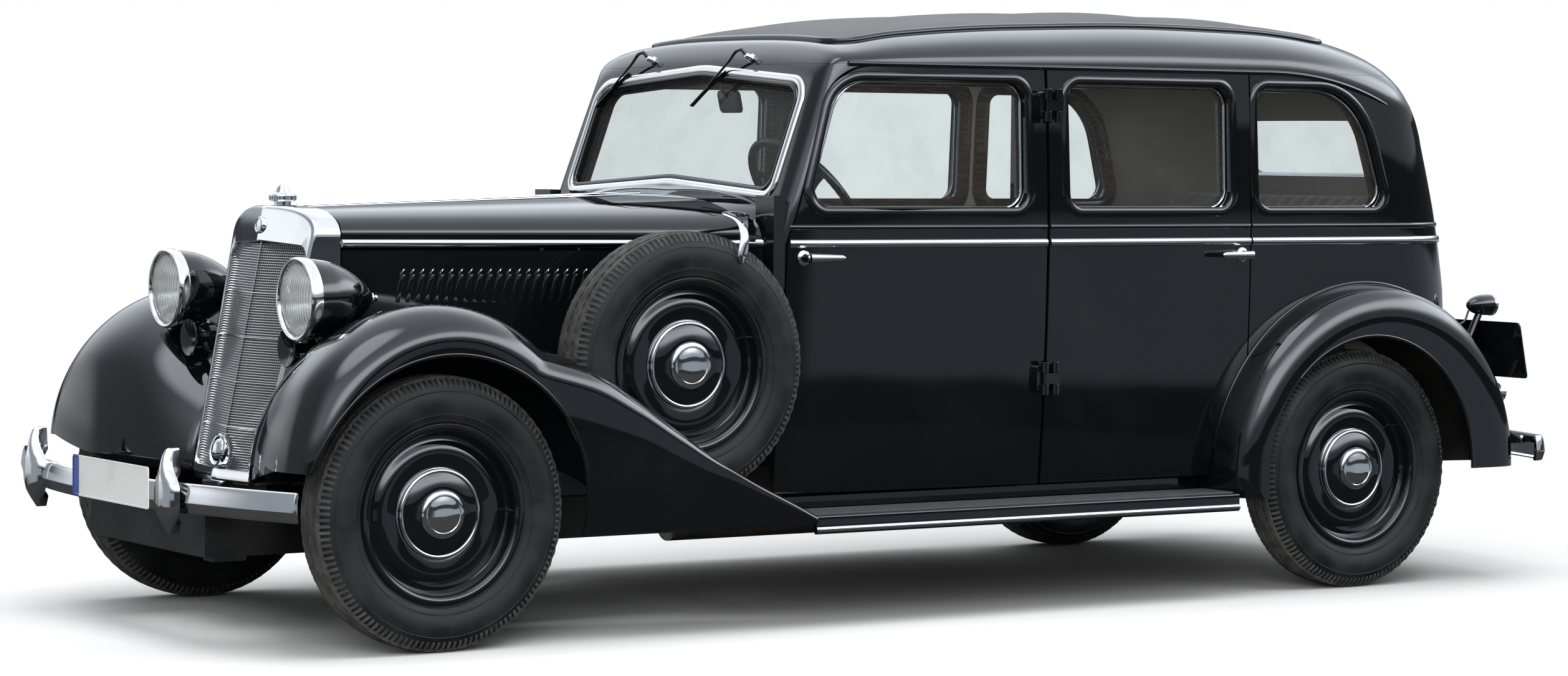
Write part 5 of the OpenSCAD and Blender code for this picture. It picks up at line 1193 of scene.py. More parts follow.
shell = Shape()
rows = [[(rad_front(y, z) + back, y, z) for y, z in rad_outline(inset)] for inset, back in ((14.0, 0.0),
    (6.0, 1.0), (2.0, 4.0), (0.3, 9.0))]
outer = rows[-1]
last = []
for x, y, z in outer:
    grow = bonnet_at(BONNET_FRONT_X)[0] / bonnet_at(x)[0]
    last.append((BONNET_FRONT_X - 1, y * grow, z))
mids = [[np.array(p) + (np.array(q) - np.array(p)) * t for p, q in zip(outer, last)] for t in (0.25, 0.5, 0.75)]
inner = [(BONNET_FRONT_X - 1, y * 0.96, RAD_FOOT_Z + 6 + (z - RAD_FOOT_Z) * 0.985) for x, y, z in last]
shell.add(*grid(rows + mids + [last, inner], wrap=True))
lip = [(rad_front(y, z), y, z) for y, z in grille_edge(0.0)]
shell.add(*ring_between(rows[0], lip))
inside = [[(rad_front(y, z) + d, y, z) for y, z in grille_edge(g)] for d, g in ((0, 0.0), (2, 3.0), (5, 4.0),
    (40, 4.0))]
behind = [(BONNET_FRONT_X - 1, y, z) for y, z in grille_edge(4.0)]
shell.add(*grid(inside + [behind], wrap=True))
shell.add(*ring_between(behind, inner))
rad_out = np.array([-cos(RAD_LEAN), 0, sin(RAD_LEAN)])
rad_up = np.array([sin(RAD_LEAN), 0, cos(RAD_LEAN)])
for z, profile in ((1062.0, [(0.4, -9), (23, -9), (23, 2), (21, 5), (18, 6), (16.5, 4.5), (13, 5.5), (6, 7.5),
        (0.4, 8)]), (470.0, [(0.4, -26), (46, -26), (46, -4), (44, 1), (40, 3), (36, 2), (33, -2), (31, 0),
        (26, 6), (15, 11), (0.4, 13)])):
    shell.add(*lathe(profile, 48, (rad_front(0, z), 0, z), rad_out, rad_up))
plinth = rounded([[-52, 352, 8], [52, 352, 8], [46, 392, 6], [-46, 392, 6]], 5)
shell.add(*capped([[(RAD_X + d, y, z) for y, z in plinth] for d in (-4, 30)]))
ready(shell.object("radiator_shell_chrome", [chrome], 30), "car", "bright_metal", "radiator_shell")

cap = Shape()
CAP_X = -80.0
profile = [(0.4, -14), (22, -14), (22, 12), (32, 13), (35, 17), (35, 27), (32, 31), (24, 33), (19, 38),
           (16, 48), (9, 56), (0.4, 58)]
cap.add(*lathe(profile, 40, (CAP_X, 0, BONNET_FRONT_Z), (0, 0, 1), (1, 0, 0)))
notch = [(35.6 + 1.4 * cos(a), 1.6 * sin(a)) for a in around(6)]
rib = capped([[(u, v, h) for u, v in notch] for h in (16, 28)])
cap.add(*repeat(rib, 28, (CAP_X, 0, BONNET_FRONT_Z), (0, 0, 0), (0, 0, 360 / 28)))
ready(cap.object("radiator_cap_turned", [chrome], 35), "car", "bright_metal", "radiator_cap")


# Grille: a veed mesh of drawn wires, fine uprights behind closer cross wires, with four stouter bars
# and a centre bead, over the dark core of the radiator.
def core_look(place):
    fin = place.parts()[2]
    rows = (fin * 1800.0).maths("SINE", fin * 1800.0)
    return {"Base Color": rows.range(-1, 1).blend((0.006, 0.006, 0.006), (0.022, 0.021, 0.02)),
            "Roughness": rows * 0.05 + 0.6}


def grille_plate(place):
    """Plated brass wire, less bright than the shell."""
    haze = place.noise(9.0, 5.0)
    return {"Base Color": haze.blend((0.62, 0.62, 0.60), (0.50, 0.50, 0.48)), "Metallic": 1.0,
            "Roughness": haze * 0.12 + 0.16}


grille_metal, radiator_core = surface("grille_plate", grille_plate), surface("radiator_core", core_look)
GRILLE_BACK, GRILLE_LOW, GRILLE_HIGH, CROSS_WIRES, UPRIGHTS = 15.0, RAD_FOOT_Z + 40, 1012.0, 88, 26
grille = Shape()


def wire(path, r, sides=6):
    ring = [(r * cos(a), r * sin(a)) for a in around(sides)]
    return sweep(path, [(-1, 0, 0)] * len(path), ring)


low_w, high_w = rad_half(GRILLE_LOW) - 11, rad_half(GRILLE_HIGH) - 12
rise, grow = GRILLE_HIGH - GRILLE_LOW, high_w / low_w - 1
vee = np.array([(RAD_VEE / cos(RAD_LEAN) * abs(y), y, 0) for y in (-low_w, 0, low_w)])
foot_x, climb = rad_front(0, GRILLE_LOW, GRILLE_BACK), tan(RAD_LEAN)
for count, r, first, ahead in ((CROSS_WIRES, 1.35, 0.0, 0.0), (4, 1.9, 0.18, 1.6)):
    gap = rise / (count - 1) if first == 0 else rise * 0.2
    start_z = GRILLE_LOW + rise * first
    scale = 1 + grow * first
    grille.add(*repeat(wire(vee * (scale, scale, 1), r), count, (foot_x + climb * rise * first - ahead, 0,
        start_z), (climb * gap, 0, gap), grow=(grow * gap / rise / scale,) * 2 + (0,)))
upright_wire = wire(np.array([(0, 0, -3), (climb * rise, 0, rise)]), 1.2, 5)
across = low_w / UPRIGHTS
tip = degrees(atan(across * grow / rise))
lean_more = degrees(atan(RAD_VEE * across * grow / rise))
grille.add(*repeat(upright_wire, UPRIGHTS - 1, (foot_x + 2.6 + RAD_VEE * across, -across, GRILLE_LOW),
    (RAD_VEE * across, -across, 0), (tip, lean_more, 0)), both=True)
grille.add(*wire(np.array([(foot_x - 2, 0, GRILLE_LOW - 6), (foot_x - 2 + climb * (rise + 12), 0,
    GRILLE_HIGH + 6)]), 2.4, 8))
core = [[(rad_front(y, z, 40.0), y, z) for y in (10 - rad_half(z), -1, 1, rad_half(z) - 10)]
        for z in (GRILLE_LOW - 6, GRILLE_HIGH + 8)]
grille.add(*sheet_between(core, [[(p[0] + 12, p[1], p[2]) for p in row] for row in core]), 1)
ready(grille.object("radiator_grille_mesh", [grille_metal, radiator_core], 40), "car", "grille_metal",
      "radiator_grille")

# Front fenders: deep steel pressings that roll over the wheel, run down to the running board and fall
# inwards to the radiator; the outer edge is wired and the well takes the spare wheel.
FENDER_W, CROWN_R, CROWN_Z, ARC_FROM, ARC_TO = 815.0, 436.0, 440.0, 176.0, 48.0
TYRE_R, FRONT_ARCH_R, SPARE_X, SPARE_Y, SPARE_Z = 350.0, 405.0, 735.0, 694.0, 708.0
TAIL_X, TAIL_END_Z, SKIRT_Z, TUCK = 1095.0, 306.0, 281.0, 0.11
arc_end = (CROWN_R * cos(radians(ARC_TO)), CROWN_Z + CROWN_R * sin(radians(ARC_TO)))
tail_fall = smooth([[-0.06, -0.04], [0, 0], [.164, .104], [.311, .275], [.459, .466], [.612, .649],
    [.765, .797], [.92, .928], [1, 1]])
edge_drop = smooth([[0, .44], [.3, .5], [.6, .52], [1, .5], [1.35, .5], [2, .08]])


def lerp(a, b, t):
    return a + (b - a) * t


def fender_section(way, t, inner=30, outer=18):
    """Section of the left front fender, t inside the skin; way 0 to 1 is the crown, 1 to 2 the tail."""
    tail = max(0.0, way - 1)
    if way <= 1:
        angle, at = lerp(ARC_FROM, ARC_TO, way), None
    else:
        angle = lerp(ARC_TO, 90, min(1, 3 * tail))
        at = (lerp(arc_end[0], TAIL_X, tail), lerp(arc_end[1], TAIL_END_Z, tail_fall(tail)))

    def place(y, n, turn=0.0):
        if at:
            a = radians(angle)
            return at[0] + cos(a) * n, y, at[1] + sin(a) * n
        a = radians(angle + turn)
        return (CROWN_R + n) * cos(a), y, CROWN_Z + (CROWN_R + n) * sin(a)

    yc = lerp(690, 782, min(1, 2 * tail))
    drop = CROWN_R * edge_drop(way)
    yi = max(bonnet_at(place(0, -drop)[0])[0] + 8, lerp(0, 606, tail))
    shoulder = lerp(90, 14, min(1, 1.5 * tail))
    foot = 13 * min(1, max(0, 1 - way / 0.35))
    skirt = (at[1] - SKIRT_Z) / sin(radians(angle)) if at else 190
    row = [place(-lerp(yc, yi, f), -drop * f ** 2.2 - t, foot * f) for f in np.linspace(1, 0, inner,
        endpoint=False)]
    for a in np.radians(np.linspace(0, 90, outer)):
        row.append(place(-yc - (FENDER_W - yc) * sin(a) + t * sin(a), -shoulder * (1 - cos(a)) - t * cos(a)))
    row += [place(-FENDER_W + t + TUCK * skirt * f * f, -lerp(shoulder + t, skirt, f))
            for f in np.linspace(0.12, 1, 8)]
    return row


ways = np.concatenate([np.linspace(0, 1, 46), np.linspace(1, 2, 44)[1:]])
fender = Shape().add(*sheet_between([fender_section(w, 0.0) for w in ways],
    [fender_section(w, 8.0) for w in ways]))
fender = fender.object("front_fender_former", [black_paint], 50)
fender_skin = Skin(fender)
arch_tool = disc_tool(0, TYRE_R, FRONT_ARCH_R, -BIG, -710)
well_tool = disc_tool(SPARE_X, SPARE_Z, TYRE_R + 6, -SPARE_Y - 81, -SPARE_Y + 81)
stalk_tool = Shape().add(*lathe([(17, 300), (17, 860)], 32, (-120, -372, 0), (0, 0, 1),
    (1, 0, 0))).object("cutter", [lining])
left = cut_from(fender, [("DIFFERENCE", arch_tool), ("DIFFERENCE", well_tool), ("DIFFERENCE", stalk_tool)],
                "front_fender_left_skin", [fender_skin])


def oval(out, side, steps):
    """Section of a wired edge."""
    return [(out * cos(a), side * sin(a)) for a in around(steps)]


right = mirrored(left, "front_fender_right_skin", [])
flipped = Skin(mirrored(fender, "fender_former_right", []))
shade_from(right, [flipped])
bead = Shape()
angles = np.radians(np.linspace(186, -2, 90))
ring = [(FRONT_ARCH_R * cos(a), TYRE_R + FRONT_ARCH_R * sin(a)) for a in angles]
path, outs = [], []
for x, z in ring:
    spot, out = fender_skin.from_left(x * 1.006, TYRE_R + (z - TYRE_R) * 1.006)
    if abs(spot[1] + FENDER_W) < 60 and abs(spot[0] - x) < 12 and abs(spot[2] - z) < 12:
        path.append((x, spot[1] + 3, z))
        outs.append((0, -1, 0))
bead.add(*sweep(path, outs, oval(4, 5.5, 12)), both=True)
ready(left, "car", "black_paint", "front_fenders")
ready(right, "car", "black_paint", "front_fenders")
ready(bead.object("front_fender_beads", [black_paint]), "car", "black_paint")

# Rear fenders: half-round pressings bolted to the body over a rubber piping, with a wired wheel arch.
REAR_X, REAR_ARCH_R, REAR_BODY_Y = 3050.0, 395.0, 690.0
rear_curve = smooth([[0, 1], [.35, .99], [.6, .975], [.78, .95], [.9, .91], [.97, .86], [1.0, .8]])
profile = [(FENDER_R - 8, 585.0), (FENDER_R, 585.0), (FENDER_R, REAR_BODY_Y)]
shares = np.concatenate([np.linspace(0, .8, 14), np.linspace(.8, 1, 16)[1:]])
outer_rows = [(FENDER_R * float(rear_curve(s)), lerp(REAR_BODY_Y, FENDER_W, s)) for s in shares]
outer_rows += [(FENDER_R * r, FENDER_W) for r in np.linspace(.79, .6, 8)]
inner_rows = [(FENDER_R * r, FENDER_W - 8) for r in np.linspace(.6, .79, 8)]
inner_rows += [(FENDER_R * float(rear_curve(s)) - 8, lerp(REAR_BODY_Y, FENDER_W, s) - 8)
               for s in shares[::-1][1:]]
rows = []
for a in around(144):
    rows.append([(FENDER_X + r * cos(a), -y, FENDER_Z + r * sin(a)) for r, y in profile + outer_rows[1:]
                 + inner_rows])
rows.append(rows[0])
rear = Shape().add(*grid(rows, wrap=True)).object("rear_fender_former", [black_paint], 50)
rear_skin = Skin(rear)
cuts = [disc_tool(REAR_X, TYRE_R, REAR_ARCH_R, -BIG, -REAR_BODY_Y - 20),
        slab((REAR_X, -BIG, -BIG), (BIG, 0, 342)), slab((0, -BIG, -BIG), (REAR_X + 20, 0, 285))]
left = cut_from(rear, [("DIFFERENCE", tool) for tool in cuts], "rear_fender_left_skin", [rear_skin])
right = mirrored(left, "rear_fender_right_skin", [])
shade_from(right, [Skin(mirrored(rear, "rear_former_right", []))])
bead = Shape()
angles = np.radians(np.linspace(189, -1, 90))
path = [(REAR_X + REAR_ARCH_R * cos(a), -FENDER_W + 3, TYRE_R + REAR_ARCH_R * sin(a)) for a in angles]
path = [p for p in path if hypot(p[0] - FENDER_X, p[2] - FENDER_Z) < 0.8 * FENDER_R and p[2] > 285]
bead.add(*sweep(path, [(0, -1, 0)] * len(path), oval(4, 5.5, 12)), both=True)
piping = []
for a in np.radians(np.linspace(172, -2, 80)):
    beside = cab_skin.from_left(FENDER_X + (FENDER_R + 4) * cos(a), FENDER_Z + (FENDER_R + 4) * sin(a))[0]
    piping.append((FENDER_X + (FENDER_R + 1) * cos(a), beside[1] - 2, FENDER_Z + (FENDER_R + 1) * sin(a)))
piping = [p for p in piping if p[0] < 3560]
bead.add(*sweep(piping, [(0, -1, 0)] * len(piping), oval(3.5, 4.5, 10)), both=True)
ready(left, "car", "black_paint", "rear_fenders")
ready(right, "car", "black_paint", "rear_fenders")
ready(bead.object("rear_fender_beads", [black_paint]), "car", "black_paint")

# Wheel housings: flat steel walls that close each rear fender to the body behind and above the tyre.
HOUSING_Y, HOUSING_T = 584.0, 2.0
turns = np.radians(np.linspace(-0.5, 100, 40))
wall = [[(REAR_X + REAR_ARCH_R * cos(a), TYRE_R + REAR_ARCH_R * sin(a)), (FENDER_X + (FENDER_R - 2) * cos(a),
    FENDER_Z + (FENDER_R - 2) * sin(a))] for a in turns]
housing = Shape().add(*sheet_between(*([[(x, y, z) for x, z in row] for row in wall]
    for y in (-HOUSING_Y - HOUSING_T, -HOUSING_Y + HOUSING_T))), both=True)
ready(housing.object("rear_wheel_housings", [chassis_black]), "car", "black_paint")


# Running boards: steel steps under a ribbed rubber mat, with a bright strip along the outer edge.
def ribbed_rubber(place):
    grime = place.noise(9.0, 7.0).range(0.4, 0.75)
    grain = place.noise(900.0, 2.0)
    return {"Base Color": grime.blend((0.016, 0.016, 0.016), (0.05, 0.047, 0.043)),
            "Roughness": grime * 0.25 + 0.5, "Normal": bump(grain, 0.2)}


step_rubber = surface("step_rubber", ribbed_rubber)
BOARD_X0, BOARD_X1, BOARD_IN, BOARD_W, BOARD_Z = TAIL_X + 1, 2551.0, 640.0, 806.0, 306.0
board = Shape()
edge = rounded([[-BOARD_W, BOARD_Z - 4, 6], [-BOARD_IN, BOARD_Z - 4, 0], [-BOARD_IN, BOARD_Z - 22, 0],
                [-BOARD_W + 14, BOARD_Z - 22, 0], [-BOARD_W + 10, BOARD_Z - 54, 3],
                [-BOARD_W, BOARD_Z - 54, 3]], 5)
board.add(*capped([[(x, y, z) for y, z in edge] for x in (BOARD_X0, BOARD_X1)]))
rib = [(0, -1), (4.6, -1), (4.2, 2.6), (3.4, 3.4), (1.2, 3.4), (0.4, 2.6)]
rib_unit = capped([[(x, y, h) for y, h in rib] for x in (0, BOARD_X1 - BOARD_X0 - 12)])
board.add(*repeat(rib_unit, 17, (BOARD_X0 + 6, -BOARD_W + 22, BOARD_Z - 3.6), (0, 8.2, 0)), 1)
strip = [(x, -BOARD_W, BOARD_Z - 42) for x in np.linspace(BOARD_X0, BOARD_X1, 6)]
board.add(*sweep(strip, [(0, -1, 0)] * 6, half_round(16, 5)), 2)
points, faces, kinds = np.concatenate(board.points), board.faces, board.kinds
boards = Shape()
for side in (1, -1):
    boards.add(points * (1, side, 1), faces)
    boards.kinds[-len(faces):] = kinds
ready(boards.object("running_board_skin", [black_paint, step_rubber, chrome], 40), "car", "step_rubber",
      "running_boards")


# Tyres: cross-ply rubber with zigzag ribs, serrated shoulders and a raised line on the side wall;
# one is modelled and carried to the four road wheels and the two spares.
def tyre_rubber_look(place):
    dust = place.noise(11.0, 8.0).range(0.35, 0.75)
    grain = place.noise(1400.0, 2.0)
    return {"Base Color": dust.blend((0.008, 0.0082, 0.009), (0.022, 0.022, 0.0225)),
            "Specular IOR Level": 0.28, "Roughness": dust * 0.22 + grain * 0.08 + 0.42,
            "Normal": bump(grain, 0.15)}


def tread_look(place):
    """Run-in tread: greyer and rougher than the side wall, with road dust in patches."""
    dust = place.noise(24.0, 7.0).range(0.35, 0.7)
    grain = place.noise(700.0, 3.0)
    return {"Base Color": (dust * 0.7 + grain * 0.3).blend((0.030, 0.030, 0.030), (0.085, 0.083, 0.079)),
            "Roughness": grain * 0.15 + 0.68, "Specular IOR Level": 0.28, "Normal": bump(grain, 0.3)}


tyre_rubber, tread_rubber = surface("tyre_rubber", tyre_rubber_look), surface("tread_rubber", tread_look)


def turned_ring(profile, steps=160):
    """Closed ring about a sideways axis from a closed profile of (radius, outward)."""
    rows = [[(r * cos(a), -h, r * sin(a)) for r, h in profile] for a in around(steps)]
    return grid(rows + rows[:1], wrap=True)


wall_curve = smooth([[216, 50], [231, 56], [240, 61], [258, 70], [285, 75], [305, 72.5], [322, 66], [334, 58],
    [341, 48]])
radii = [216, 222, 228, 231, 233, 236, 238, 240, 246, 250, 252, 254, 258, 266, 276, 285, 295, 305, 309, 310.5,
         312, 316, 322, 328, 334, 338, 341]
half = [(r, float(wall_curve(r)) + (1.2 if r in (236, 252, 310.5) else 0.0)) for r in radii]
tyre = Shape().add(*turned_ring(half + [(342.5, 30), (343, 0), (342.5, -30)] + [(r, -h)
    for r, h in half[::-1]]))
PITCHES = 66
turn = radians(360 / PITCHES)
unit_points, unit_faces = [], []
for k, mid in enumerate((-36.5, -18.0, 0.0, 18.0, 36.5)):
    rows = []
    for t in np.linspace(0, 1, 5):
        shift = 4.2 * (1 - abs(2 * t - 1)) * (1 if k % 2 == 0 else -1)
        wide = 7.0 if abs(mid) < 30 else 8.5
        top = 350.0 - 2.2 * (abs(mid) / 40) ** 2
        section = [(340.0, -wide - 1.2), (top - 0.8, -wide), (top, -wide + 1.0), (top, wide - 1.0),
                   (top - 0.8, wide), (340.0, wide + 1.2)]
        rows.append([(r * cos(t * turn), -(mid + shift + h), r * sin(t * turn)) for r, h in section])
    points, faces = grid(rows, wrap=True)
    unit_faces += [[i + len(unit_points) for i in face] for face in faces]
    unit_points += points.tolist()
tyre.add(*repeat((np.array(unit_points), unit_faces), PITCHES, (0, 0, 0), (0, 0, 0), (0, -360 / PITCHES, 0)), 1)
LUGS = 132
for side in (-1, 1):
    rows = []
    for r, h in ((347.2, 45.0), (343.0, 50.5), (334.0, 60.8), (325.0, 66.2), (320.0, 66.0)):
        a = radians(360 / LUGS) * 0.29
        rows.append([(r * cos(v) - (0 if u else 9), -side * (h - (0 if u else 7)), r * sin(v))
                     for v, u in ((-a, 0), (-a * 0.8, 1), (a * 0.8, 1), (a, 0))])
    tyre.add(*repeat(capped(rows), LUGS, (0, 0, 0), (0, 0, 0), (0, 360 / LUGS, 0)), 1)
tyre_points, tyre_faces = np.concatenate(tyre.points), tyre.faces

# Wheels: pressed steel discs in black enamel on a welded rim, each with a thin chromed hub-cap
# ring, a black dome and a small plain chromed boss.
RIM = [(206, -54), (213, -63), (222, -63.5), (229, -62), (230.5, -58), (228, -54.5), (217, -54), (216, -50),
       (214, -20), (214, 20), (216, 50), (217, 54), (228, 54.5), (230.5, 58), (229, 62), (222, 63.5), (214, 62),
       (209, 58), (206.5, 50), (205, 40), (202, 30), (196, 24), (188, 24), (181, 27), (174, 32), (166, 35),
       (158, 36), (148, 35.4), (138, 34), (129, 33), (123, 32), (119, 31)]
CAP_RING = [(121, 30), (116, 30.5), (115.5, 36), (114, 40), (111.5, 42.5), (108, 43), (105.5, 41.5),
            (104.5, 38)]
DOME = [(106, 39.5), (99, 42.5), (90, 45.8), (80, 48.5), (72, 50), (66, 50.6), (60, 50.8)]
BOSS = [(62, 47), (62, 53), (60.5, 57), (57, 60), (52, 61.4), (48, 61.8), (46.5, 60), (43, 60.6), (36, 62.4),
        (22, 64.2), (8, 64.8), (0.4, 64.8)]


def wheel_shape(shape, hub, drum):
    """One wheel about the origin, its outside towards -Y; hub is the radius and depth of its inner end."""
    axis = ((0, 0, 0), (0, -1, 0), (1, 0, 0))
    inner = [(206, 30), (198, 12), (186, 10), (166, 24), (drum, 16), (drum, -hub),
             (23 if drum > 100 else 0.5, -hub)]
    inner += [(23, 12), (0.5, 12)] if drum > 100 else []
    shape.add(*lathe(inner[::-1] + RIM + [(118, 20), (0.4, 20)], 128, *axis), 0)
    shape.add(*lathe([(0.4, 26), (120, 26)] + CAP_RING + [(90, 30), (0.4, 30)], 96, *axis), 1)
    shape.add(*lathe([(0.4, 30), (105, 30)] + DOME + [(60, 34), (0.4, 34)], 96, *axis), 0)
    shape.add(*lathe([(0.4, 34)] + BOSS, 96, *axis), 1)
    stem = lathe([(0.4, 0), (4.2, 0), (4.2, 14), (3.4, 15), (3.4, 26), (2.4, 28), (0.4, 28)], 14, (199, -24, 0),
                 (0.35, -0.94, 0), (0.94, 0.35, 0))
    shape.add(*stem, 0)


road_wheel, spare_wheel = Shape(), Shape()
wheel_shape(road_wheel, 45.0, 150.0)
wheel_shape(spare_wheel, 22.0, 52.0)


def placed(shape, centre, side, turn=0.0):
    """Points of a wheel-borne shape at one place, mirrored for the right side and rolled by turn degrees."""
    c, s = cos(radians(turn)), sin(radians(turn))
    points = shape if isinstance(shape, np.ndarray) else np.concatenate(shape.points)
    points = points @ np.array([[c, 0, s], [0, 1, 0], [-s, 0, c]])
    return (points + np.asarray(centre)) * (1, side, 1)


for end, x, y, roll in (("front", 0.0, 700.0, 0.0), ("rear", 3050.0, 685.0, 37.0)):
    for side, hand in ((1, "left"), (-1, "right")):
        body = f"road_wheel_{end}_{hand}"
        piece = Shape().add(placed(tyre_points, (x, -y, TYRE_R), side, roll), tyre_faces)
        piece.kinds = list(tyre.kinds)
        ready(piece.object(f"tyre_{end}_{hand}_rubber", [tyre_rubber, tread_rubber], 28), body, "tyre_rubber",
              f"tyre_{end}_{hand}")
        piece = Shape().add(placed(road_wheel, (x, -y, TYRE_R), side, roll), road_wheel.faces)
        piece.kinds = list(road_wheel.kinds)
        ready(piece.object(f"wheel_{end}_{hand}_disc", [black_paint, chrome], 42), body, "black_paint",
              f"wheel_{end}_{hand}")

spare_rubber, spare_disc = Shape(), Shape()
for side in (1, -1):
    spare_rubber.add(placed(tyre_points, (SPARE_X, -SPARE_Y, SPARE_Z), side, 20.0), tyre_faces)
    spare_rubber.kinds[-len(tyre_faces):] = tyre.kinds
    spare_disc.add(placed(spare_wheel, (SPARE_X, -SPARE_Y, SPARE_Z), side, 20.0), spare_wheel.faces)
    spare_disc.kinds[-len(spare_wheel.faces):] = spare_wheel.kinds
    post = lathe([(0.4, 0), (19, 0), (19, SPARE_Y - bonnet_at(SPARE_X)[0]),
                  (0.4, SPARE_Y - bonnet_at(SPARE_X)[0])], 24, (SPARE_X, -SPARE_Y, SPARE_Z), (0, 1, 0),
                 (1, 0, 0))
    spare_disc.add(post[0] * (1, side, 1), post[1], 0)
ready(spare_rubber.object("spare_tyre_rubber", [tyre_rubber, tread_rubber], 28), "car", "tyre_rubber",
      "spare_tyres")
ready(spare_disc.object("spare_wheel_discs", [black_paint, chrome], 42), "car", "black_paint", "spare_wheels")


# Headlamps: black bullet shells with a chromed rim, a plated reflector, a bulb and a fluted lens, each on
# a curved bracket that stands on the frame.
def lamp_lens_look():
    made = bpy.data.materials.new("lamp_glass")
    start = tree_of(made)
    place = start.node("TexCoord", (), (), "Object")
    x, y, z = place.parts()
    flute = (y * 620.0).maths("SINE", y * 620.0)
    block = (z * 150.0).maths("SINE", z * 150.0)
    height = flute * 0.6 + block * 0.25
    normal = bump(height, 0.7, 0.002)
    clear = start.node("BsdfTransparent", (), {"Color": height.range(-0.9, 0.9).blend((0.88, 0.90, 0.90),
        (0.97, 0.98, 0.98))})
    # The lens's pale colour, lighter and darker along the flutes, is painted glint: it stands in for the lit
    # reflector seen through the clear fluted glass.
    body = start.node("BsdfPrincipled", (), {"Base Color": height.range(-0.9, 0.9).blend((0.62, 0.64, 0.635),
        (0.86, 0.87, 0.865)), "Roughness": height.range(-1, 1) * 0.08 + 0.06, "Normal": normal,
        "Specular IOR Level": 0.8})
    edge = start.node("Fresnel", (), {"IOR": 1.5, "Normal": normal})
    outside = 1.0 - start.node("NewGeometry", (), (), "Backfacing")
    # How much of the painted glint lies over the clear glass, more at grazing angles by the Fresnel edge.
    painted_glint_share = outside * (edge * 0.8 + (height.range(-1, 1) * 0.2 + 0.42))
    put_out(start, start.node("MixShader", (), {0: painted_glint_share, 1: clear, 2: body}))
    return made


lamp_glass = lamp_lens_look()
LAMP_X, LAMP_Y, LAMP_Z, LAMP_R, LAMP_LEN = -232.0, 400.0, 881.0, 106.0, 215.0
bullet = smooth([[0, 1], [.1, 1], [.3, .965], [.5, .85], [.7, .655], [.87, .40], [.95, .22], [.99, .09],
    [1, .02]])
shares = np.concatenate([np.linspace(0.02, .9, 24), np.linspace(.9, 1, 8)[1:]])
axis = ((LAMP_X, -LAMP_Y, LAMP_Z), (1, 0, 0), (0, 0, 1))
lamps = Shape()
outside = [(LAMP_R * float(bullet(s)) - 2.0, LAMP_LEN * s) for s in shares]
inside = [(max(0.4, (LAMP_R - 9) * sqrt(max(0.0, 1 - s)) ** 0.9), 14 + 120 * s) for s in np.linspace(1, 0, 14)]
lamps.add(*lathe(inside + [(LAMP_R - 3, 8)] + outside[1:], 72, *axis), 0, True)
reflector = [(max(0.4, (LAMP_R - 10.5) * sqrt(max(0.0, 1 - s)) ** 0.9), 12 + 116 * s) for s in np.linspace(0, 1,
    16)]
lamps.add(*lathe(reflector[::-1] + [(r + 1.0, h - 1.2) for r, h in reflector[1:]], 72, *axis), 2, True)
rim = [(LAMP_R - 12.5, 2), (LAMP_R - 12, -4), (LAMP_R - 8, -9), (LAMP_R - 3, -10), (LAMP_R + 0.5, -7),
       (LAMP_R + 2.2, 0), (LAMP_R + 2.4, 8), (LAMP_R + 2, 18), (LAMP_R + 0.6, 22), (LAMP_R - 2, 23),
       (LAMP_R - 4, 12)]
rows = [[np.array(axis[0]) + np.array((h, r * sin(a), r * cos(a))) for r, h in rim] for a in around(72)]
lamps.add(*grid(rows + rows[:1], wrap=True), 1, True)
nut = [(0.4, LAMP_LEN - 12), (15, LAMP_LEN - 12), (15, LAMP_LEN - 3), (10, LAMP_LEN + 2), (9, LAMP_LEN + 9),
       (5, LAMP_LEN + 12), (0.4, LAMP_LEN + 13)]
lamps.add(*lathe(nut, 24, *axis), 1, True)
screw = lathe([(0.4, 0), (5, 0), (5, 3), (3.6, 4.4), (0.4, 4.8)], 14,
              (LAMP_X + 10, -LAMP_Y, LAMP_Z - LAMP_R - 2), (0, 0, -1), (1, 0, 0))
lamps.add(*screw, 1, True)
bulb = [(0.4, 0), (9, 0), (9, 26), (12, 34), (14, 44), (12, 54), (7, 61), (0.4, 63)]
lamps.add(*lathe([(r, 128 - h) for r, h in bulb], 24, *axis), 3, True)
base = lathe([(0.4, 122), (16, 122), (16, 112), (11, 108), (0.4, 108)], 24, *axis)
lamps.add(*base, 1, True)


def tube(path, radii, sides=16):
    """Bar through points with a radius at each, its frame carried along the path."""
    path = np.asarray(path, float)
    ahead = np.gradient(path, axis=0)
    ahead /= np.linalg.norm(ahead, axis=1)[:, None]
    side = np.cross(ahead[0], (0.3, 0.9, 0.31))
    rows = []
    for p, d, r in zip(path, ahead, np.broadcast_to(radii, len(path))):
        side = side - d * (side @ d)
        side /= np.linalg.norm(side)
        up = np.cross(d, side)
        rows.append([p + r * (side * cos(a) + up * sin(a)) for a in around(sides)])
    return capped(rows)


def curve(points, steps=24):
    """Smooth path through points."""
    points = np.asarray(points, float)
    t = np.concatenate([[0], np.cumsum(np.linalg.norm(np.diff(points, axis=0), axis=1))])
    at = np.linspace(0, t[-1], steps)
    return np.stack([smooth(list(zip(t, points[:, k])))(at) for k in range(3)], 1)


stalk = curve([(-120, -372, 340), (-120, -372, 560), (-122, -372, 700), (-130, -386, 770), (-140, -398, 790)])
lamps.add(*tube(stalk, np.linspace(16, 13, 24)), 0, True)
saddle = lathe([(0.4, 0), (30, 0), (34, 6), (30, 16), (20, 26), (14, 34), (0.4, 36)], 24, (-140, -399, 776),
               (0, 0, 1), (1, 0, 0))
lamps.add(*saddle, 0, True)
foot_block = rounded([[-140, 337, 4], [-100, 337, 4], [-100, 366, 8], [-140, 366, 8]], 4)
lamps.add(*across_car(foot_block, (-388, -300.5)), 0, True)


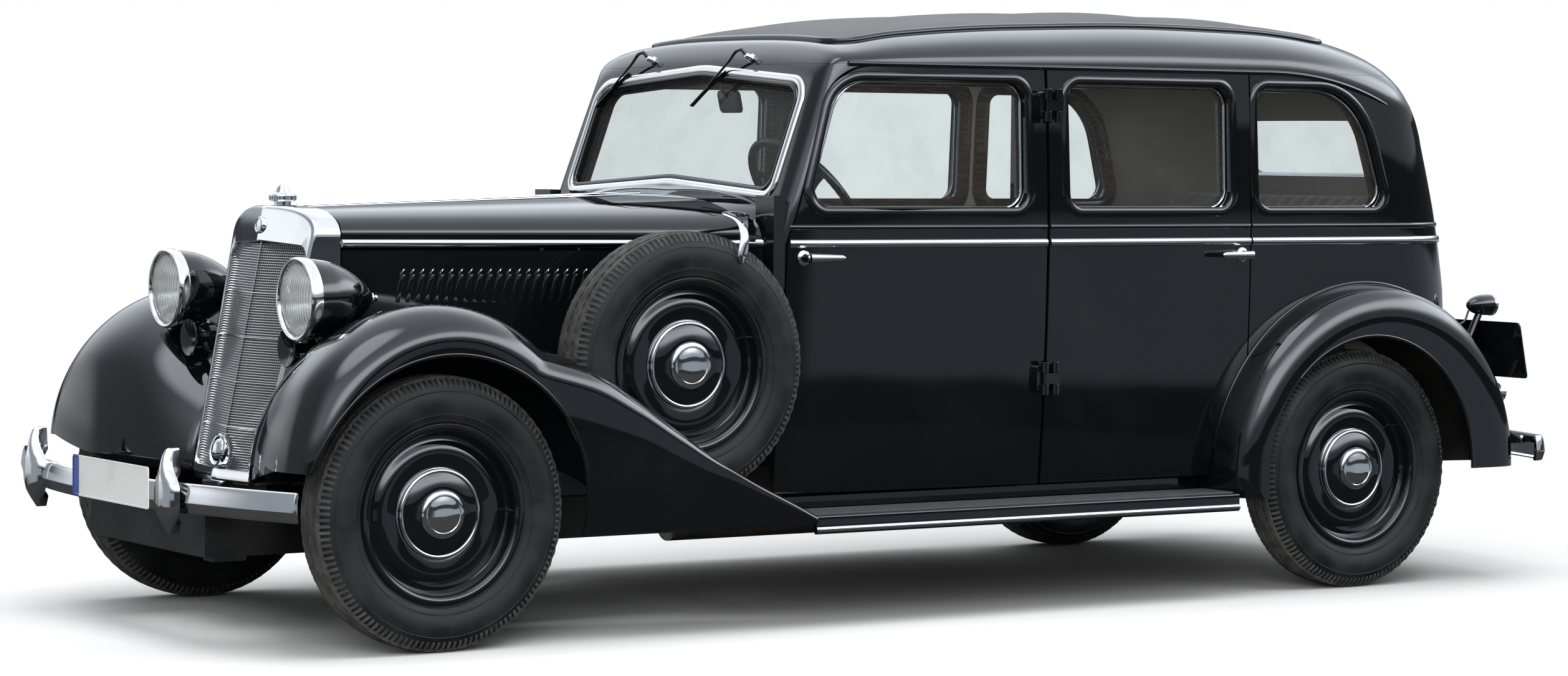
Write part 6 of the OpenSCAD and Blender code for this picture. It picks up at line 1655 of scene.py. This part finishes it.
def mirror_plate(place):
    haze = place.noise(20.0, 4.0)
    return {"Base Color": haze.blend((0.86, 0.87, 0.87), (0.78, 0.79, 0.79)), "Metallic": 1.0,
            "Roughness": haze * 0.1 + 0.12}


def bulb_look(place):
    frost = place.noise(90.0, 2.0)
    return {"Base Color": frost.blend((0.62, 0.62, 0.58), (0.78, 0.78, 0.74)), "Roughness": frost * 0.1 + 0.1}


reflector_plate, bulb_glass = surface("reflector_plate", mirror_plate), surface("bulb_glass", bulb_look)
ready(lamps.object("headlamp_shells", [black_paint, chrome, reflector_plate, bulb_glass], 40), "car",
      "black_paint", "headlamps")
lens = Shape()
dome = [(0.4, -20), (20, -19.4), (40, -17.4), (58, -14.2), (74, -9.8), (86, -4.6), (93.5, 0.4)]
lens.add(*lathe(dome + [(93.5, 4)] + [(r - 1.0, h + 3.6) for r, h in dome[-2::-1]], 72, *axis), both=True)
ready(lens.object("headlamp_lens_glass", [lamp_glass], 50), "car", "lamp_glass", "headlamp_lenses")

# Horns: black trumpets under the lamps, each with a rolled bell and a drum-shaped diaphragm case.
horns = Shape()
HORN_X, HORN_Y, HORN_Z = -215.0, 300.0, 752.0
bell = [(0.4, 34), (8, 34), (12, 24), (20, 14), (32, 6), (44, 1), (49, -1), (51.5, 1), (51, 4), (47, 6),
        (36, 12), (25, 20), (17, 30), (15, 44), (15, 48), (34, 49), (38, 52), (38, 70), (34, 74), (0.4, 75)]
horns.add(*lathe(bell, 48, (HORN_X, -HORN_Y, HORN_Z), (1, 0, 0), (0, 0, 1)), 0, True)
arm = curve([(HORN_X + 60, -HORN_Y, HORN_Z - 6), (HORN_X + 70, -HORN_Y - 30, HORN_Z - 10),
             (-124, -356, HORN_Z - 14)], 12)
horns.add(*tube(arm, 7.0, 12), 0, True)
ready(horns.object("horn_trumpets", [black_paint], 40), "car", "black_paint", "horns")

# Front bumper: a bowed spring-steel bar, chromed, with a ridge rolled along it below the middle, two
# winged overriders bolted through it and black irons back to the frame.
BOW_R, BUMPER_Z, BUMPER_X = 2248.1, 392.0, -638.0
BAR = [(21, -33), (19, -37), (14, -38), (10, -37), (7, -33), (4.4, -24), (1.6, -14), (0.5, -10.5), (0.3, -8.5),
       (0.8, -5), (2.6, 8), (5.0, 22), (7.6, 31), (10.5, 36), (14, 38), (19, 37), (21, 33), (17, 28), (16, 0),
       (17, -28)]


def bowed(half_w, mid_x, way, steps=56):
    """Path along the face of a bowed bar, half_w to each side, and its outward directions."""
    a = np.linspace(-1, 1, steps) * asin(half_w / BOW_R)
    path = np.stack([mid_x + way * BOW_R * (1 - np.cos(a)), BOW_R * np.sin(a), np.full(steps, BUMPER_Z)], 1)
    return path, np.stack([-way * np.cos(a), np.sin(a), 0 * a], 1)


def bar(path, outs):
    """Bumper bar along a path, its ends rounded off."""
    rows = [np.array([p - o * d + (0, 0, h) for d, h in BAR]) for p, o in zip(path, outs)]
    ends = [(r - r.mean(0)) * 0.84 + r.mean(0) + 1.6 * (r.mean(0) - q.mean(0)) / np.linalg.norm(r.mean(0)
        - q.mean(0)) for r, q in ((rows[0], rows[1]), (rows[-1], rows[-2]))]
    return capped([ends[0]] + rows + [ends[1]])


def plate_bar(shape, outline, low, high, kind):
    """Flat bar with an outline in the car's side, from low to high across the car, on both sides."""
    shape.add(*across_car(outline, (low, high)), kind, True)


bumper = Shape().add(*bar(*bowed(858.0, BUMPER_X, 1.0)))
GUARD_Y = 425.0
guard_x = BUMPER_X + BOW_R - sqrt(BOW_R ** 2 - GUARD_Y ** 2)
wing_half = smooth([[300, 2], [312, 14], [330, 32], [350, 48], [372, 55], [405, 56], [424, 52], [440, 40],
    [454, 26], [472, 16], [500, 10], [511, 7], [515, 3]])
wing_out = smooth([[300, 6], [325, 20], [352, 31], [392, 36], [430, 36], [460, 31], [492, 24], [508, 16],
    [515, 8]])
rows = []
for z in np.concatenate([np.linspace(300, 320, 6), np.linspace(324, 500, 40), np.linspace(503, 515, 6)]):
    w, d = float(wing_half(z)), float(wing_out(z))
    back = float(np.clip((abs(z - BUMPER_Z) - 38) * 0.8, 0, 20))
    arc = [(d * sin(a) ** 0.8, -w * cos(a)) for a in np.linspace(0, pi, 13)]
    rows.append([(guard_x + 4 - out, -GUARD_Y + y, z) for out, y in arc] + [(guard_x + 6 + back,
        -GUARD_Y + 0.5 * w * s, z) for s in (1, -1)])
bumper.add(*capped(rows), 0, True)
bolt = lathe([(0.4, -3), (9, -3), (9, 2), (7.4, 5), (4, 6.6), (0.4, 7)], 18, (0, 0, 0), (-1, 0, 0), (0, 1, 0))
bumper.add(*repeat(bolt, 2, (guard_x - 14, -GUARD_Y - 34, BUMPER_Z + 2), (0, 68, 0)), 0, True)
iron = rounded([[-470, 339, 6], [-470, 383, 6], [BUMPER_X + 58, 412, 10], [BUMPER_X + 58, 372, 10]], 4)
plate_bar(bumper, iron, -448, -434, 1)
plate_bar(bumper, rounded([[-472, 337.6, 5], [-390, 337.6, 5], [-390, 360, 8], [-472, 360, 8]], 4), -448, -300,
          1)
ready(bumper.object("front_bumper_bar", [chrome, chassis_black], 34), "car", "bright_metal", "front_bumper")

# Rear bumper: the same bar bowed the other way and curled in at its ends, chromed outside and black
# behind.
bow_x = 3905.0 - BOW_R
bow = asin(780 / BOW_R)
path, outs = bowed(780.0, 3905.0, -1.0)
curl = bow + np.radians(np.linspace(4, 75, 18))
centre = np.array([bow_x + (BOW_R - 60) * cos(bow), (BOW_R - 60) * sin(bow), BUMPER_Z])
end = np.array([centre + 60 * np.array((cos(a), sin(a), 0)) for a in curl])
end_out = np.stack([np.cos(curl), np.sin(curl), 0 * curl], 1)
path = np.concatenate([end[::-1] * (1, -1, 1), path, end])
outs = np.concatenate([end_out[::-1] * (1, -1, 1), outs, end_out])
rear_bumper = Shape().add(*bar(path, outs))
stride = len(BAR)
for k, face in enumerate(rear_bumper.faces):
    if len(face) == 4 and min(i % stride for i in face) >= 14 and max(i % stride for i in face) > 15:
        rear_bumper.kinds[k] = 1
iron_x = bow_x + sqrt(BOW_R ** 2 - 330 ** 2) - 12
plate_bar(rear_bumper, rounded([[3428, 371, 6], [iron_x, 371, 6], [iron_x, 413, 6], [3488, 413, 10],
    [3488, 440, 6], [3428, 440, 6]], 4), -337, -323, 2)
stay = curve([(3570, -640, 520), (3650, -655, 470), (3752, -690, 412)], 14)
rear_bumper.add(*tube(stay, 8.0, 12), 2, True)
rear_bumper.add(*lathe([(0.4, -12), (9, -10), (12, 0), (9, 10), (0.4, 12)], 16, (3757, -692, 410), (0, 0, 1),
    (1, 0, 0)), 0, True)
ready(rear_bumper.object("rear_bumper_bar", [chrome, black_paint, chassis_black], 34), "car", "bright_metal",
      "rear_bumper")


# Plates: pressed aluminium, left blank, white lacquer with a plain blue strip on the front one.
def plate_lacquer(place):
    x, y, z = place.parts()
    grime = place.noise(9.0, 6.0).range(0.5, 0.8)
    strip = y.range(0.0285, 0.0290)
    return {"Base Color": strip.blend(grime.blend((0.78, 0.78, 0.77), (0.66, 0.655, 0.64)),
        (0.012, 0.045, 0.27)), "Roughness": grime * 0.12 + 0.24, "Normal": bump(place.noise(300.0, 2.0), 0.02)}


plate_white = surface("plate_lacquer", plate_lacquer)
plates = Shape()


def pressed(outline, axes):
    """Pressed plate: a raised rim round a flat field; axes maps (u, v, depth) to x, y, z."""
    outline = np.asarray(outline)
    mid = outline.mean(0)
    rows = [[axes(*(p - np.sign(p - mid) * inset), back) for p in outline] for inset, back in ((0, 3.0),
        (0, 0.8), (1.2, 0.0), (4.5, 0.0), (5.8, 1.4))]
    return capped(rows)


field = rounded([[-408, 362, 9], [70, 362, 9], [70, 468, 9], [-408, 468, 9]], 5)
plates.add(*pressed(field, lambda u, v, d: (BUMPER_X - 9 + d, u, v)), 0)
strap = rounded([[BUMPER_X - 6.4, 370, 1], [BUMPER_X + 12, 370, 1], [BUMPER_X + 12, 412, 1],
    [BUMPER_X - 6.4, 412, 1]], 3)
for y in (-290, -60):
    plates.add(*capped([[(x, y + w, z) for x, z in strap] for w in (0, 28)]), 1)
field = rounded([[-765, 600, 12], [-430, 600, 12], [-430, 770, 12], [-765, 770, 12]], 5)
plates.add(*pressed(field, lambda u, v, d: (3712 - d - (v - 600) * 0.21, u, v)), 0)
plates.add(*capped([[(3712 - d - (v - 600) * 0.21, u, v) for u, v in field] for d in (6.4, 2.6)]), 1)
ready(plates.object("blank_plates", [plate_white, black_paint], 30), "car", "bright_metal")


# Tail lamps: black torpedoes with a red lens, each on a post bolted to the fender, and a domed stop
# lamp below.
def red_lens(place):
    pip = place.node("TexVoronoi", (), {"Vector": place, "Scale": 190.0})
    return {"Base Color": pip.range(0.1, 0.6).blend((0.42, 0.012, 0.012), (0.20, 0.006, 0.006)),
            "Roughness": pip * 0.1 + 0.08, "Coat Weight": 0.6, "Normal": bump(pip, 0.3)}


lens_red = surface("lens_red", red_lens)
tail = Shape()
at = ((3610, -600, 818), (1, 0, 0), (0, 0, 1))
torpedo = smooth([[0, .03], [.02, .17], [.06, .33], [.25, .75], [.5, .95], [.75, 1], [.86, 1]])
tail.add(*lathe([(32 * float(torpedo(s)), 110 * s) for s in np.linspace(0, .86, 26)] + [(0.4, 94)], 40, *at), 0,
         True)
tail.add(*lathe([(0.4, 90), (32, 90), (33.4, 93), (33.4, 99), (31, 102), (27, 102), (0.4, 96)], 40, *at), 1,
         True)
tail.add(*lathe([(0.4, 95), (28, 96), (28, 102), (23, 106.5), (13, 109.4), (0.4, 110)], 40, *at), 2, True)
post = curve([(3662, -600, 796), (3642, -600, 756), (3612, -600, 690), (3606, -600, 640), (3596, -600, 600)],
             20)
tail.add(*tube(post, np.linspace(11, 15, 20)), 0, True)
cable = curve([(3618, -600, 802), (3598, -604, 770), (3566, -608, 754), (3545, -606, 668)], 18)
tail.add(*tube(cable, 3.2, 10), 0, True)
arm = rounded([[3600, 640, 6], [3694, 632, 6], [3690, 664, 6], [3610, 690, 6]], 4)
plate_bar(tail, arm, -640, -634, 0)
low_lamp = ((3664, -640, 556), (1, 0, -0.12), (0, 1, 0))
tail.add(*lathe([(0.4, 0), (14, 3), (26, 14), (32, 30), (33, 46), (30, 50), (0.4, 50)], 32, *low_lamp), 1, True)
tail.add(*lathe([(0.4, 48), (29, 49), (24, 56), (12, 60), (0.4, 61)], 32, *low_lamp), 2, True)
tail.add(*tube([(3610, -634, 610), (3640, -636, 590), (3676, -640, 566)], 8.0, 12), 0, True)
tail.add(*repeat(lathe([(0.4, -2), (5, -2), (5, 2), (3, 4), (0.4, 4.4)], 12, (0, 0, 0), (-1, 0, 0), (0, 1, 0)),
    3, (3598, -600, 668), (-2, 0, -24)), 1, True)
ready(tail.object("tail_lamp_torpedoes", [black_paint, chrome, lens_red], 38), "car", "black_paint",
      "tail_lamps")

# Spare clamps: chromed straps from the scuttle over each spare tyre, with a riveted pad on its side.
clamp = Shape()
path = curve([(1056, -534, 1086), (1010, -572, 1096), (950, -602, 1099), (916, -642, 1096), (905, -700, 1086),
              (894, -748, 1066), (884, -770, 1030), (874, -772, 975)], 40)
outs = curve([(0.2, -.4, .9), (0.05, -.35, .95), (-0.1, -.3, .95), (-0.05, -.2, .98), (0.1, -.35, .94),
              (0.1, -.8, .6), (0, -1, 0.1), (0, -1, 0)], 40)
outs /= np.linalg.norm(outs, axis=1)[:, None]
ahead = np.gradient(path, axis=0)
across = np.cross(ahead, outs)
across /= np.linalg.norm(across, axis=1)[:, None]
width = smooth([[0, 7], [.1, 11], [.3, 17], [.5, 20], [.68, 15], [.85, 14], [.95, 15], [.985, 11], [1, 4]])
rows = [[p + out * o + s * float(width(k / 39)) * w for o, w in ((-3, -.9), (0, -1), (4, -.8), (6.5, -.4),
    (7.5, 0), (6.5, .4), (4, .8), (0, 1), (-3, .9))] for k, (p, out, s) in enumerate(zip(path, outs, across))]
clamp.add(*capped(rows), 0, True)
rivet = lathe([(0.4, -2), (4, -2), (4, 1), (2.4, 2.6), (0.4, 3)], 12, (0, 0, 0), (0, -1, 0), (1, 0, 0))
clamp.add(*repeat(rivet, 2, (868, -779, 992), (14, 0, 3)), 1, True)
ready(clamp.object("spare_clamps", [chrome, chassis_black], 40), "car", "bright_metal")

# Folding roof: one sheet of rubberised canvas pulled tight over five hoops above the roof panel, its edge
# held down all round by a black rail.
def canvas(place):
    x, y, z = place.parts()
    weave = (x * 4200.0).maths("SINE", x * 4200.0) * (y * 4200.0).maths("SINE", y * 4200.0)
    fade = place.noise(2.2, 7.0).range(0.35, 0.7)
    crease = place.noise(28.0, 5.0).range(0.55, 0.75)
    return {"Base Color": (fade * 0.7 + weave * 0.12 + crease * 0.15).blend((0.085, 0.088, 0.092),
        (0.135, 0.138, 0.143)), "Roughness": fade * 0.12 + 0.68, "Specular IOR Level": 0.4,
            "Normal": bump(weave * 0.3 + crease, 0.3)}


CLOTH_X, CLOTH_END_X, CLOTH_HALF, CLOTH_CORNER, CLOTH_T, HOOPS = 1346.0, 3126.0, 509.0, 85.0, 2.4, 5


def on_roof(x, y, h):
    """Point h above the roof panel at x, y."""
    spot, out = cab_skin.from_above(x, y)
    return spot + out * h


def cloth_half(x):
    return CLOTH_HALF - corner(x - CLOTH_X, CLOTH_CORNER) - corner(CLOTH_END_X - x, CLOTH_CORNER)


def cloth_rise(x, q):
    """Height of the stretched cloth: up on the hoops, a little lower between them, pinned at the edge."""
    t = (x - CLOTH_X) / (CLOTH_END_X - CLOTH_X)
    pinned = min(1.0, (1 - abs(q)) * 8, t * 14, (1 - t) * 14)
    return 4.5 + pinned * (5.0 + 2.2 * cos(2 * pi * HOOPS * t))


ends = CLOTH_CORNER * (1 - np.cos(np.radians(np.linspace(0, 90, 9))))
xs = np.concatenate([CLOTH_X + ends, np.linspace(CLOTH_X + 100, CLOTH_END_X - 100, 96),
    CLOTH_END_X - ends[::-1]])
qs = np.linspace(-1, 1, 61)
top, under = ([[on_roof(x, q * cloth_half(x), cloth_rise(x, q) + d) for q in qs] for x in xs]
              for d in (0.0, -CLOTH_T))
roof_cloth = Shape().add(*sheet_between(top, under)).object("roof_cloth", [surface("roof_canvas", canvas)], 50)
ready(roof_cloth, "car", "roof_cloth", "roof_fabric")
rim = []
for side, line in ((-1, xs), (1, xs[::-1])):
    end = side * cloth_half(line[-1])
    rim += [(x, side * cloth_half(x)) for x in line]
    rim += [(line[-1], y) for y in np.linspace(end, -end, 40)[1:-1]]
rail = [(on_roof(x, y, 0.0), cab_skin.from_above(x, y)[1]) for x, y in rim]
rail = Shape().add(*sweep([p for p, out in rail], [out for p, out in rail], half_round(20, 11), True))
rail = ready(rail.object("roof_cloth_rail", [black_paint]), "car", "black_paint")

# Windscreen: flat glass in a chromed frame with a black rubber, two wipers hung from the header and a
# driving mirror inside.
screen_trim = Shape()
face_out = np.array([-cos(SCREEN_TILT), 0, sin(SCREEN_TILT)])
for g, width, height, kind in ((-13.0, 26, 9, CHROME), (3.0, 16, 7, PAINT)):
    ring = [screen_axes(u, v, 0.0) for u, v in screen_rows(g)]
    screen_trim.add(*sweep(ring, [face_out] * len(ring), half_round(width, height, 3.0), True), kind)
ring = [screen_axes(u, v, WALL) for u, v in screen_rows(-20.0)]
screen_trim.add(*sweep(ring, [-face_out] * len(ring), [(-4, -26), (8, -26), (12, -18), (12, 18), (8, 26),
    (-4, 26)], True), WOOD)
wiper = Shape()


def on_screen(y, z, h):
    """Point in front of the windscreen's plane, h out from it."""
    return np.array(screen_axes(y, (z - SCREEN_LOW_Z) / cos(SCREEN_TILT), 0.0)) + face_out * h


wiper.add(*lathe([(0.4, -6), (13, -6), (13, 3), (9, 8), (8, 20), (5, 24), (0.4, 25)], 20,
    on_screen(-234, 1526, 0), face_out, (0, 1, 0)))
arm = curve([on_screen(-234, 1526, 18), on_screen(-214, 1540, 30), on_screen(-196, 1538, 30),
             on_screen(-160, 1512, 24), on_screen(-76, 1446, 16)], 26)
wiper.add(*tube(arm, np.linspace(6.0, 2.4, 26), 10), 1)
blade = curve([on_screen(-136, 1488, 10), on_screen(-70, 1440, 13), on_screen(-6, 1391, 10)], 16)
wiper.add(*tube(blade, 3.4, 8), 1)
blade = [(p - face_out * 2, p - face_out * 9) for p in blade]
across = np.array([0, 0.6, 0.8]) * 1.4
wiper.add(*capped([[a - across, a + across, b + across * 0.4, b - across * 0.4] for a, b in blade]), 1)
pair = repeat((np.concatenate(wiper.points), wiper.faces), 2, (0, 0, 0), (0, 527, 0))
screen_trim.add(*pair, CHROME)
screen_trim.kinds[-len(pair[1]):] = [PAINT if k else CHROME for k in wiper.kinds] * 2
case = rounded([[-55, 1376, 14], [55, 1376, 14], [55, 1440, 14], [-55, 1440, 14]], 5)
rows = []
for d, s in ((0, .8), (1, .92), (5, 1), (11, 1), (14, .97)):
    rows.append([(1316 + d + (z - 1408) * -0.2, y * s, 1408 + (z - 1408) * s) for y, z in case])
screen_trim.add(*capped(rows), PAINT)
screen_trim.add(*tube(curve([(1318, 0, 1420), (1296, 0, 1446), (1304, 0, 1486), (1312, 0, 1520)], 14), 5.0, 10),
                PAINT)
ready(screen_trim.object("windscreen_trim", TRIM, 38), "car", "bright_metal")

# Seats: two sprung benches in pleated grey-beige wool cloth, each a cushion and a back stuffed and sewn
# over a boxed base.
def seat_wool(place):
    x, y, z = place.parts()
    rib = (y * 3600.0).maths("SINE", y * 3600.0)
    worn = place.noise(3.5, 6.0).range(0.35, 0.7)
    nap = place.noise(330.0, 3.0)
    return {"Base Color": (worn * 0.5 + nap * 0.4).blend((0.120, 0.108, 0.090), (0.215, 0.198, 0.168)),
            "Roughness": nap * 0.12 + 0.82, "Sheen Weight": 0.3, "Normal": bump(rib * 0.25 + nap, 0.4)}


seat_cloth = surface("seat_wool", seat_wool)
pads, VOXEL = [], 0.010


def pad(name, outline, half_w, pitch, face):
    """Stuffing for one cushion before it swells, half_w to each side, its outline in the car's side."""
    made = Shape().add(*across_car(outline, np.linspace(-half_w, half_w, 24))).object(name, [seat_cloth])
    mesh = made.modifiers.new("remesh", "REMESH")
    mesh.mode, mesh.voxel_size = "VOXEL", VOXEL
    bpy.context.view_layer.update()
    made.data = bpy.data.meshes.new_from_object(made.evaluated_get(bpy.context.evaluated_depsgraph_get()))
    made.data.name = name
    made.modifiers.clear()
    pads.append((made, half_w * MM, pitch * MM, np.array(face, float)))


def bench(end, x, length, low, cushion, top, half_w, pitch):
    """Base, cushion and back of one bench, inside the CAD solid's outline."""
    lean = tan(radians(12)) * (top - low) / 2
    base = Shape()
    box = rounded([[x + 16, low, 6], [x + length + 96, low, 6], [x + length + 96, cushion - 140, 10],
                   [x + 16, cushion - 140, 10]], 4)
    base.add(*across_car(box, (-half_w + 10, half_w - 10)))
    rear = rounded([[x + length + 96, low, 4], [x + length + 128, low, 4], [x + length + lean + 128, top - 40,
        14], [x + length + lean + 96, top - 40, 14]], 4)
    base.add(*across_car(rear, (-half_w + 14, half_w - 14)))
    ready(base.object(f"{end}_seat_base", [lining]), "car", "seat_cloth", f"{end}_seat")
    pad(f"{end}_seat_cushion", rounded([[x + 14, cushion - 132, 30], [x + length + 6, cushion - 132, 20],
        [x + length + 10, cushion - 26, 20], [x + 14, cushion - 18, 46]], 6), half_w - 16, pitch, (0, 0, 1))
    pad(f"{end}_seat_back", rounded([[x + length - 4, cushion - 26, 26], [x + length + 82, cushion - 26, 12],
        [x + length + lean + 98, top - 18, 40], [x + length + lean + 12, top - 18, 44]], 6), half_w - 16, pitch,
        (-1, 0, 0.2))


bench("front", 1360, 420, 355.6, 650, 1130, 540, 78)
bench("rear", 2740, 500, 595.6, 770, 1180, 505, 58)
PRESSURE, PUFF_FRAMES, SWELL, PLEAT, EDGE = 4.0, 20, 0.016, 0.011, 0.012
flat = {made.name: np.array([v.co for v in made.data.vertices]) for made, *_ in pads}
for made, *_ in pads:
    puff = made.modifiers.new("puff", "CLOTH")
    puff.settings.quality = 4
    puff.settings.use_pressure = True
    puff.settings.uniform_pressure_force = PRESSURE
    puff.settings.effector_weights.gravity = 0.0
for step in range(1, PUFF_FRAMES + 1):
    scene.frame_set(step)
for made, half_w, pitch, face in pads:
    shown = made.evaluated_get(bpy.context.evaluated_depsgraph_get())
    puffed = np.array([v.co for v in shown.data.vertices])
    move = puffed - flat[made.name]
    far = np.linalg.norm(move, axis=1)[:, None]
    places = flat[made.name] + move * np.minimum(1, SWELL / np.maximum(far, 1e-9))
    made.modifiers.clear()
    made.data.vertices.foreach_set("co", places.ravel())
    made.data.update()
    normals = np.array([n.vector for n in made.data.vertex_normals])
    facing = np.clip(normals @ (face / np.linalg.norm(face)) * 2.2 - 0.3, 0, 1)
    inside = np.clip((half_w - EDGE - np.abs(places[:, 1])) / 0.03, 0, 1)
    fold = 1 - np.abs(np.sin(np.pi * places[:, 1] / pitch)) ** 0.55
    places = places - normals * (PLEAT * fold * facing * inside)[:, None]
    made.data.vertices.foreach_set("co", places.ravel())
    soft = made.modifiers.new("soft", "SUBSURF")
    soft.levels = soft.render_levels = 1
    bpy.context.view_layer.update()
    mesh = bpy.data.meshes.new_from_object(made.evaluated_get(bpy.context.evaluated_depsgraph_get()))
    made.modifiers.clear()
    made.data = mesh
    mesh.name = made.name
    mesh.shade_smooth()
    mesh.materials.clear()
    mesh.materials.append(seat_cloth)
    ready(made, "car", "seat_cloth")
scene.frame_set(1)

# Dashboard: varnished board with a rolled top edge, three plain dials in chrome rings and the steering
# column.
dash = Shape()
DASH_X, DASH_HALF = 1167.4, 544.0
board = rounded([[DASH_X, 901, 2], [DASH_X + 26, 901, 6], [DASH_X + 30, 1050, 20], [DASH_X + 39, 1088, 14],
    [DASH_X + 34, 1109, 12], [DASH_X, 1109, 2]], 6)
dash.add(*across_car(board, np.linspace(-DASH_HALF, DASH_HALF, 12)), 0)
ringed = [(0.4, 0), (44, 0), (48, 3), (49, 8), (46, 11), (42, 11), (40, 7), (0.4, 6.6)]
dash.add(*repeat(lathe(ringed, 40, (0, 0, 0), (1, 0, 0.05), (0, 1, 0)), 3, (DASH_X + 27, -120, 985),
    (0, 120, 0)), 1)
dash.add(*repeat(lathe([(0.4, 6), (41, 6.2), (41, 8), (0.4, 8.4)], 40, (0, 0, 0), (1, 0, 0.05), (0, 1, 0)), 3,
    (DASH_X + 27, -120, 985), (0, 120, 0)), 2)
dash.add(*repeat(lathe([(0.4, 0), (8, 0), (9, 6), (9, 14), (6, 17), (0.4, 18)], 16, (0, 0, 0), (1, 0, 0),
    (0, 1, 0)), 5, (DASH_X + 26, -100, 918), (0, 50, 0)), 1)
WHEEL_AT = np.array([1365.0, -320.0, 1127.0])
tilt = radians(52)
wheel_axis, wheel_face = np.array([sin(tilt), 0, cos(tilt)]), np.array([cos(tilt), 0, -sin(tilt)])
column = [(0.4, -232), (21, -232), (21, -60), (24, -58), (24, -10), (20, -4), (9.6, -4), (9.6, 25), (0.4, 26)]
dash.add(*lathe(column, 32, WHEEL_AT, wheel_axis, wheel_face), 3)


def dial_face(place):
    age = place.noise(22.0, 5.0).range(0.4, 0.75)
    return {"Base Color": age.blend((0.50, 0.47, 0.38), (0.36, 0.33, 0.25)), "Roughness": age * 0.1 + 0.3}


def bakelite(place):
    worn = place.noise(16.0, 6.0).range(0.45, 0.75)
    return {"Base Color": worn.blend((0.010, 0.010, 0.010), (0.026, 0.024, 0.022)),
            "Roughness": worn * 0.2 + 0.22, "Normal": bump(place.noise(240.0, 2.0), 0.03)}


rim_black = surface("bakelite", bakelite)
ready(dash.object("dashboard_board", [wood, chrome, surface("dial_face", dial_face), rim_black], 40), "car",
      "dash_wood", "dashboard")

# Steering wheel: steel core under black bakelite, grooved for the fingers, three spokes and a plain horn
# button.
hand_wheel = Shape()
turn = around(180)
third = np.cross(wheel_axis, wheel_face)
rows = []
for a in turn:
    radial = wheel_face * cos(a) + third * sin(a)
    ring = []
    for b in around(20):
        grip = 12.6 - 1.3 * max(0.0, -sin(b)) * (0.5 + 0.5 * cos(a * 60))
        ring.append(WHEEL_AT + radial * (202 + grip * cos(b)) + wheel_axis * (13 + grip * sin(b)))
    rows.append(ring)
hand_wheel.add(*grid(rows + rows[:1], wrap=True), 0)
boss = [(10.6, 1), (40, 1), (43.5, 5), (43.5, 12), (38, 18), (30, 22), (28, 27), (10.6, 27.6)]
loop = [[WHEEL_AT + wheel_axis * h + r * (wheel_face * cos(a) + third * sin(a)) for r, h in boss]
        for a in turn[::4]]
hand_wheel.add(*grid(loop + loop[:1], wrap=True), 0)
hand_wheel.add(*lathe([(0.4, 27.2), (27, 27.2), (29, 28.4), (27, 29.8), (0.4, 30)], 40, WHEEL_AT, wheel_axis,
    wheel_face), 1)
spoke = []
for t in np.linspace(0, 1, 12):
    r, w, h = 38 + 158 * t, 14 - 5 * sin(pi * min(1, t * 1.1)), 6.5 - 2.4 * t
    spoke.append([wheel_face * r + third * (w * cos(b)) + wheel_axis * (12 + h * sin(b)) for b in around(14)])
points, faces = capped(spoke)
for a in np.radians((0, 120, 240)):
    c, s = cos(a), sin(a)
    u, v, w = points @ wheel_face, points @ third, points @ wheel_axis
    spun = np.outer(u * c - v * s, wheel_face) + np.outer(u * s + v * c, third) + np.outer(w, wheel_axis)
    hand_wheel.add(spun + WHEEL_AT, faces, 0)
ready(hand_wheel.object("steering_wheel_rim", [rim_black, chrome], 40), "steering_wheel", "wheel_rim_black",
      "steering_wheel")

# Formers and cutting tools go; only finished pieces stay.
for spare_tool in [o for o in bpy.data.objects
        if o.type == "MESH" and "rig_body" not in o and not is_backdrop(o)]:
    bpy.data.objects.remove(spare_tool)
